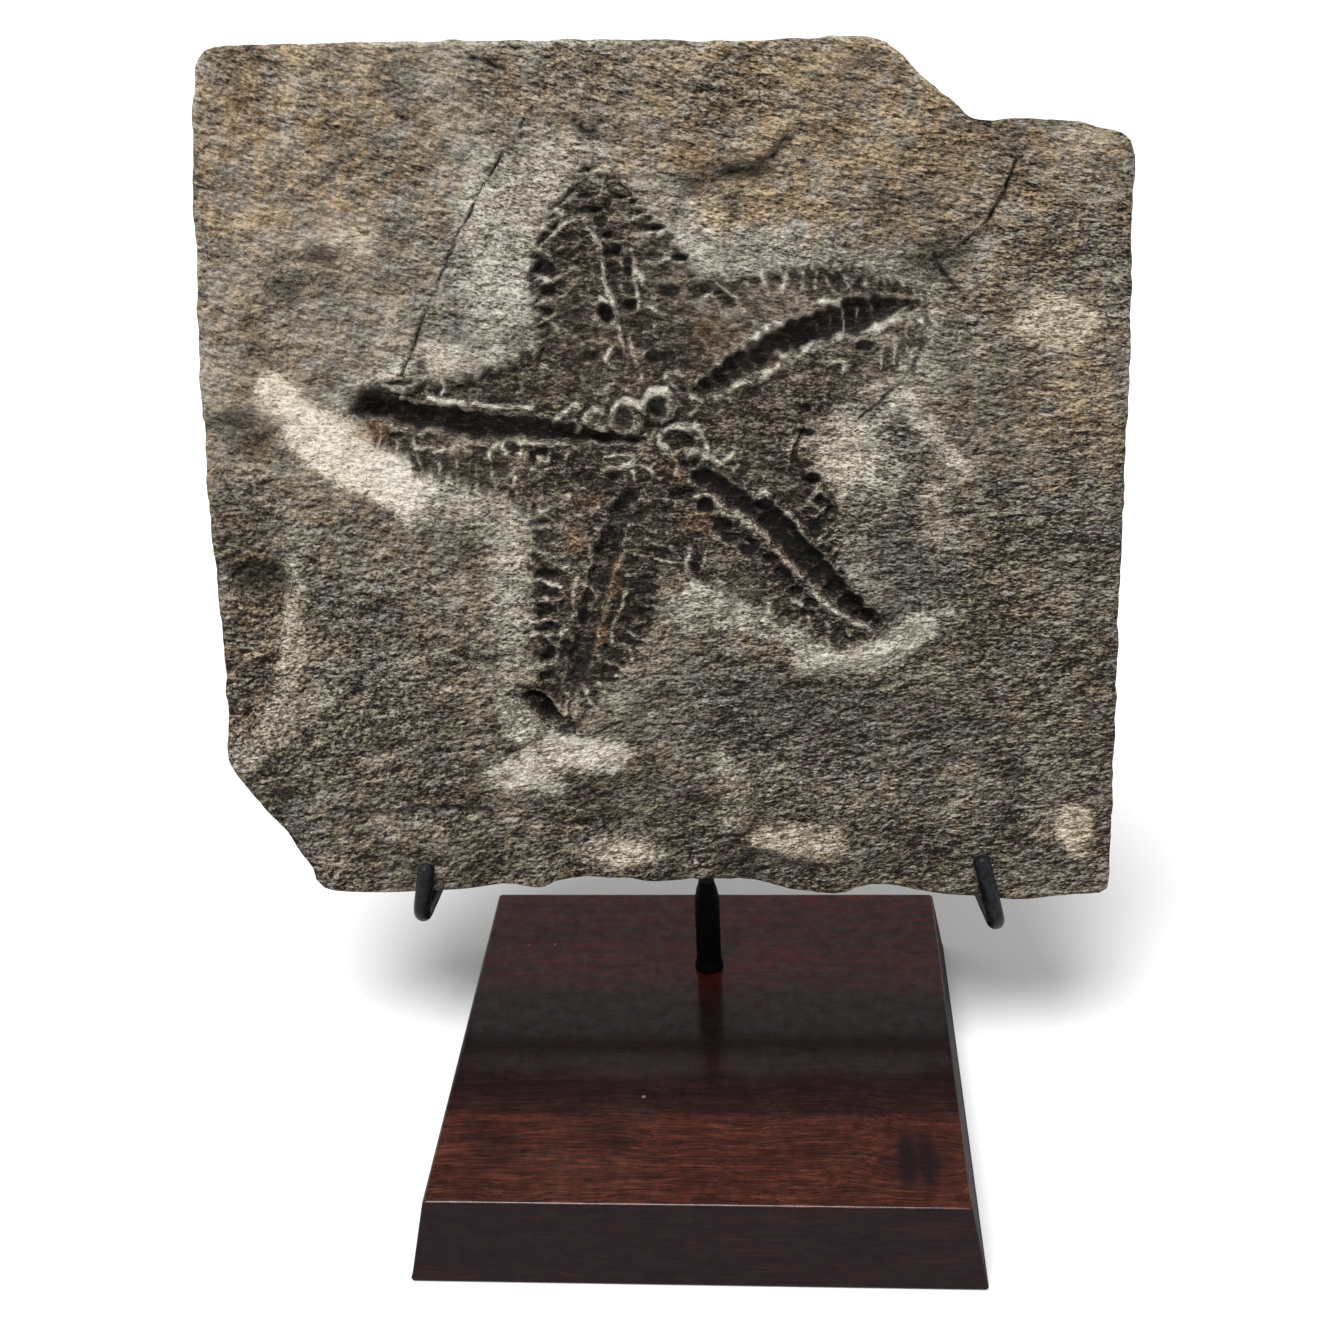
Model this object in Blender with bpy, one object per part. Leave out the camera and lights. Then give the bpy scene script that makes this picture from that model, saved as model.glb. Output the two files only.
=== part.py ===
"""Fossil starfish in a sandstone slab, on a small stand of black rod and dark hardwood.

The slab carries the sunken mould of a five-armed starfish. It stands in two claws of round
rod, leans back on a thinner rod, and the rod rises from a post that is set in a square board.

Every length below is in millimetres; MM turns it into Blender's metres where a mesh is made.
The world frame has its origin at the centre of the board's underside, +Z up, with the
starfish facing -Y. On the slab's face, u runs to the right, v up the slope and w outwards.
"""

import math
from collections import namedtuple

import bmesh
import bpy
import numpy as np
from mathutils import Vector
from mathutils.geometry import delaunay_2d_cdt

MM = 0.001
TOUCH_GAP = 0.3

# The board
BOARD_TOP = 120.0
BOARD_FLARE = 3.8
BOARD_THICKNESS = 20.0
BOARD_EDGE_ROUNDING = 0.7
SOCKET_DEPTH = 12.0

# The post and the rod behind the slab
POST_DIAMETER = 6.35
POST_Y = 26.6
POST_STRAIGHT = 22.2
POST_HEIGHT = 26.4
FOOT_DIAMETER = 7.3
FOOT_HEIGHT = 1.8
ROD_DIAMETER = 4.0
ROD_REACH = 128.0
ROD_BEND_RADIUS = 15.0

# The slab
SLAB_LEAN = math.radians(12.0)
SLAB_THICKNESS = 11.8
SLAB_FRONT_Y = 13.0
SLAB_FRONT_Z = BOARD_THICKNESS + 35.5
RIM_INSET = 1.8
RIM_ROUNDING = 2.2

# The claws
CLAW_DIAMETER = 4.2
CLAW_BEND_RADIUS = 3.6
BAR_Y = POST_Y + 5.4
STUB_OFFSET = 2.5

SEAT_BULGE = 0.9

# Place along the slab, toe-in of the run, lean of the upturned end and its height
ClawShape = namedtuple("ClawShape", "side u toe lean height")
CLAW_LEFT = ClawShape("left", -70.2, math.radians(4.5), math.radians(9.5), 15.0)
CLAW_RIGHT = ClawShape("right", 71.6, math.radians(-8.5), math.radians(-14.0), 19.0)

# Outline of the slab's face, in u and v, from the rounded top left corner anticlockwise
SLAB_OUTLINE = [
    (-101.5, 197.7), (-106.0, 196.6), (-108.4, 194.0), (-109.2, 190.0), (-111.3, 169.0),
    (-112.9, 146.0), (-113.9, 115.5), (-114.4, 79.0), (-113.9, 62.0), (-114.6, 46.0),
    (-115.6, 33.0), (-114.2, 29.0), (-108.4, 20.0), (-101.8, 11.5), (-98.2, 5.8),
    (-96.3, -0.6), (-92.4, -2.6), (-82.0, -2.9), (-50.5, -1.3), (-41.0, -2.1),
    (-34.8, -0.2), (-21.0, 0.8), (-12.0, 0.0), (4.0, 1.2), (12.0, 0.8),
    (20.0, -1.0), (27.6, -3.2), (33.5, -3.4), (39.0, -1.5), (46.0, -1.6),
    (54.0, -3.2), (66.0, -3.9), (76.0, -5.0), (85.0, -4.1), (95.0, -3.4),
    (97.5, -1.6), (97.8, 19.0), (97.6, 75.0), (98.0, 126.0), (97.4, 158.0),
    (96.7, 170.4), (87.2, 174.1), (77.0, 176.3), (64.5, 177.0), (60.0, 179.7),
    (53.0, 185.5), (45.0, 193.4), (38.0, 195.2), (-9.5, 196.5), (-54.0, 197.0),
]

# Border of the sunken starfish, anticlockwise from the tip of the top arm
STAR_OUTLINE = [
    (-25.0, 174.0), (-29.0, 168.0), (-33.0, 160.0), (-36.0, 151.0), (-36.0, 140.0),
    (-33.5, 131.5), (-42.0, 129.0), (-52.0, 125.5), (-62.0, 123.0), (-70.0, 121.5),
    (-77.0, 121.0), (-78.5, 117.5), (-76.0, 114.0), (-73.0, 109.5), (-65.0, 104.5),
    (-56.0, 100.5), (-47.0, 96.0), (-40.0, 92.0), (-39.0, 84.0), (-39.5, 74.0),
    (-39.0, 64.0), (-38.0, 55.0), (-39.0, 49.5), (-43.5, 48.0), (-39.0, 43.0),
    (-35.0, 39.0), (-31.0, 38.0), (-27.0, 42.0), (-22.0, 48.0), (-16.0, 55.0),
    (-11.5, 63.0), (-10.0, 72.0), (-8.0, 79.0), (-3.0, 81.0), (3.0, 76.5),
    (12.0, 70.0), (20.0, 65.5), (30.0, 60.0), (38.0, 58.0), (45.0, 60.0),
    (46.0, 62.5), (39.0, 69.5), (34.0, 77.0), (32.0, 84.0), (32.5, 90.0),
    (29.5, 98.0), (27.5, 105.0), (29.0, 111.0), (36.0, 117.0), (44.0, 122.0),
    (51.0, 128.0), (54.0, 134.0), (53.0, 140.0), (46.0, 142.5), (38.0, 144.5),
    (30.0, 146.0), (20.0, 145.5), (10.0, 144.0), (2.0, 144.5), (0.0, 150.0),
    (-4.0, 156.5), (-9.0, 161.5), (-13.0, 166.0), (-19.0, 171.5),
]
STAR_RIM_DEPTH = 1.4
STAR_MIDDLE_DEPTH = 2.6

# Each arm has a spine from the centre to its tip, and the groove that runs along it. Widths
# are half widths and depths are below the star's floor, given at even steps along the spine.
Arm = namedtuple("Arm", "name spine width depth bead_pitch bead plate_pitch plate")
ARMS = [
    Arm("top", [(-8, 112), (-11, 126), (-13.5, 140), (-16, 150), (-20, 160), (-25, 173)],
        [1.5, 3.0, 4.4, 3.8, 2.2, 0.8], [0.4, 0.9, 1.6, 1.5, 1.0, 0.3], 5.2, 0.9, 4.6, 0.8),
    Arm("upper_right", [(-2, 114), (4, 120.5), (13, 127), (20, 131), (28, 134), (36, 136.5),
                        (44, 138.2), (51, 138.8)],
        [1.2, 2.2, 2.8, 3.1, 3.1, 3.0, 2.4, 0.7], [0.8, 2.4, 3.6, 4.4, 4.6, 4.4, 3.6, 0.8],
        3.3, 0.5, 3.6, 0.6),
    Arm("lower_right", [(-3, 104), (4, 97.5), (11, 92.5), (17, 89.5), (23, 83), (29, 76),
                        (34, 70.5), (39, 66), (45, 61.5)],
        [1.4, 2.4, 2.6, 2.7, 2.6, 2.6, 2.4, 1.9, 0.6], [1.4, 3.0, 3.4, 3.6, 3.8, 4.0, 4.0, 3.4, 0.6],
        5.4, 1.3, 4.4, 0.5),
    Arm("bottom", [(-11, 101), (-17, 92), (-20.5, 84), (-23.5, 74), (-26, 64), (-29, 54),
                   (-33, 39)],
        [2.0, 2.6, 2.4, 1.8, 1.7, 1.6, 1.2], [1.0, 2.0, 2.4, 1.8, 1.7, 1.4, 0.8], 4.6, 0.4, 4.6, 1.1),
    Arm("left", [(-12, 107.6), (-20, 108.3), (-30, 110.4), (-40, 112), (-50, 113.2), (-60, 114.8),
                 (-70, 117)],
        [0.7, 1.3, 2.3, 2.6, 2.4, 2.1, 2.0], [1.2, 3.0, 4.4, 4.6, 4.6, 4.4, 4.4], 6.0, 0.4, 3.4, 0.5),
]
GROOVE_LIP = 0.7
PLATE_WALL_SHARPNESS = 0.7

# A second row of pits beside the lower right groove: spine, half width, depth, pit pitch
PIT_ROW = Arm("pit_row", [(-1, 95), (5, 88.5), (12, 82.5), (19, 76), (27, 67.5), (34, 62.5)],
              [1.4, 2.0, 2.1, 2.0, 1.7, 0.8], [1.0, 2.0, 2.1, 1.9, 1.4, 0.4], 4.9, 1.2, 0, 0)

# Round features: centre u and v, half sizes along u and v, depth below the surface around
Pit = namedtuple("Pit", "u v half_u half_v depth")
PITS = [
    Pit(-73.5, 118.0, 5.0, 3.4, 5.2),
    Pit(-19.5, 136.2, 2.4, 2.8, 2.6),
    Pit(-21.0, 83.2, 3.2, 3.4, 3.2),
    Pit(-9.5, 113.0, 2.4, 4.2, 2.0),
    Pit(-1.0, 107.8, 4.0, 2.4, 2.2),
    Pit(-16.0, 91.5, 4.5, 2.6, 1.6),
    Pit(-105.0, 76.0, 7.5, 5.5, 3.0),
    Pit(-107.0, 112.0, 9.0, 4.5, 2.4),
    Pit(-93.0, 144.0, 5.0, 3.0, 1.8),
    Pit(-85.0, 151.0, 5.0, 1.8, 1.6),
    Pit(-103.5, 93.0, 2.0, 1.8, 1.2),
    Pit(12.5, 167.0, 9.0, 2.2, 2.2),
    Pit(1.5, 164.5, 3.5, 2.4, 1.4),
    Pit(-24.0, 178.5, 7.0, 1.8, 1.3),
    Pit(57.0, 146.5, 6.0, 3.4, 1.6),
    Pit(40.0, 104.5, 7.0, 1.8, 1.2),
    Pit(75.0, 26.0, 3.0, 2.2, 1.4),
    Pit(73.0, 117.5, 2.6, 1.4, 1.0),
]

# The black hook at the tip of the bottom arm
TIP_HOOK = Arm("tip_hook", [(-43.5, 47.5), (-39.5, 46), (-37.5, 42.5), (-33, 38.8)],
               [0.8, 2.0, 2.0, 1.0], [1.0, 3.0, 3.2, 1.4], 0, 0, 0, 0)

# Rings and knobs of the disc: centre, radius and height of the ring
Ring = namedtuple("Ring", "u v radius height")
RINGS = [
    Ring(-15.3, 114.0, 3.8, 1.3),
    Ring(-7.2, 115.6, 4.2, 1.5),
    Ring(-22.5, 113.0, 3.0, 0.9),
    Ring(-2.8, 106.6, 4.4, 1.2),
    Ring(1.6, 102.0, 3.4, 0.9),
    Ring(16.0, 93.0, 2.6, 0.9),
]

# Ledges of the split bedding. The stone drops on the right of each line by the given height
# and comes back to the general surface over the given run.
Ledge = namedtuple("Ledge", "line drop run")
LEDGES = [
    Ledge([(-113, 33), (-106, 46), (-101, 60), (-98.5, 70), (-96, 80)], -1.6, 16.0),
    Ledge([(-112, 106), (-100, 112), (-95, 117)], 1.6, 14.0),
    Ledge([(-84, 167), (-72, 175), (-60, 181.5), (-48, 186)], -0.9, 22.0),
    Ledge([(6, 171), (14, 169.5), (20, 172), (26, 180)], 1.3, 18.0),
    Ledge([(50, 143), (57, 148.5), (64, 153), (72, 167)], 1.2, 24.0),
    Ledge([(2, 9), (14, 7.5), (22, 4.5), (30, 2.0)], 1.8, 10.0),
    Ledge([(38, 6.2), (46, 5.0), (60, 6.8)], 1.1, 9.0),
    Ledge([(-88, 17), (-66, 18), (-48, 20), (-36, 14)], 1.0, 16.0),
    Ledge([(-33, 4.5), (-24, 8.5), (-13, 10.5), (-11, 4)], -0.9, 8.0),
    Ledge([(9, 14), (22, 12.5), (35, 13.5)], -0.9, 9.0),
    Ledge([(-60, 83), (-47, 86.5), (-40, 90)], -0.7, 12.0),
    Ledge([(22, 52), (36, 53.5), (48, 58), (53, 66)], 1.3, 12.0),
    Ledge([(-50, 34), (-47, 26), (-36, 25), (-28, 28), (-18, 31)], 1.0, 12.0),
]

# Unevenness of split stone, from long swells down to lumps: size across and height
FACE_LUMPS = [(64.0, 1.0), (27.0, 0.6), (13.0, 0.45), (6.5, 0.28)]
BACK_LUMPS = [(70.0, 0.9), (31.0, 0.6), (15.0, 0.4)]
RIM_LUMPS = [(34.0, 0.7), (12.0, 0.5), (6.0, 0.35)]

# Spacing of the mesh points
STAR_STATION = 2.3
STAR_ROWS = [0.0, 1.7, 3.5, 6.2, 9.6, 13.4, 17.6]
FACE_LATTICE = 7.0
BACK_LATTICE = 13.0
OUTLINE_STEP = 4.6


def clear_scene():
    """Remove every object, so that the file holds this part alone."""
    for item in list(bpy.data.objects):
        bpy.data.objects.remove(item)


def make_material(name, colour, roughness, metallic=0.0):
    """Return a Principled material of one colour."""
    material = bpy.data.materials.new(name)
    material.use_nodes = True
    shader = material.node_tree.nodes["Principled BSDF"]
    shader.inputs["Base Color"].default_value = (*colour, 1.0)
    shader.inputs["Roughness"].default_value = roughness
    shader.inputs["Metallic"].default_value = metallic
    material.diffuse_color = (*colour, 1.0)
    return material


def add_object(name, mesh, material):
    """Link a mesh to the scene as a named object with its material."""
    item = bpy.data.objects.new(name, mesh)
    bpy.context.scene.collection.objects.link(item)
    mesh.materials.append(material)
    return item


# ---------------------------------------------------------------- curves on the slab's face

def smooth_path(points, step=2.0, closed=False):
    """Return points at an even step on a Catmull-Rom curve through the given points."""
    knots = np.array(points, float)
    count = len(knots)
    dense = []
    for i in range(count if closed else count - 1):
        if closed:
            before, start, end, after = (knots[(i + k) % count] for k in (-1, 0, 1, 2))
        else:
            before = knots[max(i - 1, 0)]
            start, end = knots[i], knots[i + 1]
            after = knots[min(i + 2, count - 1)]
        t = np.linspace(0.0, 1.0, 24, endpoint=False)[:, None]
        dense.append(0.5 * (2 * start + (end - before) * t
                            + (2 * before - 5 * start + 4 * end - after) * t ** 2
                            + (3 * start - before - 3 * end + after) * t ** 3))
    dense.append(knots[:1] if closed else knots[-1:])
    dense = np.vstack(dense)
    travelled = path_lengths(dense)
    pieces = max(2, int(round(travelled[-1] / step)))
    stops = np.linspace(0.0, travelled[-1], pieces + 1)
    even = np.column_stack([np.interp(stops, travelled, dense[:, k]) for k in (0, 1)])
    return even[:-1] if closed else even


def path_lengths(path):
    """Return the distance travelled at each point of a path."""
    steps = np.hypot(*np.diff(path, axis=0).T)
    return np.concatenate([[0.0], np.cumsum(steps)])


def along_path(path, u, v):
    """Return how far along the path each (u, v) lies, and its distance, positive on the left."""
    travelled = path_lengths(path)
    best = np.full(u.shape, np.inf)
    station = np.zeros(u.shape)
    side = np.ones(u.shape)
    for i, (start, end) in enumerate(zip(path[:-1], path[1:])):
        edge = end - start
        length = math.hypot(*edge)
        du, dv = u - start[0], v - start[1]
        t = np.clip((du * edge[0] + dv * edge[1]) / length ** 2, 0.0, 1.0)
        gap = np.hypot(du - t * edge[0], dv - t * edge[1])
        nearer = gap < best
        best = np.where(nearer, gap, best)
        station = np.where(nearer, travelled[i] + t * length, station)
        side = np.where(nearer, np.sign(edge[0] * dv - edge[1] * du), side)
    return station, best * np.where(side == 0, 1.0, side)


def distance_to_border(polygon, u, v):
    """Return the distance from each (u, v) to a closed polygon, negative inside it."""
    ring = np.vstack([polygon, polygon[:1]])
    gap = np.abs(along_path(ring, u, v)[1])
    inside = np.zeros(u.shape, bool)
    for (u0, v0), (u1, v1) in zip(ring[:-1], ring[1:]):
        if v0 == v1:
            continue
        crosses = (v0 > v) != (v1 > v)
        inside ^= crosses & (u < (u1 - u0) * (v - v0) / (v1 - v0) + u0)
    return np.where(inside, -gap, gap)


def ease(low, high, value):
    """Return 0 below low and 1 above high, with a smooth climb between."""
    t = np.clip((value - low) / (high - low), 0.0, 1.0)
    return t * t * (3.0 - 2.0 * t)


def even_steps(values, share):
    """Read a list of values given at even steps, at a share of the way along."""
    return np.interp(share, np.linspace(0.0, 1.0, len(values)), values)


# ---------------------------------------------------------------- relief of the slab's face

def groove_relief(arm, u, v):
    """Return the height of one groove, with its row of beads and its two raised lips."""
    path = smooth_path(arm.spine)
    length = path_lengths(path)[-1]
    station, offset = along_path(path, u, v)
    width = even_steps(arm.width, station / length)
    depth = even_steps(arm.depth, station / length)
    if arm.bead:
        swing = np.abs(np.sin(math.pi * station / arm.bead_pitch))
        depth = np.maximum(depth - arm.bead * (1.0 - swing), 0.2)
    across = np.abs(offset) / width
    trough = -depth * (1.0 - ease(0.25, 1.0, across))
    lip = GROOVE_LIP * np.clip(depth / 3.0, 0.0, 1.0) * np.exp(-((across - 1.35) / 0.33) ** 2)
    return trough + lip, station, offset, width


def star_relief(u, v):
    """Return the height of the sunken starfish over the slab's face."""
    border = distance_to_border(np.array(STAR_OUTLINE), u, v)
    floor = -(STAR_RIM_DEPTH * ease(0.0, -1.6, border)
              + (STAR_MIDDLE_DEPTH - STAR_RIM_DEPTH) * ease(-2.0, -16.0, border))
    detail = np.zeros(u.shape)
    nearest = np.full(u.shape, np.inf)
    plates = np.zeros(u.shape)
    for arm in ARMS:
        groove, station, offset, width = groove_relief(arm, u, v)
        detail = np.where(np.abs(groove) > np.abs(detail), groove, detail)
        wall = 1.0 - np.abs(np.sin(math.pi * station / arm.plate_pitch)) ** PLATE_WALL_SHARPNESS
        wing = ease(width + 1.5, width + 4.0, np.abs(offset)) * ease(6.0, 14.0, station)
        closer = np.abs(offset) < nearest
        plates = np.where(closer, arm.plate * (wall - 0.4) * wing, plates)
        nearest = np.minimum(nearest, np.abs(offset))
    pit_row = groove_relief(PIT_ROW, u, v)[0]
    detail = np.where(pit_row < detail, pit_row, detail)
    inside = ease(0.4, -1.2, border)
    relief = floor + (detail + plates) * inside
    relief += 0.45 * np.exp(-((border - 2.2) / 1.8) ** 2)
    return relief + np.minimum(groove_relief(TIP_HOOK, u, v)[0], 0.0)


def ring_relief(u, v):
    """Return the height of the rounded ossicles round the mouth."""
    relief = np.zeros(u.shape)
    for ring in RINGS:
        gap = np.hypot(u - ring.u, v - ring.v)
        relief += ring.height * np.exp(-((gap - ring.radius) / 0.9) ** 2)
        relief += 0.35 * ring.height * (1.0 - ease(0.0, ring.radius, gap))
    return relief


def pit_relief(u, v):
    """Return the depth of the pits and hollows."""
    relief = np.zeros(u.shape)
    for pit in PITS:
        gap = np.hypot((u - pit.u) / pit.half_u, (v - pit.v) / pit.half_v)
        relief -= pit.depth * (1.0 - ease(0.45, 1.25, gap))
    return relief


def ledge_relief(u, v):
    """Return the steps of the split bedding, sharp on the line and healing over their run."""
    relief = np.zeros(u.shape)
    for ledge in LEDGES:
        path = smooth_path(ledge.line)
        length = path_lengths(path)[-1]
        station, offset = along_path(path, u, v)
        low_side = -offset if ledge.drop > 0 else offset
        fade = np.exp(-np.maximum(low_side, 0.0) / ledge.run)
        ends = ease(0.0, 4.0, station) * ease(0.0, 4.0, length - station)
        relief -= abs(ledge.drop) * ease(-0.4, 1.0, low_side) * fade * ends
    return relief


def lattice_value(i, j, seed):
    """Return a fixed value from -1 to 1 for each corner of a square lattice."""
    scatter = np.sin(i * 127.1 + j * 311.7 + seed * 74.7) * 43758.5453
    return 2.0 * (scatter - np.floor(scatter)) - 1.0


def lumps(u, v, sizes, seed):
    """Return uneven ground made of smooth lumps of several sizes."""
    height = np.zeros(u.shape)
    for layer, (size, amount) in enumerate(sizes):
        x, y = u / size + 0.31 * v / size, v / size - 0.17 * u / size
        i, j = np.floor(x), np.floor(y)
        across, upward = ease(0.0, 1.0, x - i), ease(0.0, 1.0, y - j)
        key = seed + 11 * layer
        low = lattice_value(i, j, key) * (1 - across) + lattice_value(i + 1, j, key) * across
        high = lattice_value(i, j + 1, key) * (1 - across) + lattice_value(i + 1, j + 1, key) * across
        height += amount * (low * (1 - upward) + high * upward)
    return height


def away_from_claws(u, v):
    """Return 0 where a claw holds the slab and 1 a few centimetres away."""
    near_claw = np.minimum(np.hypot(u - CLAW_LEFT.u, v), np.hypot(u - CLAW_RIGHT.u, v))
    return ease(8.0, 22.0, near_claw)


def face_relief(u, v):
    """Return the height of the slab's face over its mean plane, in millimetres."""
    u, v = np.asarray(u, float), np.asarray(v, float)
    calm = away_from_claws(u, v)
    ground = (lumps(u, v, FACE_LUMPS, 3) - 0.9) * calm + ledge_relief(u, v) * calm
    return ground + star_relief(u, v) + ring_relief(u, v) + pit_relief(u, v)


def back_relief(u, v):
    """Return how far the split back lies in front of its highest plane."""
    u, v = np.asarray(u, float), np.asarray(v, float)
    return np.maximum(1.2 + lumps(u, v, BACK_LUMPS, 41), 0.0) * ease(2.5, 14.0, np.abs(u))


# ---------------------------------------------------------------- the slab

def slab_point(u, v, w):
    """Return the world place, in metres, of a point given on the slab's face."""
    sine, cosine = math.sin(SLAB_LEAN), math.cos(SLAB_LEAN)
    return Vector((u, SLAB_FRONT_Y + v * sine - w * cosine, SLAB_FRONT_Z + v * cosine + w * sine)) * MM


def outward(ring):
    """Return the unit directions that point out of an anticlockwise ring of points."""
    ahead = np.roll(ring, -1, axis=0) - np.roll(ring, 1, axis=0)
    ahead /= np.hypot(*ahead.T)[:, None]
    return np.column_stack([ahead[:, 1], -ahead[:, 0]])


def star_points():
    """Return mesh points in rows along each arm, spaced so that each plate gets a wall."""
    rows = []
    for arm in ARMS:
        path = smooth_path(arm.spine, STAR_STATION)
        heading = np.gradient(path, axis=0)
        heading /= np.hypot(*heading.T)[:, None]
        across = np.column_stack([-heading[:, 1], heading[:, 0]])
        for offset in STAR_ROWS:
            for side in ((1, -1) if offset else (1,)):
                row = path + side * offset * across
                station, away = along_path(path, row[:, 0], row[:, 1])
                rows.append(row[np.abs(away) > offset - 0.3])
    points = np.vstack(rows)
    border = distance_to_border(np.array(STAR_OUTLINE), points[:, 0], points[:, 1])
    return points[border < -2.2]


def lattice_points(spacing):
    """Return a staggered lattice of points that covers the slab."""
    rows = []
    for i, v in enumerate(np.arange(-6.0, 200.0, spacing * 0.87)):
        u = np.arange(-118.0, 100.0, spacing) + (spacing / 2 if i % 2 else 0.0)
        sway = 0.16 * spacing
        rows.append(np.column_stack([u + sway * np.sin(1.7 * v + 0.6 * u),
                                     v + sway * np.sin(1.3 * u + 2.1 * v)]))
    return np.vstack(rows)


def thinned(points, least_gap, keep_first=0):
    """Drop each point that lies too near one that is kept already."""
    kept = []
    cells = {}
    for index, (u, v) in enumerate(points):
        cell = (int(u // least_gap), int(v // least_gap))
        close = any((u - pu) ** 2 + (v - pv) ** 2 < least_gap ** 2
                    for i in (-1, 0, 1) for j in (-1, 0, 1)
                    for pu, pv in cells.get((cell[0] + i, cell[1] + j), ()))
        if index < keep_first or not close:
            kept.append((u, v))
            cells.setdefault(cell, []).append((u, v))
    return np.array(kept)


def ledge_points():
    """Return pairs of points that hold the two edges of each ledge."""
    rows = []
    for ledge in LEDGES:
        path = smooth_path(ledge.line, 4.0)
        across = outward(path)
        rows += [path - 0.8 * across, path + 1.0 * across]
    return np.vstack(rows)


def pit_points():
    """Return the middle and one ring of points for each pit and each ring of the disc."""
    rows = []
    turn = np.linspace(0.0, 2 * math.pi, 8, endpoint=False)
    for pit in PITS:
        rows.append(np.array([[pit.u, pit.v]]))
        for share in (0.5, 1.2):
            rows.append(np.column_stack([pit.u + share * pit.half_u * np.cos(turn),
                                         pit.v + share * pit.half_v * np.sin(turn)]))
    for ring in RINGS:
        rows.append(np.column_stack([ring.u + ring.radius * np.cos(turn),
                                     ring.v + ring.radius * np.sin(turn)]))
    return np.vstack(rows)


def triangulate(ring, inner):
    """Return the points and triangles of a flat sheet inside a ring."""
    points = [Vector(map(float, p)) for p in np.vstack([ring, inner])]
    face = list(range(len(ring)))
    result = delaunay_2d_cdt(points, [], [face], 1, 1e-6)
    return np.array([tuple(p) for p in result[0]]), [tuple(f) for f in result[2]]


def face_points(ring):
    """Return the points of the front sheet: star, border, pits, ledges and open ground."""
    border = smooth_path(STAR_OUTLINE, 3.2, closed=True)
    step = outward(border)
    groups = [pit_points(), star_points(), border + 0.3 * step, border - 1.8 * step, ledge_points()]
    fine = np.vstack(groups)
    fine = thinned(fine, 1.25)
    everything = np.vstack([fine, lattice_points(FACE_LATTICE)])
    star = distance_to_border(np.array(STAR_OUTLINE), everything[:, 0], everything[:, 1])
    kept_lattice = (star > 2.5) | (np.arange(len(everything)) < len(fine))
    everything = everything[kept_lattice]
    spread = thinned(everything, 3.4, keep_first=len(fine))
    edge = distance_to_border(ring, spread[:, 0], spread[:, 1])
    return spread[edge < -1.6]


def make_slab(material):
    """Build the slab: a front sheet with all its relief, a rounded broken rim and a back."""
    outline = smooth_path(SLAB_OUTLINE, OUTLINE_STEP, closed=True)
    out = outward(outline)
    calm = away_from_claws(*outline.T)
    chips = [calm * np.clip(0.7 + lumps(*outline.T, RIM_LUMPS, seed), 0.0, 2.0) for seed in (5, 17, 29)]
    bulge = SEAT_BULGE * (1.0 - calm)
    front_ring = outline - RIM_INSET * out
    back_ring = outline - (RIM_INSET + chips[2])[:, None] * out
    mesh = bmesh.new()

    front, front_faces = triangulate(front_ring, face_points(front_ring))
    front_w = face_relief(front[:, 0], front[:, 1])
    edge_gap = -distance_to_border(front_ring, front[:, 0], front[:, 1])
    front_w -= 0.5 * (1.0 - ease(0.0, 3.0, edge_gap))
    front_verts = [mesh.verts.new(slab_point(u, v, w)) for (u, v), w in zip(front, front_w)]
    for a, b, c in front_faces:
        mesh.faces.new((front_verts[a], front_verts[b], front_verts[c]))

    inner = thinned(lattice_points(BACK_LATTICE), 4.0)
    inner = inner[distance_to_border(back_ring, inner[:, 0], inner[:, 1]) < -4.0]
    back, back_faces = triangulate(back_ring, inner)
    back_w = back_relief(back[:, 0], back[:, 1]) - SLAB_THICKNESS
    back_verts = [mesh.verts.new(slab_point(u, v, w)) for (u, v), w in zip(back, back_w)]
    for a, b, c in back_faces:
        mesh.faces.new((back_verts[c], back_verts[b], back_verts[a]))

    count = len(outline)
    loops = [front_verts[:count]]
    for depth, tuck in ((RIM_ROUNDING, 0.0 * calm), (SLAB_THICKNESS * 0.48, chips[0] - 0.5 * bulge),
                        (SLAB_THICKNESS - RIM_ROUNDING, chips[1] - bulge)):
        places = outline - tuck[:, None] * out
        loops.append([mesh.verts.new(slab_point(u, v, -depth)) for u, v in places])
    loops.append(back_verts[:count])
    for upper, lower in zip(loops[:-1], loops[1:]):
        for i in range(count):
            j = (i + 1) % count
            mesh.faces.new((upper[j], upper[i], lower[i]))
            mesh.faces.new((upper[j], lower[i], lower[j]))
    bmesh.ops.recalc_face_normals(mesh, faces=mesh.faces)
    data = bpy.data.meshes.new("fossil_slab")
    mesh.to_mesh(data)
    mesh.free()
    return add_object("fossil_slab", data, material)


# ---------------------------------------------------------------- the stand

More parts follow.
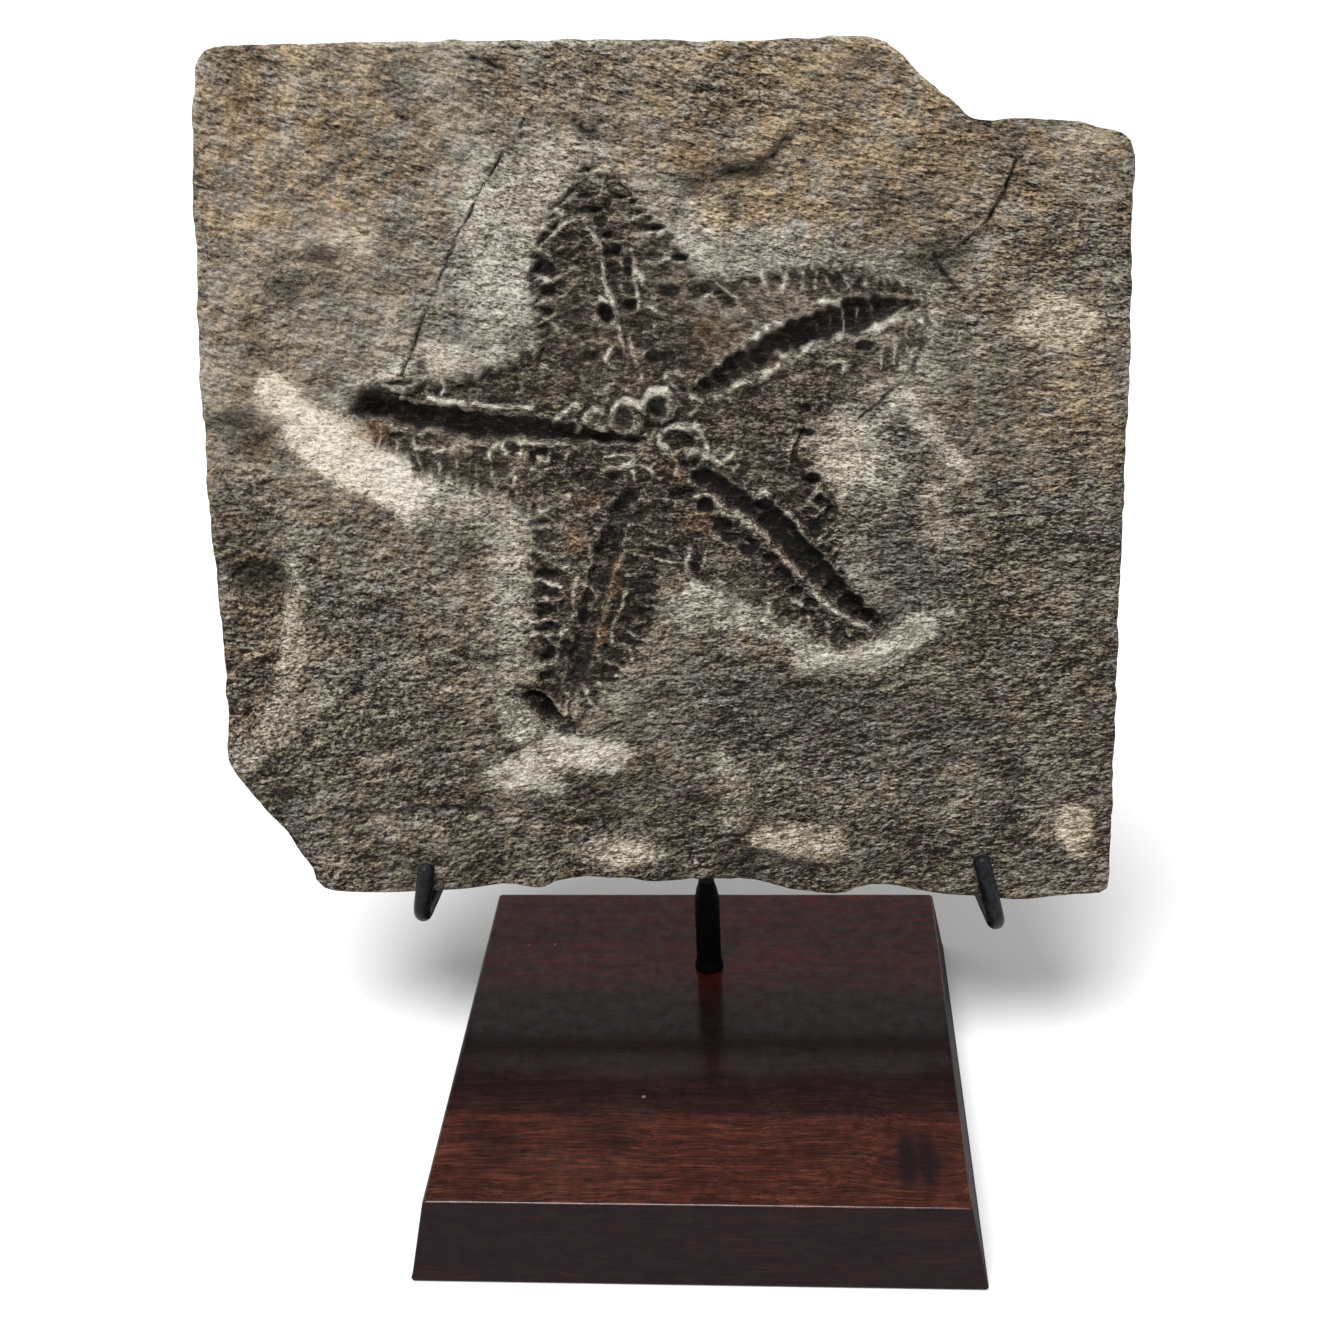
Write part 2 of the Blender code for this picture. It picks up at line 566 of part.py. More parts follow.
def make_board(material):
    """Build the square board: flared sides, softened edges and the socket for the post."""
    half_top = BOARD_TOP / 2 * MM
    half_foot = half_top + BOARD_FLARE * MM
    top = BOARD_THICKNESS * MM
    corners = ((-1, -1), (1, -1), (1, 1), (-1, 1))
    mesh = bmesh.new()
    foot = [mesh.verts.new((x * half_foot, y * half_foot, 0.0)) for x, y in corners]
    lid = [mesh.verts.new((x * half_top, y * half_top, top)) for x, y in corners]
    mesh.faces.new(reversed(foot))
    mesh.faces.new(lid)
    for i in range(4):
        j = (i + 1) % 4
        mesh.faces.new((foot[i], foot[j], lid[j], lid[i]))
    bmesh.ops.bevel(mesh, geom=mesh.edges[:], offset=BOARD_EDGE_ROUNDING * MM, segments=2,
                    profile=0.5, affect="EDGES")
    data = bpy.data.meshes.new("base_board")
    mesh.to_mesh(data)
    mesh.free()
    board = add_object("base_board", data, material)

    bpy.ops.mesh.primitive_cylinder_add(
        vertices=32, radius=(POST_DIAMETER / 2 + TOUCH_GAP) * MM, depth=2 * SOCKET_DEPTH * MM,
        location=(0.0, POST_Y * MM, top))
    cutter = bpy.context.object
    cutter.name = "socket_cutter"
    cutter.hide_render = True
    cutter.display_type = "WIRE"
    socket = board.modifiers.new("socket", "BOOLEAN")
    socket.operation = "DIFFERENCE"
    socket.object = cutter
    return board


def make_post(material):
    """Build the post: a turned rod with a painted fillet at its foot and a tapered top."""
    bottom = BOARD_THICKNESS - SOCKET_DEPTH + TOUCH_GAP
    seat = BOARD_THICKNESS + TOUCH_GAP
    radius, foot, tip = POST_DIAMETER / 2, FOOT_DIAMETER / 2, ROD_DIAMETER / 2
    taper = POST_HEIGHT - POST_STRAIGHT
    profile = [
        (0.0, bottom), (radius - 0.4, bottom), (radius, bottom + 0.5), (radius, seat),
        (foot, seat), (foot, seat + FOOT_HEIGHT * 0.4), (radius + 0.12, seat + FOOT_HEIGHT),
        (radius, seat + FOOT_HEIGHT * 1.6),
        (radius, BOARD_THICKNESS + POST_STRAIGHT - 0.6),
        (radius - 0.14, BOARD_THICKNESS + POST_STRAIGHT),
        (tip + 0.45, BOARD_THICKNESS + POST_STRAIGHT + taper * 0.65),
        (tip, BOARD_THICKNESS + POST_HEIGHT), (0.0, BOARD_THICKNESS + POST_HEIGHT),
    ]
    return turned("post", profile, (0.0, POST_Y), material)


def turned(name, profile, centre, material, segments=28):
    """Turn a profile of (radius, z) pairs about a vertical axis into a closed solid."""
    mesh = bmesh.new()
    rings = []
    for radius, z in profile:
        if radius == 0.0:
            rings.append([mesh.verts.new((centre[0] * MM, centre[1] * MM, z * MM))])
            continue
        angles = [2 * math.pi * k / segments for k in range(segments)]
        rings.append([mesh.verts.new(((centre[0] + radius * math.cos(a)) * MM,
                                      (centre[1] + radius * math.sin(a)) * MM, z * MM))
                      for a in angles])
    for lower, upper in zip(rings[:-1], rings[1:]):
        for k in range(segments):
            n = (k + 1) % segments
            if len(lower) == 1:
                mesh.faces.new((lower[0], upper[n], upper[k]))
            elif len(upper) == 1:
                mesh.faces.new((lower[k], lower[n], upper[0]))
            else:
                mesh.faces.new((lower[k], lower[n], upper[n], upper[k]))
    bmesh.ops.recalc_face_normals(mesh, faces=mesh.faces)
    data = bpy.data.meshes.new(name)
    mesh.to_mesh(data)
    mesh.free()
    data.shade_smooth()
    data.set_sharp_from_angle(angle=math.radians(35))
    return add_object(name, data, material)


def rounded_corner(before, corner, after, radius, pieces=6):
    """Return points on an arc that replaces the corner between two straight runs."""
    into, onward = (corner - before).normalized(), (after - corner).normalized()
    turn = into.angle(onward)
    if turn < 1e-4:
        return [corner]
    tangent = radius * math.tan(turn / 2)
    start = corner - into * tangent
    side = (onward - into * into.dot(onward)).normalized()
    centre = start + side * radius
    points = []
    for k in range(pieces + 1):
        angle = turn * k / pieces
        points.append(centre + radius * (into * math.sin(angle) - side * math.cos(angle)))
    return points


def bent_rod(name, corners, diameter, radii, material, sides=16, domed=True):
    """Sweep a round rod along straight runs joined by bends, with a domed far end."""
    path = [corners[0]]
    for i, radius in enumerate(radii, start=1):
        path += rounded_corner(corners[i - 1], corners[i], corners[i + 1], radius)
    path.append(corners[-1])
    mesh = bmesh.new()
    half = diameter / 2
    rings = []
    side_way = None
    headings = []
    for i, point in enumerate(path):
        before = path[max(i - 1, 0)]
        after = path[min(i + 1, len(path) - 1)]
        headings.append((after - before).normalized())
    stations = [(p, h, half) for p, h in zip(path, headings)]
    if domed:
        end, heading, _ = stations.pop()
        for share in (0.0, 0.4, 0.72, 0.93):
            rise = half * 0.7 * share
            stations.append((end - heading * (half * 0.7 - rise), heading,
                             half * math.sqrt(1.0 - share ** 2)))
    for point, heading, ring_radius in stations:
        if side_way is None:
            helper = Vector((1, 0, 0)) if abs(heading.x) < 0.9 else Vector((0, 0, 1))
            side_way = heading.cross(helper).normalized()
        side_way = (side_way - heading * side_way.dot(heading)).normalized()
        other = heading.cross(side_way)
        ring = []
        for k in range(sides):
            angle = 2 * math.pi * k / sides
            place = point + ring_radius * (side_way * math.cos(angle) + other * math.sin(angle))
            ring.append(mesh.verts.new(place * MM))
        rings.append(ring)
    for lower, upper in zip(rings[:-1], rings[1:]):
        for k in range(sides):
            n = (k + 1) % sides
            mesh.faces.new((lower[k], lower[n], upper[n], upper[k]))
    mesh.faces.new(rings[0][::-1])
    mesh.faces.new(rings[-1])
    bmesh.ops.recalc_face_normals(mesh, faces=mesh.faces)
    data = bpy.data.meshes.new(name)
    mesh.to_mesh(data)
    mesh.free()
    data.shade_smooth()
    data.set_sharp_from_angle(angle=math.radians(35))
    return add_object(name, data, material)


def slab_axes():
    """Return the slab's upward and outward directions as world vectors."""
    sine, cosine = math.sin(SLAB_LEAN), math.cos(SLAB_LEAN)
    return Vector((0.0, sine, cosine)), Vector((0.0, -cosine, sine))


def make_upright_rod(material):
    """Build the thin rod: up from the post, then bent to lie along the slab's back."""
    up, out = slab_axes()
    behind = SLAB_THICKNESS + TOUCH_GAP + ROD_DIAMETER / 2
    foot_of_back = Vector((0.0, SLAB_FRONT_Y, SLAB_FRONT_Z)) - out * behind
    to_post = (POST_Y - foot_of_back.y) / up.y
    bend = foot_of_back + up * to_post
    bottom = Vector((0.0, POST_Y, BOARD_THICKNESS + POST_HEIGHT + TOUCH_GAP))
    top = foot_of_back + up * ROD_REACH
    return bent_rod("upright_rod", [bottom, bend, top], ROD_DIAMETER, [ROD_BEND_RADIUS], material)


def seat_height(u):
    """Return the height of a claw's axis that lets the slab's lower edge rest on the claw."""
    outline = smooth_path(SLAB_OUTLINE, OUTLINE_STEP, closed=True)
    lower_edge = outline[outline[:, 1] < 2.0]
    lower_edge = lower_edge[np.argsort(lower_edge[:, 0])]
    over_claw = np.linspace(u - 0.8 * CLAW_DIAMETER, u + 0.8 * CLAW_DIAMETER, 9)
    lowest = np.interp(over_claw, lower_edge[:, 0], lower_edge[:, 1]).min()
    edge = slab_point(u, lowest - SEAT_BULGE, RIM_ROUNDING - SLAB_THICKNESS)
    return edge.z / MM - TOUCH_GAP - CLAW_DIAMETER / 2


def claw_corners(shape):
    """Return the back end, the bend and the tip of one claw."""
    up, out = slab_axes()
    run_z = seat_height(shape.u)
    bend_y = SLAB_FRONT_Y - STUB_OFFSET + (run_z - SLAB_FRONT_Z) * math.tan(SLAB_LEAN)
    bend = Vector((shape.u, bend_y, run_z))
    run = BAR_Y + CLAW_DIAMETER / 2 - bend_y
    back = bend + Vector((run * math.tan(shape.toe), run, 0.0))
    rise = (up + Vector((math.tan(shape.lean), 0.0, 0.0))) * shape.height
    return [back, bend, bend + rise]


def make_claw(shape, material):
    """Build one claw: back under the slab, round the bend and up against the face."""
    return bent_rod("claw_" + shape.side, claw_corners(shape), CLAW_DIAMETER,
                    [CLAW_BEND_RADIUS], material)


def make_cross_bar(material):
    """Build the bar behind the slab that lies across the back ends of both claws."""
    left, right = (claw_corners(shape)[0] for shape in (CLAW_LEFT, CLAW_RIGHT))
    on_top = Vector((0.0, -CLAW_DIAMETER / 2, CLAW_DIAMETER + TOUCH_GAP))
    along = (right - left).normalized() * CLAW_DIAMETER / 2
    return bent_rod("cross_bar", [left + on_top - along, right + on_top + along], CLAW_DIAMETER,
                    [], material, domed=False)


def main():
    """Build every piece of the fossil and its stand."""
    clear_scene()
    stone = make_material("sandstone", (0.20, 0.17, 0.13), 0.9)
    wood = make_material("dark_hardwood", (0.045, 0.018, 0.014), 0.35)
    iron = make_material("black_iron", (0.012, 0.012, 0.014), 0.45, 0.6)
    make_board(wood)
    make_post(iron)
    make_upright_rod(iron)
    make_cross_bar(iron)
    for shape in (CLAW_LEFT, CLAW_RIGHT):
        make_claw(shape, iron)
    make_slab(stone)


main()
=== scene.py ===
"""Looks of a fossil starfish: a sandstone slab on a small stand of iron rod and dark hardwood.

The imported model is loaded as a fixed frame, and each of its nodes is then either replaced by a
finer piece or dressed with a better material. Sizes are in millimetres, and MM turns them into
Blender's metres where a mesh is made. On the slab's face, u runs to the right, v up the slope
and w outwards, as in the part's own source.
"""

import logging
import math
from collections.abc import Iterable, Sequence
from dataclasses import dataclass, field
from enum import Enum

import bmesh
import bpy
import numpy as np
from mathutils import Matrix, Vector
from mathutils.geometry import delaunay_2d_cdt

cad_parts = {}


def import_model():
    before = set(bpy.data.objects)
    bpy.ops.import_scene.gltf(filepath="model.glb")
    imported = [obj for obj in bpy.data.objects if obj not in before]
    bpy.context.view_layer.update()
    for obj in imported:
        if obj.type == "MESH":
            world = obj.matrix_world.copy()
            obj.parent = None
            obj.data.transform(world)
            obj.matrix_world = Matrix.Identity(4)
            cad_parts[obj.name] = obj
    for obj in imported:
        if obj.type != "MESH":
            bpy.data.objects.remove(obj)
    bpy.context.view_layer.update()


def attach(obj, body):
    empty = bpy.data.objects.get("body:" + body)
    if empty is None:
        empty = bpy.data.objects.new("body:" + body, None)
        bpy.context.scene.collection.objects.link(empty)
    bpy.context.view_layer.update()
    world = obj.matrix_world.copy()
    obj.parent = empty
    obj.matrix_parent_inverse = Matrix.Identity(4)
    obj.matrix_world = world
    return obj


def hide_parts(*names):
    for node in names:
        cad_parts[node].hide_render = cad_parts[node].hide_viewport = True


Array = np.ndarray
Pair = tuple[float, float]
Triple = tuple[float, float, float]
Socket = bpy.types.NodeSocket
Sockets = bpy.types.bpy_prop_collection

MM = 0.001
ROOT = "root"
ROD_CREASE = 50.0
BOARD_THICKNESS = 20.0
SOCKET_DEPTH = 12.0
POST_Y = 26.6
CLAW_PLACES = (-70.2, 71.6)
LOG = logging.getLogger("fossil_starfish")
SCATTER = (127.1, 311.7, 74.7, 43758.5453)


class Slot(Enum):
    """The record's material slots."""

    STONE = "sandstone"
    WOOD = "hardwood"
    IRON = "black_iron"


class Tint(Enum):
    """What a patch of the stone's face turns towards."""

    PALE = "pale"
    DARK = "dark"
    STAIN = "stain"
    OCHRE = "ochre"
    RUST = "rust"
    COOL = "cool"


# ------------------------------------------------------------------ curves and uneven ground


def path_lengths(path: Array) -> Array:
    """Return the distance travelled at each point of a path."""
    steps = np.hypot(*np.diff(path, axis=0).T)
    return np.concatenate([[0.0], np.cumsum(steps)])


def smooth_path(points: Sequence[Pair], step: float = 2.0, closed: bool = False) -> Array:
    """Return points at an even step on a Catmull-Rom curve.

    Args:
        points: the knots that the curve runs through.
        step: the distance between the returned points, in millimetres.
        closed: whether the curve runs back to its first knot.

    Returns:
        The points, one row each.
    """
    knots = np.array(points, float)
    count = len(knots)
    dense = []
    for i in range(count if closed else count - 1):
        if closed:
            before, start, end, after = (knots[(i + k) % count] for k in (-1, 0, 1, 2))
        else:
            before, start, end = knots[max(i - 1, 0)], knots[i], knots[i + 1]
            after = knots[min(i + 2, count - 1)]
        t = np.linspace(0.0, 1.0, 24, endpoint=False)[:, None]
        dense.append(0.5 * (2 * start + (end - before) * t
                            + (2 * before - 5 * start + 4 * end - after) * t ** 2
                            + (3 * start - before - 3 * end + after) * t ** 3))
    dense.append(knots[:1] if closed else knots[-1:])
    line = np.vstack(dense)
    travelled = path_lengths(line)
    pieces = max(2, int(round(travelled[-1] / step)))
    stops = np.linspace(0.0, travelled[-1], pieces + 1)
    even = np.column_stack([np.interp(stops, travelled, line[:, k]) for k in (0, 1)])
    return even[:-1] if closed else even


def along_path(path: Array, u: Array, v: Array) -> tuple[Array, Array]:
    """Measure places against a path.

    Args:
        path: the path's points.
        u: the places' first coordinates.
        v: the places' second coordinates.

    Returns:
        How far along the path each place lies, and its distance, positive on the left.
    """
    travelled = path_lengths(path)
    best = np.full(u.shape, np.inf)
    station = np.zeros(u.shape)
    side = np.ones(u.shape)
    for i, (start, end) in enumerate(zip(path[:-1], path[1:])):
        edge = end - start
        length = math.hypot(*edge)
        du, dv = u - start[0], v - start[1]
        t = np.clip((du * edge[0] + dv * edge[1]) / length ** 2, 0.0, 1.0)
        gap = np.hypot(du - t * edge[0], dv - t * edge[1])
        nearer = gap < best
        best = np.where(nearer, gap, best)
        station = np.where(nearer, travelled[i] + t * length, station)
        side = np.where(nearer, np.sign(edge[0] * dv - edge[1] * du), side)
    return station, best * np.where(side == 0, 1.0, side)


def distance_to_border(polygon: Array, u: Array, v: Array) -> Array:
    """Return the distance from each (u, v) to a closed polygon, negative inside it."""
    ring = np.vstack([polygon, polygon[:1]])
    gap = np.abs(along_path(ring, u, v)[1])
    inside = np.zeros(u.shape, bool)
    for (u0, v0), (u1, v1) in zip(ring[:-1], ring[1:]):
        if v0 == v1:
            continue
        crosses = (v0 > v) != (v1 > v)
        inside ^= crosses & (u < (u1 - u0) * (v - v0) / (v1 - v0) + u0)
    return np.where(inside, -gap, gap)


def ease(low: float, high: float, value: Array) -> Array:
    """Return 0 below low and 1 above high, with a smooth climb between."""
    t = np.clip((value - low) / (high - low), 0.0, 1.0)
    return t * t * (3.0 - 2.0 * t)


def even_steps(values: Sequence[float], share: Array) -> Array:
    """Read a list of values given at even steps, at a share of the way along."""
    return np.interp(share, np.linspace(0.0, 1.0, len(values)), values)


def lattice_value(i: Array, j: Array, seed: float) -> Array:
    """Return a fixed value from -1 to 1 for each corner of a square lattice."""
    scatter = np.sin(i * SCATTER[0] + j * SCATTER[1] + seed * SCATTER[2]) * SCATTER[3]
    return 2.0 * (scatter - np.floor(scatter)) - 1.0


def lumps(u: Array, v: Array, sizes: Sequence[Pair], seed: float) -> Array:
    """Return uneven ground made of smooth lumps.

    Args:
        u: places along the face.
        v: places up the face.
        sizes: for each layer, the size across and the height of its lumps.
        seed: picks one such ground among many.

    Returns:
        The height at each place.
    """
    height = np.zeros(u.shape)
    for layer, (size, amount) in enumerate(sizes):
        x, y = u / size + 0.31 * v / size, v / size - 0.17 * u / size
        i, j = np.floor(x), np.floor(y)
        across, upward = ease(0.0, 1.0, x - i), ease(0.0, 1.0, y - j)
        key = seed + 11 * layer
        low = lattice_value(i, j, key) * (1 - across) + lattice_value(i + 1, j, key) * across
        high = lattice_value(i, j + 1, key) * (1 - across) + lattice_value(i + 1, j + 1, key) * across
        height += amount * (low * (1 - upward) + high * upward)
    return height


# ------------------------------------------------------------------ meshes and objects


def new_object(name: str, data: bpy.types.ID) -> bpy.types.Object:
    """Return a new object that holds the data, linked to the scene."""
    item = bpy.data.objects.new(name, data)
    bpy.context.scene.collection.objects.link(item)
    return item


def store_numbers(mesh: bpy.types.Mesh, name: str, numbers: Array) -> None:
    """Write one number for each of a mesh's points."""
    layer = mesh.attributes.new(name, "FLOAT", "POINT")
    layer.data.foreach_set("value", np.asarray(numbers, np.float32))


def close_mesh(mesh: bpy.types.Mesh, crease: float) -> None:
    """Make every face of a closed mesh look outwards, and smooth all but its sharp edges."""
    work = bmesh.new()
    work.from_mesh(mesh)
    bmesh.ops.recalc_face_normals(work, faces=work.faces)
    work.to_mesh(mesh)
    work.free()
    mesh.shade_smooth()
    mesh.set_sharp_from_angle(angle=math.radians(crease))


# ------------------------------------------------------------------ features of the slab's face


@dataclass(frozen=True)
class Arm:
    """One arm: its groove's spine, half widths and depths, and the plates on its left and right."""

    spine: tuple[Pair, ...]
    width: tuple[float, ...]
    depth: tuple[float, ...]
    bead_pitch: float = 1.0
    bead: float = 0.0
    plate_pitch: float = 1.0
    plates: Pair = (0.0, 0.0)


@dataclass(frozen=True)
class Pit:
    """A round hollow: centre, half sizes along u and v, and depth."""

    u: float
    v: float
    half_u: float
    half_v: float
    depth: float


@dataclass(frozen=True)
class Ring:
    """A rounded ossicle: centre, radius and height of its rim."""

    u: float
    v: float
    radius: float
    height: float


@dataclass(frozen=True)
class Ledge:
    """A step of the split bedding: its line, its drop on the right and how far that heals."""

    line: tuple[Pair, ...]
    drop: float
    run: float


@dataclass(frozen=True)
class Stroke:
    """A thin wall (raised, pale) or a crack (cut, dark) on the face; pale and rust run to 1."""

    line: tuple[Pair, ...]
    half_width: float
    height: float
    pale: float = 0.0
    rust: float = 0.0


@dataclass(frozen=True)
class Patch:
    """A soft-edged patch of another colour: an ellipse, or a band along a line."""

    tint: Tint
    places: tuple[Pair, ...]
    half: Pair
    amount: float


ARMS = (
    Arm(((-8, 112), (-11, 126), (-13.5, 140), (-16, 150), (-20, 160), (-25, 173)),
        (1.5, 3, 4.4, 3.8, 2.2, 0.8), (0.4, 0.9, 1.6, 1.5, 1, 0.3), 5.2, 0.9, 4.6, (0.9, 0.9)),
    Arm(((-2, 114), (4, 120.5), (13, 126.2), (20, 130), (28, 132.6), (36, 134.8), (44, 136.8), (51, 138)),
        (1.3, 2.3, 3, 3.6, 3.9, 4.1, 3.6, 1.2), (0.8, 2.4, 3.6, 4.6, 4.8, 4.6, 4.2, 1.6),
        3.3, 0.9, 3.6, (0.8, 0.6)),
    Arm(((-3, 104), (4, 97.5), (11, 92.5), (17, 89.5), (23, 83), (29, 76), (34, 70.5), (39, 66),
         (45, 61.5)),
        (1.4, 2.6, 3, 3.1, 3, 3, 2.8, 2.4, 0.8), (1.4, 3, 3.4, 3.6, 3.8, 4, 4, 3.4, 0.6),
        4.6, 1.6, 4.2, (1, 0.6)),
    Arm(((-11, 101), (-17, 92), (-20.5, 84), (-23.5, 74), (-26, 64), (-29, 54), (-33, 39)),
        (1.6, 2.5, 2.8, 2.5, 2.6, 2.5, 1.2), (1, 2.2, 2.6, 1.5, 1.4, 1.3, 0.5),
        5.2, 0.8, 4.3, (0.9, 1)),
    Arm(((-12, 107.6), (-20, 108.3), (-30, 110), (-40, 110.9), (-50, 112.2), (-60, 114), (-73, 116.4)),
        (0.8, 1.6, 2.6, 3, 3.2, 3, 2.8), (1.2, 3, 4.4, 4.6, 4.6, 4.4, 4.4),
        6, 0.4, 4.4, (0.8, 0.55)),
)
PIT_ROW = Arm(((-1, 95), (5, 88.5), (12, 82.5), (19, 76), (27, 67.5), (34, 62.5)),
              (1.2, 1.9, 2, 1.9, 1.6, 0.7), (0.6, 1.1, 1.2, 1.1, 0.8, 0.3), 4.9, 0.6)
TIP_HOOK = Arm(((-43.5, 47.5), (-39.5, 46), (-37.5, 42.5), (-33, 38.8)),
               (0.8, 2.2, 2, 0.4), (1, 3, 3, 0.5))

SLAB_OUTLINE = (
    (-102.3, 198), (-106.9, 197.1), (-109.4, 194.4), (-110.3, 190), (-112.4, 169),
    (-114, 146), (-115.6, 125), (-116, 108), (-115.8, 79), (-115.5, 62), (-116, 46),
    (-116.6, 33), (-115.6, 29), (-110, 20), (-103.2, 11.5), (-99, 5.6),
    (-96.9, -1.2), (-92.8, -3.4), (-82, -3.9), (-50.5, -2.6), (-41, -3.4),
    (-34.8, -1.2), (-21, -0.3), (-12, -1.2), (4, -0.9), (12, -1.4),
    (20, -3.2), (27.6, -4.2), (33.5, -4.3), (39, -2.6), (46, -2.7),
    (54, -4.1), (66, -4.7), (76, -5.6), (85, -5), (95, -4.4),
    (98.4, -2.2), (98.8, 19), (98.6, 75), (99, 126), (98.3, 158),
    (97.6, 171.2), (88, 175.4), (77, 176.9), (64.5, 177.2), (60, 180),
    (53, 185.8), (45, 193.4), (38, 195.4), (22, 195.2), (4, 195.4), (-9.5, 196.2), (-54, 197.4),
)
STAR_OUTLINE = (
    (-23, 170.5), (-27, 164.5), (-32, 157.5), (-35.6, 151), (-36, 140),
    (-33.5, 130.5), (-42, 126.6), (-52, 123.6), (-62, 122.2), (-70, 121.2),
    (-77, 121), (-78.5, 117.5), (-76, 114), (-74, 108.4), (-66.5, 102.8),
    (-57, 99), (-47, 96), (-39.2, 92), (-37.8, 84), (-38.2, 74),
    (-38, 64), (-37.4, 55), (-39, 49.5), (-43.5, 48), (-39, 43),
    (-35, 39), (-31, 38), (-27, 42), (-22, 48), (-16, 55),
    (-11.5, 63), (-10, 72), (-8.6, 78), (-4, 78.6), (2, 74.4),
    (10, 69.2), (18.5, 66.4), (28, 59.4), (38, 58), (45, 60),
    (46, 62.5), (39, 69.5), (34, 77), (32, 84), (32.5, 90),
    (28.5, 98), (24.8, 105), (27, 111), (36, 117), (44, 122),
    (51, 128), (54, 134), (53, 140), (46, 142.5), (38, 144.5),
    (30, 146), (20, 145.5), (10, 144), (2, 144.5), (0, 150),
    (-5, 155.5), (-10, 160), (-14, 164), (-19, 169.5),
)
PITS = tuple(Pit(*numbers) for numbers in (
    (-73.5, 118, 5, 3.4, 5.2), (-19.5, 137, 1.9, 2.4, 2.6), (-21, 81.8, 3.2, 3, 3.2),
    (-9.5, 112.5, 2, 3.6, 2), (-3.6, 107.8, 4.6, 2.3, 2.4), (-9, 91.6, 3.6, 1.6, 1.8),
    (-3.6, 95.2, 3.4, 1.8, 1.8), (-16, 91, 4.5, 2.4, 1.6),
    (-105, 76, 7.5, 5.5, 3), (-107, 112, 9, 4.5, 2.4), (-93, 144, 5, 3, 1.8),
    (-85, 151, 5, 1.8, 1.6), (-103.5, 93, 2, 1.8, 1.2), (12.5, 167, 9, 2.2, 2.2),
    (1.5, 164.5, 3.5, 2.4, 1.4), (-24, 178.5, 7, 1.8, 1.3), (57, 146.5, 6, 3.4, 1.6),
    (40, 104.5, 7, 1.8, 1.2), (75, 26, 3, 2.2, 1.4), (73, 117.5, 2.6, 1.4, 1),
))
RINGS = tuple(Ring(*numbers) for numbers in (
    (-15.3, 113.4, 3.7, 1.3), (-8, 115.4, 3.6, 1.5), (-22.5, 112.6, 3, 0.9),
    (-3.6, 106.9, 4.4, 1), (0.4, 103.2, 2.2, 0.9), (16, 93, 2.6, 0.7),
))
LEDGES = (
    Ledge(((-113, 33), (-106, 46), (-101, 60), (-98.5, 70), (-96, 80)), -1.6, 16),
    Ledge(((-112, 106), (-100, 112), (-95, 117)), 1.6, 14),
    Ledge(((-84, 167), (-72, 175), (-60, 181.5), (-48, 186)), -0.9, 22),
    Ledge(((6, 171), (14, 169.5), (20, 172), (26, 180)), 1.3, 18),
    Ledge(((50, 143), (57, 148.5), (64, 153), (72, 167)), 1.2, 24),
    Ledge(((2, 9), (14, 7.5), (22, 4.5), (30, 2)), 1.8, 10),
    Ledge(((38, 6.2), (46, 5), (60, 6.8)), 1.1, 9),
    Ledge(((-88, 17), (-66, 18), (-48, 20), (-36, 14)), 1, 16),
    Ledge(((-33, 4.5), (-24, 8.5), (-13, 10.5), (-11, 4)), -0.9, 8),
    Ledge(((9, 14), (22, 12.5), (35, 13.5)), -0.9, 9),
    Ledge(((-60, 83), (-47, 86.5), (-40, 90)), -0.7, 12),
    Ledge(((22, 52), (36, 53.5), (48, 58), (53, 66)), 1.3, 12),
    Ledge(((-50, 34), (-47, 26), (-36, 25), (-28, 28), (-18, 31)), 1, 12),
)

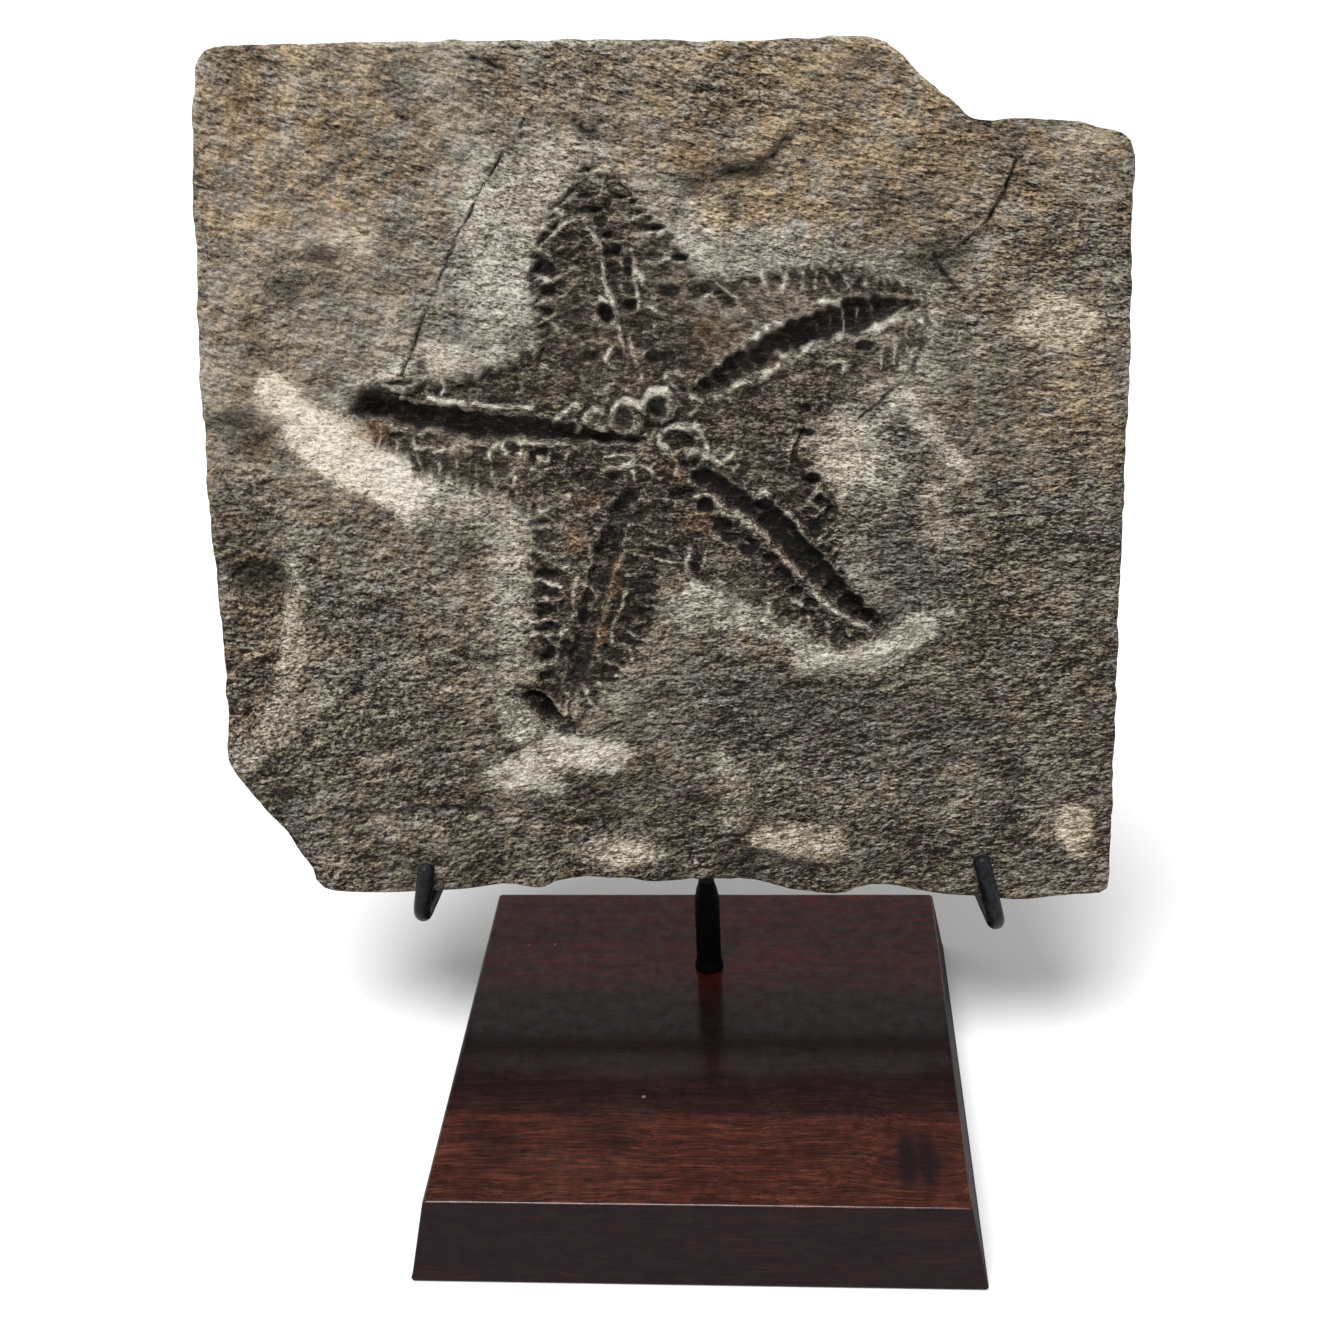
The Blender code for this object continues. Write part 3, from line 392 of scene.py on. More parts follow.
# Thin walls between plates and along the grooves: half width, height, how pale and how rusty
WALLS = tuple(Stroke(*row) for row in (
    # top arm: left margin, the two ridges of the middle row, right wing
    (((-35.2, 140.6), (-33, 140.2), (-31, 139.6)), 0.55, 0.6, 1),
    (((-34.6, 145.4), (-33, 145.2), (-31.8, 144.6)), 0.5, 0.5, 0.9),
    (((-34.6, 151.4), (-33, 151.2), (-31.6, 150.8)), 0.5, 0.5, 0.9),
    (((-33.5, 136.6), (-31, 134.6), (-28, 132.4), (-25, 130.6)), 0.45, 0.5, 0.7),
    (((-32.5, 156), (-30.5, 155.4)), 0.45, 0.4, 0.8),
    (((-29.6, 160.6), (-28.2, 159.8)), 0.55, 0.4, 1),
    (((-19.6, 148.5), (-19.2, 144.5), (-18.4, 141.5), (-17.4, 139.2)), 0.45, 0.7, 1),
    (((-23.6, 158), (-22.6, 155.8), (-21, 153.4), (-20, 152)), 0.55, 0.6, 1),
    (((-20.4, 140.4), (-19.6, 139.6)), 0.6, 0.5, 1),
    (((-13, 151), (-12.8, 147.5), (-12.4, 143), (-12, 138.4)), 0.45, 0.6, 0.9),
    (((-12.6, 146.6), (-11, 144.6)), 0.6, 0.6, 1),
    (((-19.4, 153.2), (-17.6, 152.8)), 0.6, 0.5, 1),
    (((-10, 153), (-7.2, 154.2), (-4.4, 156)), 0.5, 0.6, 0.9),
    (((-9.4, 148), (-6, 148.4), (-3.6, 151.6)), 0.45, 0.4, 0.7),
    (((-9.6, 138.4), (-6, 136.2), (-2, 134.8)), 0.45, 0.4, 0.6),
    (((-30, 147.2), (-27.4, 147.6), (-25, 147.2)), 0.4, 0.4, 0.5),
    (((-29.6, 142.4), (-26.8, 142), (-24.4, 141)), 0.4, 0.4, 0.4),
    (((-18.6, 128.6), (-19.8, 126.4), (-18.2, 124.8)), 0.5, 0.6, 0.8),
    (((-20.2, 120), (-17.8, 120.8), (-15.4, 119.6)), 0.5, 0.5, 0.7),
    (((-14, 131), (-13.4, 127.6), (-12, 124.4), (-11.6, 121.6)), 0.45, 0.6, 0.8, 0.2),
    (((-16.8, 133.8), (-15.8, 130.4), (-15.6, 127.4)), 0.45, 0.5, 0.7),
    (((-6.2, 122), (-4.2, 123.6), (-2, 122.4)), 0.5, 0.5, 0.8),
    # upper right arm: upper lip, lower lip, ribs of the groove, plates above, knob
    (((12.4, 128.4), (14.6, 130.6), (17.2, 132.6), (20, 133.4)), 0.8, 0.9, 1),
    (((28, 138), (30.6, 138.8), (33.4, 138)), 0.6, 0.6, 0.9),
    (((5, 116.8), (8, 118.6), (11, 120.6), (14.4, 121.2), (17, 122.4), (19.4, 124.4)),
     0.7, 0.8, 1),
    (((24.8, 127), (27.4, 128.8), (30.6, 130), (34, 131)), 0.45, 0.7, 1),
    (((40, 131.8), (43, 133.2), (46.4, 135), (50, 137.2)), 0.5, 0.6, 0.9),
    (((34.8, 136.4), (34.8, 134), (34.9, 131.6)), 0.28, 1.6, 0.8),
    (((38, 137), (37.8, 135.2), (37.9, 133.6)), 0.26, 1.3, 0.7),
    (((31.6, 135.4), (31.3, 133.2), (31.5, 131)), 0.24, 1.2, 0.5),
    (((28.8, 133.4), (29.4, 131.6), (30.2, 130.4)), 0.24, 1, 0.4),
    (((41.2, 137.2), (41, 135.6)), 0.24, 1.1, 0.4),
    (((16.6, 145.4), (16.9, 143), (17.2, 141)), 0.6, 0.5, 0.9),
    (((21.6, 145.2), (21.4, 143.2), (20.8, 141.6)), 0.65, 0.6, 1),
    (((25.7, 145), (25.6, 143.2), (25.8, 141.6)), 0.6, 0.6, 1),
    (((28.7, 145), (28.5, 143.4), (28.3, 141.8)), 0.4, 0.5, 0.9),
    (((31.3, 144.8), (31.2, 143.2), (31, 142)), 0.45, 0.5, 0.9),
    (((35, 144.6), (36.6, 143)), 0.5, 0.4, 0.7),
    (((42, 131), (43.6, 133), (46.6, 134.8), (50.4, 135), (52.8, 133.4)), 0.6, 0.7, 0.9),
    (((31, 124.4), (33, 125.6), (35, 124.6), (34.8, 122.6)), 0.5, 0.5, 0.8),
    (((18, 126), (20.4, 126.8), (22.4, 125.6)), 0.5, 0.5, 0.7),
    # lower right arm: ridge between the two rows, walls of the pits, teeth of the margin
    (((4.2, 93.2), (7.6, 91), (11.4, 88.6), (14.2, 86.6), (17, 84)), 0.75, 0.9, 0.9, 0.2),
    (((18.6, 81.6), (20.6, 79.2), (22.8, 77.4), (24.8, 75.4)), 0.65, 0.8, 0.8, 0.5),
    (((27.4, 71.4), (29.4, 69.4), (32, 67.2), (35.4, 65.2), (38.6, 63.2), (41, 62.2)),
     0.5, 0.8, 1),
    (((13.6, 93.2), (15.4, 94.2), (17.2, 93.8)), 0.55, 0.9, 1),
    (((-0.4, 93.2), (1.6, 94.8), (4.2, 93.6)), 0.55, 0.7, 0.9, 0.1),
    (((3.4, 89.6), (5.6, 90.4), (8.4, 89.6)), 0.45, 0.5, 0.7),
    (((21.4, 90), (23.2, 88), (24.8, 85.4), (26.8, 83.4)), 0.5, 0.7, 0.8),
    (((28, 82.2), (29.6, 83.6), (31.6, 82.8)), 0.4, 0.5, 0.7),
    (((29, 87.6), (31.2, 86), (33.2, 86.8)), 0.45, 0.5, 0.7),
    (((26, 93), (28.4, 91.6), (30, 90.6)), 0.45, 0.5, 0.7),
    (((29.6, 95.4), (31.6, 93.4), (33.8, 93.6)), 0.45, 0.4, 0.7),
    (((17, 68.6), (17.4, 66.6)), 0.8, 0.6, 1),
    (((4.8, 74.6), (5, 72.2)), 0.6, 0.5, 0.8),
    (((8.6, 74), (10, 71.4), (10.6, 69.6)), 0.6, 0.5, 0.9),
    (((13, 71), (14, 69.2)), 0.5, 0.4, 0.8),
    (((20, 71.6), (22.6, 69.8), (24.8, 68.4)), 0.45, 0.6, 0.9),
    (((26.2, 65.4), (26.6, 63)), 0.35, 0.4, 0.7),
    (((30.6, 64), (31.4, 61.4)), 0.4, 0.4, 0.7),
    (((35.2, 63.2), (36, 60.8)), 0.4, 0.4, 0.7),
    (((-6.2, 82.4), (-5, 81.4), (-4, 80.4)), 0.5, 0.6, 1),
    (((-1.4, 82.6), (-1.8, 80), (-2.2, 77.6)), 0.5, 0.5, 0.8),
    (((2.2, 81.6), (2.2, 79)), 0.4, 0.4, 0.6),
    (((10.2, 83.6), (12, 82.6)), 0.45, 0.6, 0.9),
    (((22.6, 84.4), (21.6, 85.2)), 0.4, 0.5, 0.5),
    # bottom arm: left plates, the two lines of the middle, right plates
    (((-40, 87.8), (-37.4, 87.4), (-34.6, 87.8)), 0.45, 0.5, 0.7),
    (((-39.4, 83), (-37, 82.4), (-34.4, 81), (-31.2, 80.6)), 0.45, 0.6, 0.8),
    (((-34.4, 78.4), (-32, 77.8), (-30, 78.4)), 0.45, 0.6, 0.9),
    (((-39.4, 75.4), (-36.6, 75), (-33.6, 74), (-30.6, 72.8)), 0.4, 0.7, 1),
    (((-39.8, 70.8), (-37.8, 70.8), (-35.6, 70.4)), 0.5, 0.6, 1),
    (((-39.8, 66), (-38, 65.8), (-36.2, 65.4)), 0.5, 0.6, 0.9),
    (((-39.6, 62.4), (-37.6, 62.2), (-35, 62)), 0.5, 0.6, 0.9),
    (((-39, 59.6), (-36.6, 59.2)), 0.4, 0.5, 0.7),
    (((-39.4, 54.6), (-37.6, 54.4), (-35.6, 54.8)), 0.6, 0.6, 0.9),
    (((-28.4, 75.4), (-29, 73), (-29.6, 70)), 0.6, 0.7, 0.8, 0.3),
    (((-30, 65.6), (-31.4, 64.2), (-32.8, 61.6)), 0.65, 0.7, 0.9, 0.1),
    (((-33.6, 59.6), (-34.2, 56.4), (-34.6, 53)), 0.45, 0.5, 0.6),
    (((-27.6, 74.2), (-25.8, 73.2), (-24.6, 71.4), (-24, 69.6)), 0.32, 0.6, 0.9),
    (((-17.4, 80.2), (-19.2, 77.2), (-20.4, 73.6), (-21, 70.2), (-22, 67.6)), 0.65, 0.8, 0.6, 0.7),
    (((-22.4, 66.6), (-23.6, 63.6), (-24.2, 60.2), (-24.8, 57)), 0.6, 0.7, 0.6, 0.6),
    (((-16.8, 72), (-18.4, 67.4), (-20.2, 64), (-20.4, 59.4)), 0.45, 0.7, 0.9, 0.1),
    (((-19.4, 63.8), (-17.6, 63), (-15.4, 61.4)), 0.4, 0.6, 0.9),
    (((-18.6, 59.2), (-16.8, 58.4), (-15.6, 56), (-17.2, 54.6)), 0.38, 0.6, 0.8),
    (((-24.2, 56.2), (-21.8, 55.2), (-19.8, 54)), 0.4, 0.5, 0.8, 0.1),
    (((-16.6, 76), (-14, 75.4), (-11.2, 74.2)), 0.4, 0.4, 0.5),
    (((-14.4, 70.6), (-12.2, 70), (-9.8, 68.4)), 0.4, 0.5, 0.7),
    (((-16.4, 84.6), (-14, 83.2), (-11.6, 83.4)), 0.4, 0.4, 0.5),
    (((-32.4, 48), (-31.4, 45.4), (-30.4, 43)), 0.45, 0.5, 0.5),
    (((-27.6, 48.4), (-26.6, 44.6)), 0.45, 0.5, 0.7),
    (((-37.4, 53.6), (-34.8, 53)), 0.4, 0.5, 0.7),
    (((-36.8, 50.4), (-34.4, 49.4)), 0.4, 0.5, 0.7),
    (((-33.2, 50.6), (-32.2, 45.8), (-32.6, 41.8)), 0.45, 0.5, 0.7),
    (((-29.8, 46.4), (-30, 42.2)), 0.45, 0.5, 0.7, 0.2),
    (((-24.8, 49.6), (-22.4, 47.8)), 0.4, 0.5, 0.7),
    (((-26.4, 45.2), (-24.6, 43.6)), 0.4, 0.5, 0.7),
    (((-22.8, 92.4), (-24.6, 90), (-23.8, 87.6), (-21.4, 86.6)), 0.45, 0.5, 0.7),
    (((-38, 90.4), (-34, 92.6), (-29.8, 94.8)), 0.7, 0.5, 0.6),
    # left arm: upper lip, lower lip, network of the lower wing
    (((-61.4, 118.8), (-57.6, 117.6), (-53.6, 117.6), (-49.6, 117), (-45, 115.8)), 0.6, 0.8, 1),
    (((-45, 115.8), (-41, 116.2), (-37.4, 116)), 0.6, 0.7, 0.9),
    (((-57.8, 122.2), (-57.9, 119.8)), 0.45, 0.5, 1),
    (((-40.2, 108.4), (-37, 107.4), (-33.6, 107.8), (-30.2, 107)), 0.5, 0.7, 0.9),
    (((-31.4, 102.8), (-29.6, 104.8), (-27.6, 106.4)), 0.5, 0.6, 0.9),
    (((-47.8, 104.6), (-47.4, 106.4), (-46, 107.4)), 0.45, 0.6, 1),
    (((-44.2, 108.8), (-44.8, 107), (-43.8, 105.6)), 0.45, 0.5, 0.8),
    (((-41.4, 108.6), (-40.4, 106.8), (-40.6, 105)), 0.45, 0.5, 0.7),
    (((-61.6, 107.4), (-59.8, 106), (-58.4, 106.8)), 0.5, 0.5, 0.9),
    (((-65.8, 108.4), (-64.2, 106.8), (-62.4, 107.2)), 0.45, 0.4, 0.7),
    (((-57, 106.8), (-54.6, 107.6), (-52.2, 106.2)), 0.45, 0.4, 0.7, 0.1),
    (((-50.8, 99.4), (-51.4, 97.2), (-49.6, 95.8), (-47.6, 97)), 0.4, 0.4, 0.8),
    (((-42.2, 99.8), (-42.8, 97.4), (-44.6, 95.6)), 0.45, 0.5, 0.9),
    (((-36.8, 104.2), (-35, 103.2), (-33.4, 104.4)), 0.45, 0.5, 0.8),
    (((-38, 101.6), (-35.6, 100.8), (-33, 102), (-31.4, 101.2)), 0.45, 0.5, 0.8),
    (((-33, 112.4), (-30.6, 114.2), (-27.6, 116), (-25.8, 115.2)), 0.6, 0.8, 1),
    (((-27.6, 112.6), (-26.8, 110.8), (-27.8, 109.8)), 0.45, 0.6, 0.8),
    (((-34.6, 126.2), (-33.2, 124.8), (-32.2, 123.8)), 0.35, 0.4, 0.8),
    (((-39.6, 126), (-39.2, 123.6)), 0.3, 0.3, 0.7),
    (((-76.6, 122.8), (-72.4, 124.6), (-68.2, 124.8)), 0.7, 0.5, 0.8),
    # mouth: arcs of the ring ossicles
    (((-19.2, 113), (-18.8, 115.4), (-16.8, 117.2), (-14.2, 117.2), (-12.2, 115.4)), 0.55, 0.8, 1),
    (((-18.8, 112), (-18, 110), (-16.2, 108.8)), 0.55, 0.7, 0.9),
    (((-11.6, 116.2), (-10.4, 118.6), (-8, 119.4), (-5.6, 118.8), (-4.6, 117.6)), 0.6, 0.9, 1),
    (((-6.2, 110.8), (-3.6, 110.2), (-1.2, 111.2), (-0.4, 113.6)), 0.5, 0.7, 0.9),
    (((-1.6, 111), (0.6, 110.6), (2.4, 108.2), (3.6, 105.2)), 0.6, 1, 1),
    (((-1.2, 104.8), (1, 105.2), (2.8, 103.8), (5, 102.4)), 0.55, 0.9, 1),
    (((3.8, 104.2), (6, 101.8), (8.6, 103.6), (9.4, 105.2)), 0.6, 0.8, 0.9),
    (((-8.2, 108.6), (-7.6, 106.8), (-6.4, 106)), 0.6, 0.7, 1),
    (((-25.2, 114), (-23, 112.6), (-21, 111), (-19.4, 111.6)), 0.6, 0.7, 0.9),
    (((-21.2, 101), (-17.6, 101.8), (-14, 102), (-11, 101), (-8.2, 98.6)), 0.55, 0.7, 0.9),
    (((-14.6, 100.8), (-13.8, 98.4)), 0.45, 0.5, 0.8),
    (((-20.4, 104), (-17, 104.6), (-14.2, 104)), 0.4, 0.4, 0.7),
    (((-5.2, 103.8), (-3.8, 101.8), (-4.6, 99.6)), 0.45, 0.5, 0.6, 0.3),
    (((-4.6, 120.2), (-2.6, 118), (0.4, 117.6), (3, 116.2)), 0.5, 0.6, 0.8),
    # crumbly lines of the open ground
    (((39.4, 108.8), (42.6, 111.2), (45.6, 114.6), (48.6, 117.2)), 0.55, 0.5, 0.8),
    (((52, 115), (56, 108.4), (59.4, 103.4), (62.2, 99.6)), 0.6, 0.4, 0.6, 0.2),
    (((-97.4, 66), (-97.8, 71), (-96.2, 76), (-95.6, 80.4)), 0.5, 0.5, 0.8),
))

# Deep blocks of the grooves and dark hollows between plates: half sizes and depth
BLOCKS = tuple(Pit(*numbers) for numbers in (
    (-17.6, 151.4, 2, 1.5, 1.7), (-18.6, 154.4, 1.2, 0.9, 1.1), (-13.8, 147.6, 1.2, 2.3, 1.2),
    (-17.4, 147, 1.7, 1.7, 0.9), (-13.2, 142.4, 2, 1.7, 1), (-13.8, 138.7, 1.7, 1.6, 1.5),
    (-17.6, 142.4, 1.3, 1.7, 0.7), (-19.6, 136.9, 1.3, 1.9, 1.6), (-22.4, 160.2, 2.8, 0.8, 1),
    (-22.8, 163.2, 2.4, 0.7, 0.8), (-18.2, 161.6, 1.4, 1.1, 0.8), (-19.6, 157.6, 1.4, 1.3, 0.9),
    (-33, 147.6, 2.4, 1.5, 0.9), (-32.4, 142.6, 1.9, 1.5, 0.9), (-33, 138, 1.8, 1.1, 0.7),
    (-28, 150.6, 2.8, 1.1, 0.6), (-27, 154.4, 2.6, 1.1, 0.6), (-27.6, 137, 3.2, 1.6, 0.5),
    (-8.6, 156, 2.8, 0.9, 0.7), (-8, 149.6, 2.6, 0.9, 0.7), (-2, 149.2, 1.9, 1, 0.8),
    (1.2, 146.6, 2.2, 1.2, 0.4), (-4.6, 141.6, 2.4, 1.8, 0.7),
    (-16.6, 127.8, 1.5, 1.7, 0.7), (-12.4, 133.4, 1.6, 1.4, 0.7), (-9, 126.8, 1.8, 2, 0.9),
    (-5.8, 127, 2.4, 1.2, 0.8), (-23.4, 127.4, 2.6, 1.2, 0.7), (-3.4, 119.4, 2.6, 0.7, 0.8),
    (18.9, 143.3, 1.6, 2.2, 0.34), (23.8, 143.6, 1.5, 2.4, 0.4), (28.4, 143.8, 1.2, 2.4, 0.42),
    (33.2, 143.4, 1.8, 1.9, 0.34), (39.6, 128.5, 2.2, 1.2, 1.2), (50.6, 128.9, 3, 1, 0.6),
    (44.4, 137.9, 2.4, 1.4, 1), (37, 138.2, 2.6, 1.2, 0.9),
    (26, 109.2, 1.9, 0.9, 1.1), (26, 114.6, 1.7, 1.2, 0.8), (14.8, 126.6, 2, 1.6, 0.9),
    (24.6, 129.6, 2.4, 1.6, 0.8), (7.6, 121.2, 2.2, 1.5, 0.7), (20, 122.4, 1.8, 1.3, 0.5),
    (34.5, 122.6, 4.4, 2.2, 0.4), (14, 118.4, 1.7, 1.5, 0.6),
    (2.4, 98.6, 3.4, 1.8, 1.1), (7.6, 95.6, 2, 1.8, 1.1), (11.8, 92.1, 1.9, 1.8, 1.6),
    (16.3, 92.3, 1.8, 1.6, 1.7), (17.2, 88.2, 2.4, 2, 1.4), (22, 83.4, 2.3, 2, 1.2),
    (25.7, 80.8, 2.2, 1.8, 1.2), (28.2, 76.6, 2.2, 2, 1.1), (33, 73.2, 2.6, 2.2, 1),
    (37.2, 69.2, 2.4, 2, 1), (41, 65.4, 2.1, 1.7, 1.2),
    (2.5, 92, 2.1, 1.8, 1.6), (6, 87.6, 2.3, 1.9, 1.5), (8.4, 84.6, 2.3, 1.1, 1.2),
    (12.6, 82.2, 2.4, 2, 1.3), (17.6, 79.4, 2.4, 1.3, 1.1), (20.2, 75.6, 2.2, 1.4, 1.3),
    (23.4, 71.6, 1.6, 1.2, 1.3), (26.8, 69, 1.7, 1.1, 1.1), (26, 66.2, 1.8, 0.9, 0.9),
    (29.8, 62.6, 1.4, 1, 0.6), (33.6, 61.6, 1.4, 1, 0.6), (-0.4, 77.8, 1.5, 1.3, 1),
    (27.6, 98.5, 1.7, 1.3, 1.3), (26, 102, 1.7, 1, 0.8), (30.4, 93.9, 2.2, 1, 1),
    (32, 91.2, 1.5, 1.1, 1), (27.8, 87.2, 1.7, 1.9, 0.9), (38, 104.3, 2.4, 0.7, 0.9),
    (52, 72.1, 1.6, 1, 0.9), (45.4, 70, 1.8, 1.2, 0.6),
    (-17.6, 91.9, 1.8, 1.7, 1.6), (-14.4, 89.2, 2.7, 1.2, 0.8), (-22.2, 58.8, 0.9, 0.7, 1),
    (-37, 89, 2.8, 1.2, 0.5), (-36, 85.2, 3, 1.4, 0.5), (-35.4, 76.4, 3.4, 1.3, 0.8),
    (-36, 72.4, 3.2, 1.3, 0.8), (-36.2, 68.2, 3, 1.5, 0.8), (-36.6, 64, 2.6, 1, 0.8),
    (-36.4, 57.4, 2.8, 1.8, 0.7), (-36.4, 51.6, 2.2, 1.5, 0.7), (-31.6, 68.4, 1.7, 2, 0.6),
    (-31, 58.4, 1.9, 2.2, 0.6), (-27.4, 67, 1.5, 3.4, 0.8), (-28.6, 53, 1.8, 2.8, 0.6),
    (-12.6, 72.4, 2.4, 1.5, 0.5), (-12, 67.2, 2.2, 1.2, 0.6), (-16.8, 65, 1.4, 1, 0.7),
    (-17, 60.6, 1.6, 1.2, 0.6), (-19.8, 56.6, 1.8, 1.1, 0.6), (-22, 51.6, 1.6, 1.4, 0.6),
    (-40.4, 47.2, 2.4, 0.8, 1.2), (-36.6, 43.4, 1.8, 2.2, 1), (-32.2, 38.2, 2.6, 1.4, 1.2),
    (-58, 120.2, 2.6, 1.6, 0.4), (-43, 107.2, 1.4, 1.1, 0.8), (-35.6, 105.6, 1.6, 1, 0.9),
    (-32.6, 104.2, 1.2, 1, 0.8), (-37.8, 104.6, 1.2, 1.2, 0.8), (-49.6, 106.2, 1.6, 1, 0.6),
    (-59, 104.8, 1.8, 1.4, 0.5), (-63.6, 105.6, 1.6, 1.4, 0.4), (-54.2, 101.4, 1.8, 1.2, 0.4),
    (-45.2, 101.6, 1.8, 1.8, 0.5), (-49.2, 97.6, 1.6, 1.3, 0.5), (-69.6, 110.2, 1.8, 0.7, 0.8),
    (-26, 99.2, 3.4, 1.4, 0.7), (-33, 99.4, 2.6, 1.1, 0.6), (-67.6, 122.4, 3, 0.6, 0.8),
    (-62.6, 126.4, 1.9, 0.8, 0.9), (-7.6, 99, 3, 1.4, 0.7), (-16.4, 113.4, 2.4, 2.4, 0.7),
    (-8.2, 115.4, 2.4, 2.6, 0.9), (-19, 99.6, 2.2, 1, 0.8), (3.4, 106.8, 1, 1.2, 0.5),
))

# Cracks and thin dark lines: half width and depth
CRACKS = tuple(Stroke(line, width, -depth) for line, width, depth in (
    (((-34, 182.4), (-40, 174.4), (-46.2, 165.6), (-50.4, 158.6), (-54, 152.2), (-58, 143.6), (-60.8, 138),
      (-64.4, 130), (-67.6, 124)), 0.26, 1),
    (((-48, 193.5), (-44, 192.4), (-40, 190.6)), 0.5, 1.2),
    (((72.4, 168), (69.6, 161), (66, 155), (60, 150), (53, 146)), 0.3, 1.2),
    (((55, 148.6), (57.6, 143.4), (60.2, 140.4)), 0.6, 0.8),
    (((53, 140), (53, 132), (50.6, 125), (47, 120), (42.6, 116), (38, 112)), 0.34, 0.7),
    (((-90, 18), (-78, 17.4), (-66, 18.6), (-52, 17.2)), 0.55, 0.8),
    (((45, 5), (52, 6), (60, 7)), 0.45, 0.8),
    (((-15.2, 165.6), (-12.8, 163.4), (-11.2, 160.6)), 0.36, 0.9),
    (((-24.8, 179.4), (-22.6, 177.4), (-19.8, 176.8)), 0.6, 1),
    (((9, 167.6), (14, 168.4), (18, 170.2), (22.4, 174.6)), 0.6, 1.2),
    (((-84, 167), (-77, 172.6), (-70, 176.4), (-62, 180.6), (-52, 186)), 0.34, 0.5),
    (((-28, 23.8), (-24.4, 20.4), (-24.6, 15.6), (-28.8, 13.6)), 0.4, 0.6),
    (((-40.6, 20), (-37.6, 15.6), (-33, 14), (-28.8, 14.4)), 0.4, 0.6),
    (((22.8, 196), (24.6, 191.4), (24, 188.2)), 0.34, 0.6),
    (((37, 192), (38.6, 190.2), (40.6, 190.8)), 0.6, 0.8),
    (((64, 153.4), (70, 153), (77, 155)), 0.34, 0.5),
    (((-110, 172), (-106, 169.4), (-100.6, 167.6)), 0.4, 0.6),
    (((-60, 83), (-52, 84.6), (-45, 88)), 0.4, 0.5),
    (((24, 128), (26.6, 129.4), (29, 130.2)), 0.3, 0.5),
    (((13.4, 119.6), (15.6, 120), (18, 121.2)), 0.36, 0.7),
))


def band(tint: Tint, line: tuple[Pair, ...], half_width: float, amount: float) -> Patch:
    """Return a patch along a line."""
    return Patch(tint, line, (half_width, half_width), amount)


def spot(tint: Tint, u: float, v: float, half_u: float, half_v: float, amount: float) -> Patch:
    """Return a patch of one ellipse."""
    return Patch(tint, ((u, v),), (half_u, half_v), amount)


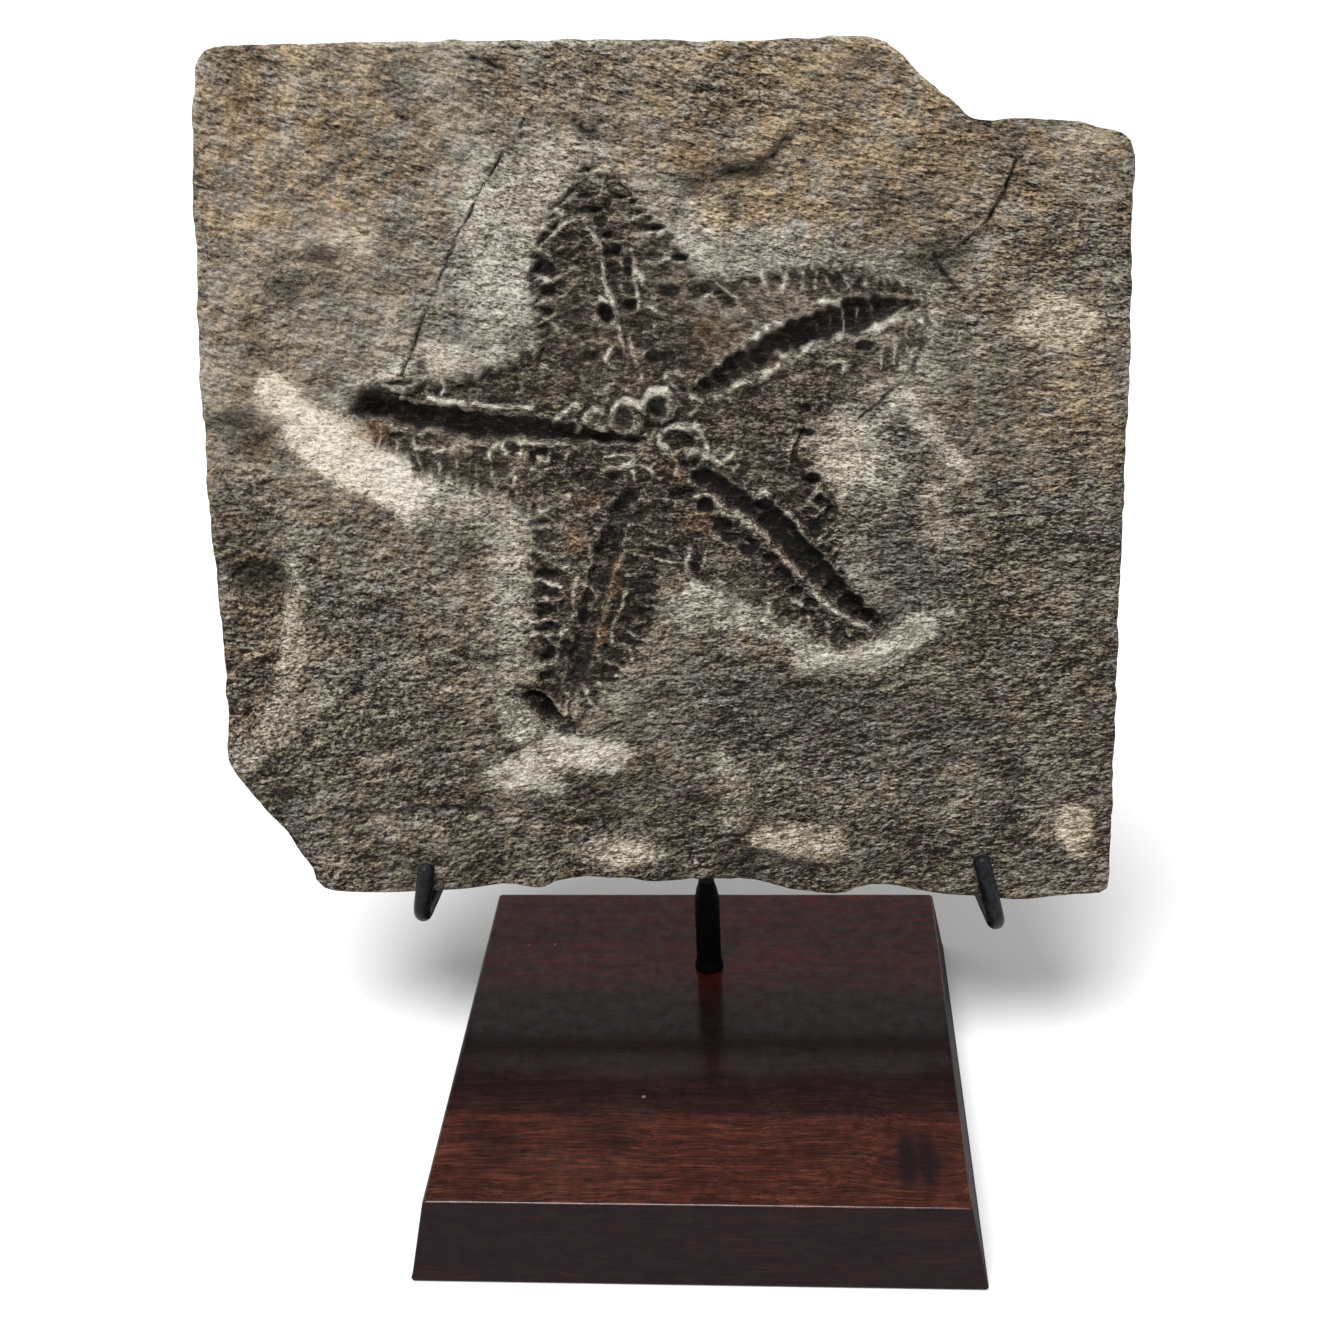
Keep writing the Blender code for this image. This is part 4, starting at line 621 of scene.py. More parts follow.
PATCHES = (
    # Cream and worn patches, haloes beside the arms
    *(spot(Tint.PALE, *n) for n in (
        (-42, 28, 9, 7, 1), (-30, 32.5, 12, 5, 1), (-21, 31, 5, 4, 0.8), (-44, 40, 5, 8, 0.7),
        (-43, 152, 9, 24, 0.5), (-34, 168, 8, 9, 0.45), (14, 150, 20, 7, 0.4), (2, 155, 6, 8, 0.5),
        (36, 103, 9, 9, 0.7), (44, 97, 5, 6, 0.4), (-45, 72, 5, 24, 0.45), (4, 68, 11, 7, 0.45),
        (-22, 6.4, 11, 3.2, 0.75), (23, 9.2, 12, 4.4, 0.75), (90, 14, 5, 8, 0.8),
        (82, 134, 9, 6, 0.75), (55, 90, 5, 8, 0.45), (-76, 155, 8, 4, 0.4), (-95, 134, 6, 5, 0.3),
        (-21, 171, 5, 5, 0.45), (-84, 110, 8, 7, 0.5), (45, 61, 5, 3, 0.5), (60, 66, 5, 3, 0.3),
        (-58, 128, 12, 4, 0.5), (-45, 128, 10, 3, 0.5), (40, 128, 12, 12, 0.25), (8, 20, 5, 9, 0.4),
        (-60, 92, 14, 5, 0.4), (88, 176, 8, 6, 0.3), (70, 24, 3, 2, 0.3), (-19, 46, 4, 4, 0.4))),
    band(Tint.PALE, ((-97, 118), (-88, 109), (-78, 103), (-68, 97)), 7, 0.95),
    band(Tint.PALE, ((-68, 97), (-56, 94), (-45, 90)), 4.5, 0.45),
    band(Tint.PALE, ((26, 54.6), (34, 55), (42, 55.6), (48, 59), (52, 63)), 4, 0.95),
    band(Tint.PALE, ((0, 72), (10, 66), (20, 62), (28, 58)), 3.6, 0.55),
    band(Tint.PALE, ((-112, 30), (-105, 40), (-100, 50), (-98, 62), (-97, 80)), 3, 0.5),
    band(Tint.PALE, ((-106, 38), (-98, 44), (-90, 47)), 3, 0.4),
    band(Tint.PALE, ((48, 117), (55, 109), (61, 100)), 2.5, 0.55),
    band(Tint.PALE, ((54, 137), (52, 128), (56, 118)), 3, 0.4),
    band(Tint.PALE, ((5, 30), (8, 22), (6, 13)), 2.6, 0.5),
    # Ochre weathering, most of it in the upper corners
    *(spot(Tint.OCHRE, *n) for n in (
        (-88, 176, 34, 27, 0.6), (-101, 125, 13, 22, 0.4), (45, 179, 54, 22, 0.75),
        (16, 162, 17, 7, 1), (56, 163, 24, 14, 0.5), (-104, 58, 13, 32, 0.35),
        (80, 150, 20, 20, 0.35), (86, 112, 13, 14, 0.45), (82, 134, 11, 8, 0.6), (-20, 188, 30, 8, 0.45),
        (24, 9, 12, 5, 0.4), (90, 14, 6, 8, 0.5), (-22, 6, 11, 4, 0.3), (-84, 108, 12, 9, 0.2),
        (34, 103, 8, 8, 0.25), (-86, 95, 16, 10, 0.3), (6, 20, 7, 8, 0.3), (43, 180, 12, 10, 0.4))),
    # Rust specks
    *(spot(Tint.RUST, *n) for n in (
        (-75, 111, 3.6, 2.6, 0.8), (1.5, 88.4, 5, 2.4, 0.5), (55, 90, 4, 8, 0.35),
        (-28.6, 84, 2.6, 3.4, 0.5), (21, 79, 3, 2.4, 0.4), (-20, 75, 1.8, 5, 0.6), (-23, 62, 1.6, 3, 0.6),
        (-5, 99.4, 3, 2, 0.4), (5, 132, 6, 4, 0.3), (-100, 182, 8, 10, 0.3), (3, 171, 5, 5, 0.3),
        (18, 125, 3, 2, 0.2), (-26, 93.4, 5, 2, 0.45), (59, 164, 6, 8, 0.25), (88, 110, 5, 4, 0.3))),
    # Blue grey stretches
    *(spot(Tint.COOL, *n) for n in (
        (-47, 140, 13, 17, 0.7), (-80, 85, 26, 20, 0.25), (79, 92, 2.6, 2.6, 1),
        (18, 149, 28, 7, 0.45), (46, 80, 15, 22, 0.5), (25, 40, 45, 14, 0.45), (46, 110, 7, 7, 0.6),
        (-100, 36, 12, 16, 0.3), (62, 148, 8, 6, 0.4), (2, 164, 8, 8, 0.6), (12, 76, 10, 6, 0.3),
        (60, 15, 20, 12, 0.25), (-58, 165, 16, 16, 0.35), (-90, 60, 16, 20, 0.2))),
    # Painted shade in the hollows and along the lower edge
    *(spot(Tint.DARK, *n) for n in (
        (1.5, 164.5, 3, 2, 0.5), (14, 167.6, 7, 1.6, 0.6), (55, 147, 7, 4, 0.5), (-106, 113, 9, 7, 0.4),
        (-105, 76, 8, 4.6, 0.65), (-92, 144, 3.6, 2.4, 0.5), (-84, 151.5, 4.4, 1.4, 0.6),
        (-104, 15, 6, 9, 0.3), (75, 26, 3.4, 1.8, 0.6), (-28, 182, 6, 3, 0.3), (38, 190, 4, 1.6, 0.4),
        (16, 5, 12, 2.4, 0.6), (-10, 20, 20, 12, 0.28), (30, 44, 34, 10, 0.25), (46, 76, 10, 14, 0.3),
        (-75, 118, 5, 3.4, 0.9), (-103.5, 93, 2, 1.4, 0.6), (52, 5, 10, 2, 0.3), (-60, 6, 24, 8, 0.15),
        (60, 30, 30, 10, 0.12), (9, 1, 8, 2.4, 0.5), (-34, 20, 14, 6, 0.15))),
)

# Where the film over the starfish is worn: centre, half size, loss
FADED = (
    (-24, 168, 8, 0.65), (14, 139, 12, 0.25), (10, 146, 16, 0.35), (45, 130, 9, 0.45), (12, 76, 10, 0.15),
    (-60, 104, 14, 0.3), (-4, 152, 7, 0.3), (-24, 46, 6, 0.3), (24, 118, 12, 0.2),
)
FACE_LUMPS = ((64.0, 1.0), (27.0, 0.6), (13.0, 0.45), (6.5, 0.28))
BACK_LUMPS = ((70.0, 0.9), (31.0, 0.6), (15.0, 0.4))
RIM_LUMPS = ((34.0, 0.7), (12.0, 0.5), (6.0, 0.35))
FINE_LUMPS = ((6.0, 0.34), (3.2, 0.30), (1.9, 0.20))
TERRACE_LUMPS = ((24.0, 1.0), (10.5, 0.6), (4.6, 0.30))


@dataclass(frozen=True)
class SlabFrame:
    """Where the slab's face stands in the world."""

    lean: float = math.radians(12.0)
    front_y: float = 13.0
    front_z: float = 55.5

    def world(self, u: Array, v: Array, w: Array) -> Array:
        """Return world places, in metres, of points given on the slab's face."""
        sine, cosine = math.sin(self.lean), math.cos(self.lean)
        return np.column_stack([u, self.front_y + v * sine - w * cosine,
                                self.front_z + v * cosine + w * sine]) * MM

    def up(self) -> Vector:
        """Return the direction up the face."""
        return Vector((0.0, math.sin(self.lean), math.cos(self.lean)))

    def out(self) -> Vector:
        """Return the direction out of the face."""
        return Vector((0.0, -math.cos(self.lean), math.sin(self.lean)))


@dataclass
class Masks:
    """How far each point of the stone turns towards each tint, from 0 to 1."""

    count: int
    layers: dict[Tint, Array] = field(default_factory=dict)

    def __post_init__(self) -> None:
        """Start every layer at nothing."""
        for tint in Tint:
            self.layers.setdefault(tint, np.zeros(self.count))

    def raise_to(self, tint: Tint, amount: Array) -> None:
        """Lift a layer to the given amount wherever that is higher."""
        self.layers[tint] = np.maximum(self.layers[tint], amount)

    def packed(self, tints: Iterable[Tint], last: Array) -> Array:
        """Return three layers and a fourth column as the rows of a colour attribute."""
        columns = [np.clip(self.layers[tint], 0.0, 1.0) for tint in tints]
        return np.column_stack([*columns, last]).astype(np.float32)


@dataclass
class Bearing:
    """Where each place lies on the arm nearest to it, and on its row of border plates."""

    station: Array
    gap: Array
    seam: Array
    middle: Array
    share: Array


@dataclass
class StoneFace:
    """The slab's face with the sunken starfish: heights and tints at any place on it."""

    star_rim_depth: float = 1.4
    star_middle_depth: float = 2.6
    groove_lip: float = 0.7
    ground_drop: float = 0.9
    halo: float = 0.12
    halo_distance: float = 2.8
    halo_width: float = 3.6
    wall_pallor: float = 1.0
    terrace_count: float = 2.1
    terrace_step: float = 0.50
    seat_calm: Pair = (8.0, 22.0)
    row_fan: float = 0.0045
    row_level: float = 85.0
    squareness: float = 2.6
    star_reach: float = 8.0
    patch_edge: Pair = (0.66, 1.20)
    patch_power: float = 1.25
    worn_and_lit_crest: float = 0.42
    film_and_shade_in_hollows: float = 0.55
    block_shade: Pair = (0.9, 0.95)
    crack_shade: float = 0.8
    groove_shade: float = 0.85
    wall_over_dark: float = 0.8

    def calm(self, u: Array, v: Array) -> Array:
        """Return 0 where a claw holds the slab and 1 two centimetres away."""
        gaps = [np.hypot(u - place, v) for place in CLAW_PLACES]
        return ease(*self.seat_calm, np.minimum(*gaps))

    def ground(self, u: Array, v: Array) -> Array:
        """Return the height of the split stone without the starfish."""
        height = lumps(u, v, FACE_LUMPS, 3) - self.ground_drop
        for ledge in LEDGES:
            path = smooth_path(ledge.line)
            length = path_lengths(path)[-1]
            station, offset = along_path(path, u, v)
            low_side = -offset if ledge.drop > 0 else offset
            fade = np.exp(-np.maximum(low_side, 0.0) / ledge.run)
            ends = ease(0.0, 4.0, station) * ease(0.0, 4.0, length - station)
            height -= abs(ledge.drop) * ease(-0.4, 1.0, low_side) * fade * ends
        row = v + self.row_fan * u * (v - self.row_level)
        height += lumps(0.36 * u, row, FINE_LUMPS, 53) + self.terraces(0.7 * u, row)
        return height * self.calm(u, v)

    def terraces(self, u: Array, v: Array) -> Array:
        """Return the little steps where thin layers of the stone have flaked away."""
        level = self.terrace_count * lumps(u, v, TERRACE_LUMPS, 131)
        step = np.floor(level)
        return self.terrace_step * (step + ease(0.72, 1.0, level - step) - 0.35 * level)

    def groove(self, arm: Arm, u: Array, v: Array) -> Array:
        """Return the height of one groove, with its beads, its ragged sides and its raised lips.

        Args:
            arm: the arm whose spine the groove follows.
            u: places along the face.
            v: places up the face.

        Returns:
            The height over the starfish's floor.
        """
        path = smooth_path(arm.spine)
        station, offset = along_path(path, u, v)
        share = station / path_lengths(path)[-1]
        width = even_steps(arm.width, share)
        depth = even_steps(arm.depth, share)
        if arm.bead:
            swing = np.abs(np.sin(math.pi * station / arm.bead_pitch))
            width = width * (0.84 + 0.24 * swing)
            depth = np.maximum(depth - arm.bead * (1.0 - swing), 0.2)
        depth = depth * (1.0 + 0.25 * lumps(u, v, ((4.0, 1.0), (1.8, 0.6)), 59))
        across = np.abs(offset + 0.62 * lumps(u, v, ((4.4, 1.0), (1.6, 0.7)), 61)) / width
        trough = -depth * (1.0 - ease(0.62, 1.12, across))
        lip = self.groove_lip * np.clip(depth / 3.0, 0.0, 1.0) * np.exp(-((across - 1.35) / 0.33) ** 2)
        return trough + lip * np.clip(0.45 + 0.9 * lumps(u, v, ((4.4, 1.0), (1.9, 0.7)), 167), 0.0, 1.2)

    def bearing(self, u: Array, v: Array) -> Bearing:
        """Return where places lie on their nearest arm."""
        station, gap = np.zeros(u.shape), np.full(u.shape, np.inf)
        pitch, share = np.ones(u.shape), np.zeros(u.shape)
        for arm in ARMS:
            path = smooth_path(arm.spine)
            along, offset = along_path(path, u, v)
            beside = np.abs(offset) - even_steps(arm.width, along / path_lengths(path)[-1])
            closer = beside < gap
            station, gap = np.where(closer, along, station), np.where(closer, beside, gap)
            pitch = np.where(closer, arm.plate_pitch, pitch)
            share = np.where(closer, np.where(offset > 0.0, *arm.plates), share)
        sway = 0.9 * lumps(u, v, ((7.0, 1.0), (3.0, 0.5)), 67)
        phase = (station + 0.22 * gap + sway) / pitch
        seam = pitch * np.abs(phase - np.round(phase))
        return Bearing(station, gap, seam, 0.5 * pitch - seam, share)

    def border_plates(self, at: Bearing, border: Array, u: Array, v: Array
                      ) -> tuple[Array, Array, Array]:
        """Measure the plates across the arms, with their seams and the pits at their outer ends.

        Args:
            at: where the places lie on the arms.
            border: distance to the starfish's border, negative inside.
            u: places along the face.
            v: places up the face.

        Returns:
            The height, and how pale and how dark the plates make each place.
        """
        on_wing = ease(0.8, 2.6, at.gap) * ease(0.8, -0.8, border) * ease(4.0, 10.0, at.station) * at.share
        outer = 0.30 + 0.70 * ease(-8.0, -3.0, border)
        kept = np.clip(0.70 + 0.80 * lumps(u, v, ((6.0, 1.0), (2.4, 0.6)), 139), 0.10, 1.25)
        kept *= 0.35 + 0.65 * ease(7.0, 15.0, np.hypot(u + 22.5, v - 169.0))
        seam = np.exp(-(at.seam / 0.46) ** 2) * on_wing * outer * kept
        pit = np.exp(-(at.middle / 1.05) ** 2 - ((border + 1.9) / 1.3) ** 2) * on_wing
        pit *= np.clip(0.7 + 0.6 * lumps(u, v, ((9.0, 1.0),), 149), 0.0, 1.2)
        cushion = -0.30 * (1.0 - np.exp(-(at.seam / 0.9) ** 2)) * on_wing
        body = ease(0.5, 1.3, at.seam) * on_wing * np.clip(0.5 + lumps(u, v, ((5.0, 0.8),), 163), 0.0, 1.0)
        return 0.60 * seam + cushion - 0.7 * pit, 0.80 * seam, np.maximum(0.60 * pit, 0.38 * body)

    def folds(self, at: Bearing, u: Array, v: Array) -> Array:
        """Return the creases of the film: drawn out across the arms, crumbled round the mouth."""
        along = at.station + 0.9 * lumps(u, v, ((5.0, 1.0), (2.2, 0.4)), 151)
        drawn = lumps(along, 0.36 * at.gap + 31.0 * at.share, ((2.1, 0.30), (1.15, 0.22)), 71)
        crumbs = lumps(u, v, ((2.6, 0.36), (1.3, 0.24)), 73)
        near_mouth = ease(16.0, 7.0, at.station)
        fine = lumps(u, v, ((0.95, 0.13),), 75)
        return crumbs * near_mouth + drawn * (1.0 - near_mouth) + fine

    def star(self, rough: Array, u: Array, v: Array, border: Array) -> Array:
        """Return the height of the sunken starfish over the ground."""
        floor = -(self.star_rim_depth * ease(0.0, -1.3, border)
                  + (self.star_middle_depth - self.star_rim_depth) * ease(-2.0, -16.0, border))
        detail = np.zeros(u.shape)
        for arm in ARMS:
            groove = self.groove(arm, u, v)
            detail = np.where(np.abs(groove) > np.abs(detail), groove, detail)
        row = self.groove(PIT_ROW, u, v)
        detail = np.where(row < detail, row, detail)
        inside = ease(0.4, -1.2, border)
        relief = floor + (detail + rough) * inside
        relief += 0.45 * np.exp(-((border - 2.2) / 1.8) ** 2)
        return relief + np.minimum(self.groove(TIP_HOOK, u, v), 0.0)

    def rings(self, u: Array, v: Array) -> tuple[Array, Array]:
        """Return the height of the rounded ossicles round the mouth, and the painted highlight on their
        upper rims.
        """
        relief, brow_highlight = np.zeros(u.shape), np.zeros(u.shape)
        ragged = 0.35 * lumps(u, v, ((1.9, 1.0), (1.0, 0.6)), 157)
        for ring in RINGS:
            gap = np.hypot(u - ring.u, v - ring.v) + ragged
            dome = np.sqrt(np.maximum(1.0 - (gap / (ring.radius + 0.7)) ** 2, 0.0))
            crevice = np.exp(-((gap - ring.radius - 1.2) / 0.55) ** 2)
            relief += ring.height * (dome - 0.55 * crevice)
            # Painted highlight on the upper left rim of each ring.
            lit = ease(-0.4, 0.8, (0.88 * (v - ring.v) - 0.48 * (u - ring.u)) / np.maximum(gap, 0.5))
            brow_highlight = np.maximum(brow_highlight, lit * np.exp(-((gap - ring.radius + 0.3) / 0.75) ** 2))
        return relief, 0.8 * brow_highlight

    def hollows(self, pits: Iterable[Pit], u: Array, v: Array) -> Array:
        """Return the depth of squarish hollows with ragged rims."""
        relief = np.zeros(u.shape)
        ragged = 1.0 + 0.22 * lumps(u, v, ((1.3, 1.0),), 79)
        for pit in pits:
            x, y = np.abs(u - pit.u) / pit.half_u, np.abs(v - pit.v) / pit.half_v
            gap = ragged * (x ** self.squareness + y ** self.squareness) ** (1 / self.squareness)
            relief = np.minimum(relief, -pit.depth * (1.0 - ease(0.62, 1.15, gap)))
        return relief

    def strokes(self, drawn: Iterable[Stroke], u: Array, v: Array) -> tuple[Array, Array, Array]:
        """Measure thin walls and cracks.

        Args:
            drawn: the lines to measure.
            u: places along the face.
            v: places up the face.

        Returns:
            The height, and how pale and how rusty the lines make each place.
        """
        height, pale, rust = (np.zeros(u.shape) for _ in range(3))
        shake = 0.34 * lumps(u, v, ((1.7, 1.0), (0.9, 0.4)), 83)
        strength = np.clip(0.82 + 0.55 * lumps(u, v, ((3.3, 1.0), (1.3, 0.8)), 89), 0.15, 1.2)
        for line in drawn:
            knots = np.array(line.line)
            reach = 4.0 * line.half_width + 1.0
            low, high = knots.min(0) - reach, knots.max(0) + reach
            near = (u > low[0]) & (u < high[0]) & (v > low[1]) & (v < high[1])
            offset = np.abs(along_path(smooth_path(line.line, 1.0), u[near], v[near])[1] + shake[near])
            body = np.exp(-(offset / line.half_width) ** 2) * strength[near]
            taller = np.abs(line.height) * body > np.abs(height[near])
            height[near] = np.where(taller, line.height * body, height[near])
            glow = np.exp(-(offset / (1.35 * line.half_width)) ** 2) * strength[near]
            pale[near] = np.maximum(pale[near], self.wall_pallor * line.pale * glow)
            rust[near] = np.maximum(rust[near], line.rust * glow)
        return height, pale, rust

    def border(self, u: Array, v: Array) -> Array:
        """Return the distance to the starfish's ragged border, negative inside it."""
        return (distance_to_border(np.array(STAR_OUTLINE), u, v)
                + 0.7 * lumps(u, v, ((4.2, 1.0), (2.0, 0.6), (1.1, 0.35)), 97))

    def measure(self, u: Array, v: Array) -> tuple[Array, Masks]:
        """Return the height and the tints of places on the face."""
        masks = Masks(len(u))
        at = self.bearing(u, v)
        border = self.border(u, v)
        border += 0.9 * at.share * np.cos(1.9 * at.middle) * ease(10.0, 20.0, at.station)
        rough = self.folds(at, u, v)
        ossicles, ring_brow_highlights = self.rings(u, v)
        height = self.ground(u, v) + self.star(rough, u, v, border)
        height += ossicles + self.hollows(PITS, u, v)
        near_star = border < self.star_reach
        wall, pale, rust = self.strokes(WALLS, u, v)
        crack = self.strokes(CRACKS, u, v)[0]
        block = np.zeros(u.shape)
        block[near_star] = self.hollows(BLOCKS, u[near_star], v[near_star])
        plates, seams, pits = self.border_plates(at, border, u, v)
        height += wall + crack + block + plates
        local = rough + 0.8 * wall + 0.7 * plates + 0.5 * block
        # The pale mask takes the walls, the rings' painted highlights and the plates' seams.
        pale = np.maximum(np.maximum(pale, ring_brow_highlights), seams * (1.0 - np.clip(-2.0 * block, 0.0, 1.0)))
        inside = ease(1.3, -1.5, border)
        halo = np.exp(-((border - self.halo_distance) / self.halo_width) ** 2) * (1.0 - inside)
        masks.raise_to(Tint.STAIN, inside * (1.0 - 0.75 * pale) * self.stain_share(u, v))
        masks.raise_to(Tint.PALE, np.maximum(pale, self.halo * halo))
        # Ridges of the film turn pale and hollows dark: worn and kept film, with painted light and shade.
        masks.raise_to(Tint.PALE, self.worn_and_lit_crest * ease(0.10, 0.62, local) * inside)
        masks.raise_to(Tint.DARK, self.film_and_shade_in_hollows * ease(-0.12, -0.62, local) * inside)
        # Painted shade in the pits at the plates' outer ends, and the plates' own darker bodies.
        masks.raise_to(Tint.DARK, pits)
        masks.raise_to(Tint.RUST, rust)
        # Painted shade in the deep blocks and the cracks, darker the deeper they are.
        masks.raise_to(Tint.DARK, np.clip(-block / self.block_shade[0], 0.0, self.block_shade[1]))
        masks.raise_to(Tint.DARK, np.clip(-crack / self.crack_shade, 0.0, 1.0))
        # Painted shade in the grooves, darker the deeper they sink; the walls in them lose their pallor.
        for arm in (*ARMS, PIT_ROW, TIP_HOOK):
            sunk = np.clip((-self.groove(arm, u, v) - 0.5) / 2.2, 0.0, 1.0)
            masks.layers[Tint.PALE] *= 1.0 - 0.9 * sunk
            masks.raise_to(Tint.DARK, self.groove_shade * sunk * inside)
        masks.raise_to(Tint.PALE, 0.95 * pale)
        masks.layers[Tint.DARK] *= 1.0 - self.wall_over_dark * np.clip(pale, 0.0, 1.0)
        self.paint_patches(u, v, masks)
        return height, masks

    def coarseness(self, u: Array, v: Array) -> Array:
        """Return how boldly the grain stands out: fine at the upper left, coarse low down."""
        slope = 0.42 + 0.30 * ease(30.0, -40.0, v - 95.0) + 0.22 * ease(-50.0, 70.0, u)
        return np.clip(slope + 0.22 * lumps(u, v, ((34.0, 1.0), (15.0, 0.6)), 113), 0.0, 1.0)

    def stain_share(self, u: Array, v: Array) -> Array:
        """Return how strongly the dark film of the starfish is kept, from arm to arm."""
        share = 0.90 + 0.20 * lumps(u, v, ((7.0, 1.0), (3.0, 0.6)), 101)
        for place_u, place_v, half, loss in FADED:
            share -= loss * np.exp(-((u - place_u) ** 2 + (v - place_v) ** 2) / half ** 2)
        return np.clip(share, 0.0, 1.0)

    def paint_patches(self, u: Array, v: Array, masks: Masks) -> None:
        """Add the patches of other colours, each with a ragged edge."""
        ragged = lumps(u, v, ((9.0, 0.24), (4.0, 0.20), (1.8, 0.14)), 103)
        for patch in PATCHES:
            if len(patch.places) > 1:
                gap = np.abs(along_path(smooth_path(patch.places), u, v)[1]) / patch.half[0]
            else:
                (place_u, place_v), = patch.places
                gap = np.hypot((u - place_u) / patch.half[0], (v - place_v) / patch.half[1])
            inside = 1.0 - ease(*self.patch_edge, gap + ragged)
            masks.raise_to(patch.tint, patch.amount ** self.patch_power * inside)


@dataclass
class Side:
    """One side of the slab's front ring, read by a share of its length."""

    share: Array
    points: Array
    outward: Array

    def read(self, share: Array) -> tuple[Array, Array]:
        """Return the points and outward directions at shares of the side."""
        return tuple(np.column_stack([np.interp(share, self.share, table[:, k]) for k in (0, 1)])
                     for table in (self.points, self.outward))


@dataclass
class FossilSlab:
    """The sandstone slab: one closed mesh, finest over the starfish."""

    frame: SlabFrame
    face: StoneFace
    thickness: float = 11.8
    rim_inset: float = 1.8
    rim_rounding: float = 2.2
    seat_bulge: float = 0.9
    cell: float = 1.22
    fine: int = 3
    fine_margin: float = 2.4
    back_cell: float = 3.2
    back_u: Pair = (-118.0, 100.0)
    back_v: Pair = (-6.0, 200.0)
    back_relief: float = 2.6
    rod_lane: Pair = (2.5, 14.0)
    span_u: float = 204.0
    span_v: float = 198.0
    edge_stops: tuple[float, ...] = (0.0, 0.6, 1.3, 2.2)
    edge_drop: float = 0.5
    edge_run: float = 3.0
    fine_cracks: int = 6
    crack_margin: float = 0.95
    break_share: float = 0.48
    front_rows: tuple[float, ...] = (0.10, 0.24, 0.42, 0.66, 1.0)
    back_rows: tuple[float, ...] = (0.22, 0.42, 0.64, 0.84, 0.95)
    eased_depth: float = 6.6
    depth_left: float = 1.2
    levelling_rounds: int = 7
    corners: tuple[Pair, ...] = ((-107.6, 195.4), (-105.6, 16.2), (96.8, -2.4), (96.9, 169.5))

    def sides(self) -> tuple[Side, Side, Side, Side]:
        """Return the left, bottom, right and top sides of the inset front ring."""
        outline = smooth_path(SLAB_OUTLINE, 0.3, closed=True)
        ahead = sum(np.roll(outline, -k, axis=0) - np.roll(outline, k, axis=0) for k in (3, 5, 7))
        ahead /= np.hypot(*ahead.T)[:, None]
        out = np.column_stack([ahead[:, 1], -ahead[:, 0]])
        ring = outline - self.rim_inset * out
        starts = [int(np.argmin(np.hypot(*(outline - corner).T))) for corner in self.corners]
        sides = []
        for k, start in enumerate(starts):
            end = starts[(k + 1) % 4]
            index = np.arange(start, end + 1 if end > start else end + 1 + len(ring)) % len(ring)
            if k in (0, 3):
                index = index[::-1]
            axis = 1 if k in (0, 2) else 0
            travel = np.maximum.accumulate(ring[index, axis])
            travel = travel + np.linspace(0.0, 1e-3, len(travel))
            share = (travel - travel[0]) / (travel[-1] - travel[0])
            sides.append(Side(share, ring[index], out[index]))
        return tuple(sides)

    def stops(self, span: float) -> Array:
        """Return the lattice's stops along a side, as shares, closer together at the rim."""
        edge = np.array(self.edge_stops)
        count = int(round((span - 2 * edge[-1]) / self.cell))
        middle = np.linspace(edge[-1], span - edge[-1], count + 1)[1:-1]
        return np.concatenate([edge, middle, span - edge[::-1]]) / span

    def lattice(self) -> tuple[Array, list[tuple[int, ...]], Array, Array]:
        """Lay a lattice over the front sheet, with small cells over the starfish.

        Returns:
            The points' u and v, the faces, the ring of border points in anticlockwise order,
            and the ring's outward directions.
        """
        left, bottom, right, top = self.sides()
        n = self.fine
        s_coarse, t_coarse = self.stops(self.span_u), self.stops(self.span_v)
        columns, rows = len(s_coarse) - 1, len(t_coarse) - 1
        s = np.interp(np.arange(n * columns + 1) / n, np.arange(columns + 1), s_coarse)
        t = np.interp(np.arange(n * rows + 1) / n, np.arange(rows + 1), t_coarse)
        (low, low_out), (high, high_out) = bottom.read(s), top.read(s)
        (west, west_out), (east, east_out) = left.read(t), right.read(t)
        across, upward = s[:, None, None], t[None, :, None]
        grid = ((1 - upward) * low[:, None] + upward * high[:, None]
                + (1 - across) * west[None] + across * east[None]
                - (1 - across) * (1 - upward) * low[0] - across * (1 - upward) * low[-1]
                - (1 - across) * upward * high[0] - across * upward * high[-1])
        middle = (grid[:-1:n, :-1:n] + grid[n::n, n::n]) / 2
        flat = middle.reshape(-1, 2)
        small = self.face.border(*flat.T) < self.fine_margin
        for crack in CRACKS[:self.fine_cracks]:
            gap = np.abs(along_path(smooth_path(crack.line, 1.0), *flat.T)[1])
            small |= gap < self.crack_margin
        small = small.reshape(columns, rows)
        there = np.zeros(grid.shape[:2], bool)
        there[::n, ::n] = True
        for i, j in np.argwhere(small):
            there[n * i:n * i + n + 1, n * j:n * j + n + 1] = True
        number = np.where(there, np.cumsum(there.ravel()).reshape(there.shape) - 1, -1)
        faces = []
        for i, j in np.argwhere(np.kron(small, np.ones((n, n), bool))):
            faces.append((number[i, j], number[i + 1, j], number[i + 1, j + 1], number[i, j + 1]))
        for i, j in np.argwhere(~small):
            a, b = n * i, n * j
            loop = np.concatenate([number[a:a + n, b], number[a + n, b:b + n],
                                   number[a + n:a:-1, b + n], number[a, b + n:b:-1]])
            faces.append(tuple(loop[loop >= 0]))
        ring = np.concatenate([number[:-1:n, 0], number[-1, :-1:n], number[:0:-n, -1], number[0, :0:-n]])
        out = np.vstack([low_out[:-1:n], east_out[:-1:n], high_out[:0:-n], west_out[:0:-n]])
        out /= np.hypot(*out.T)[:, None]
        return grid[there], faces, ring, out

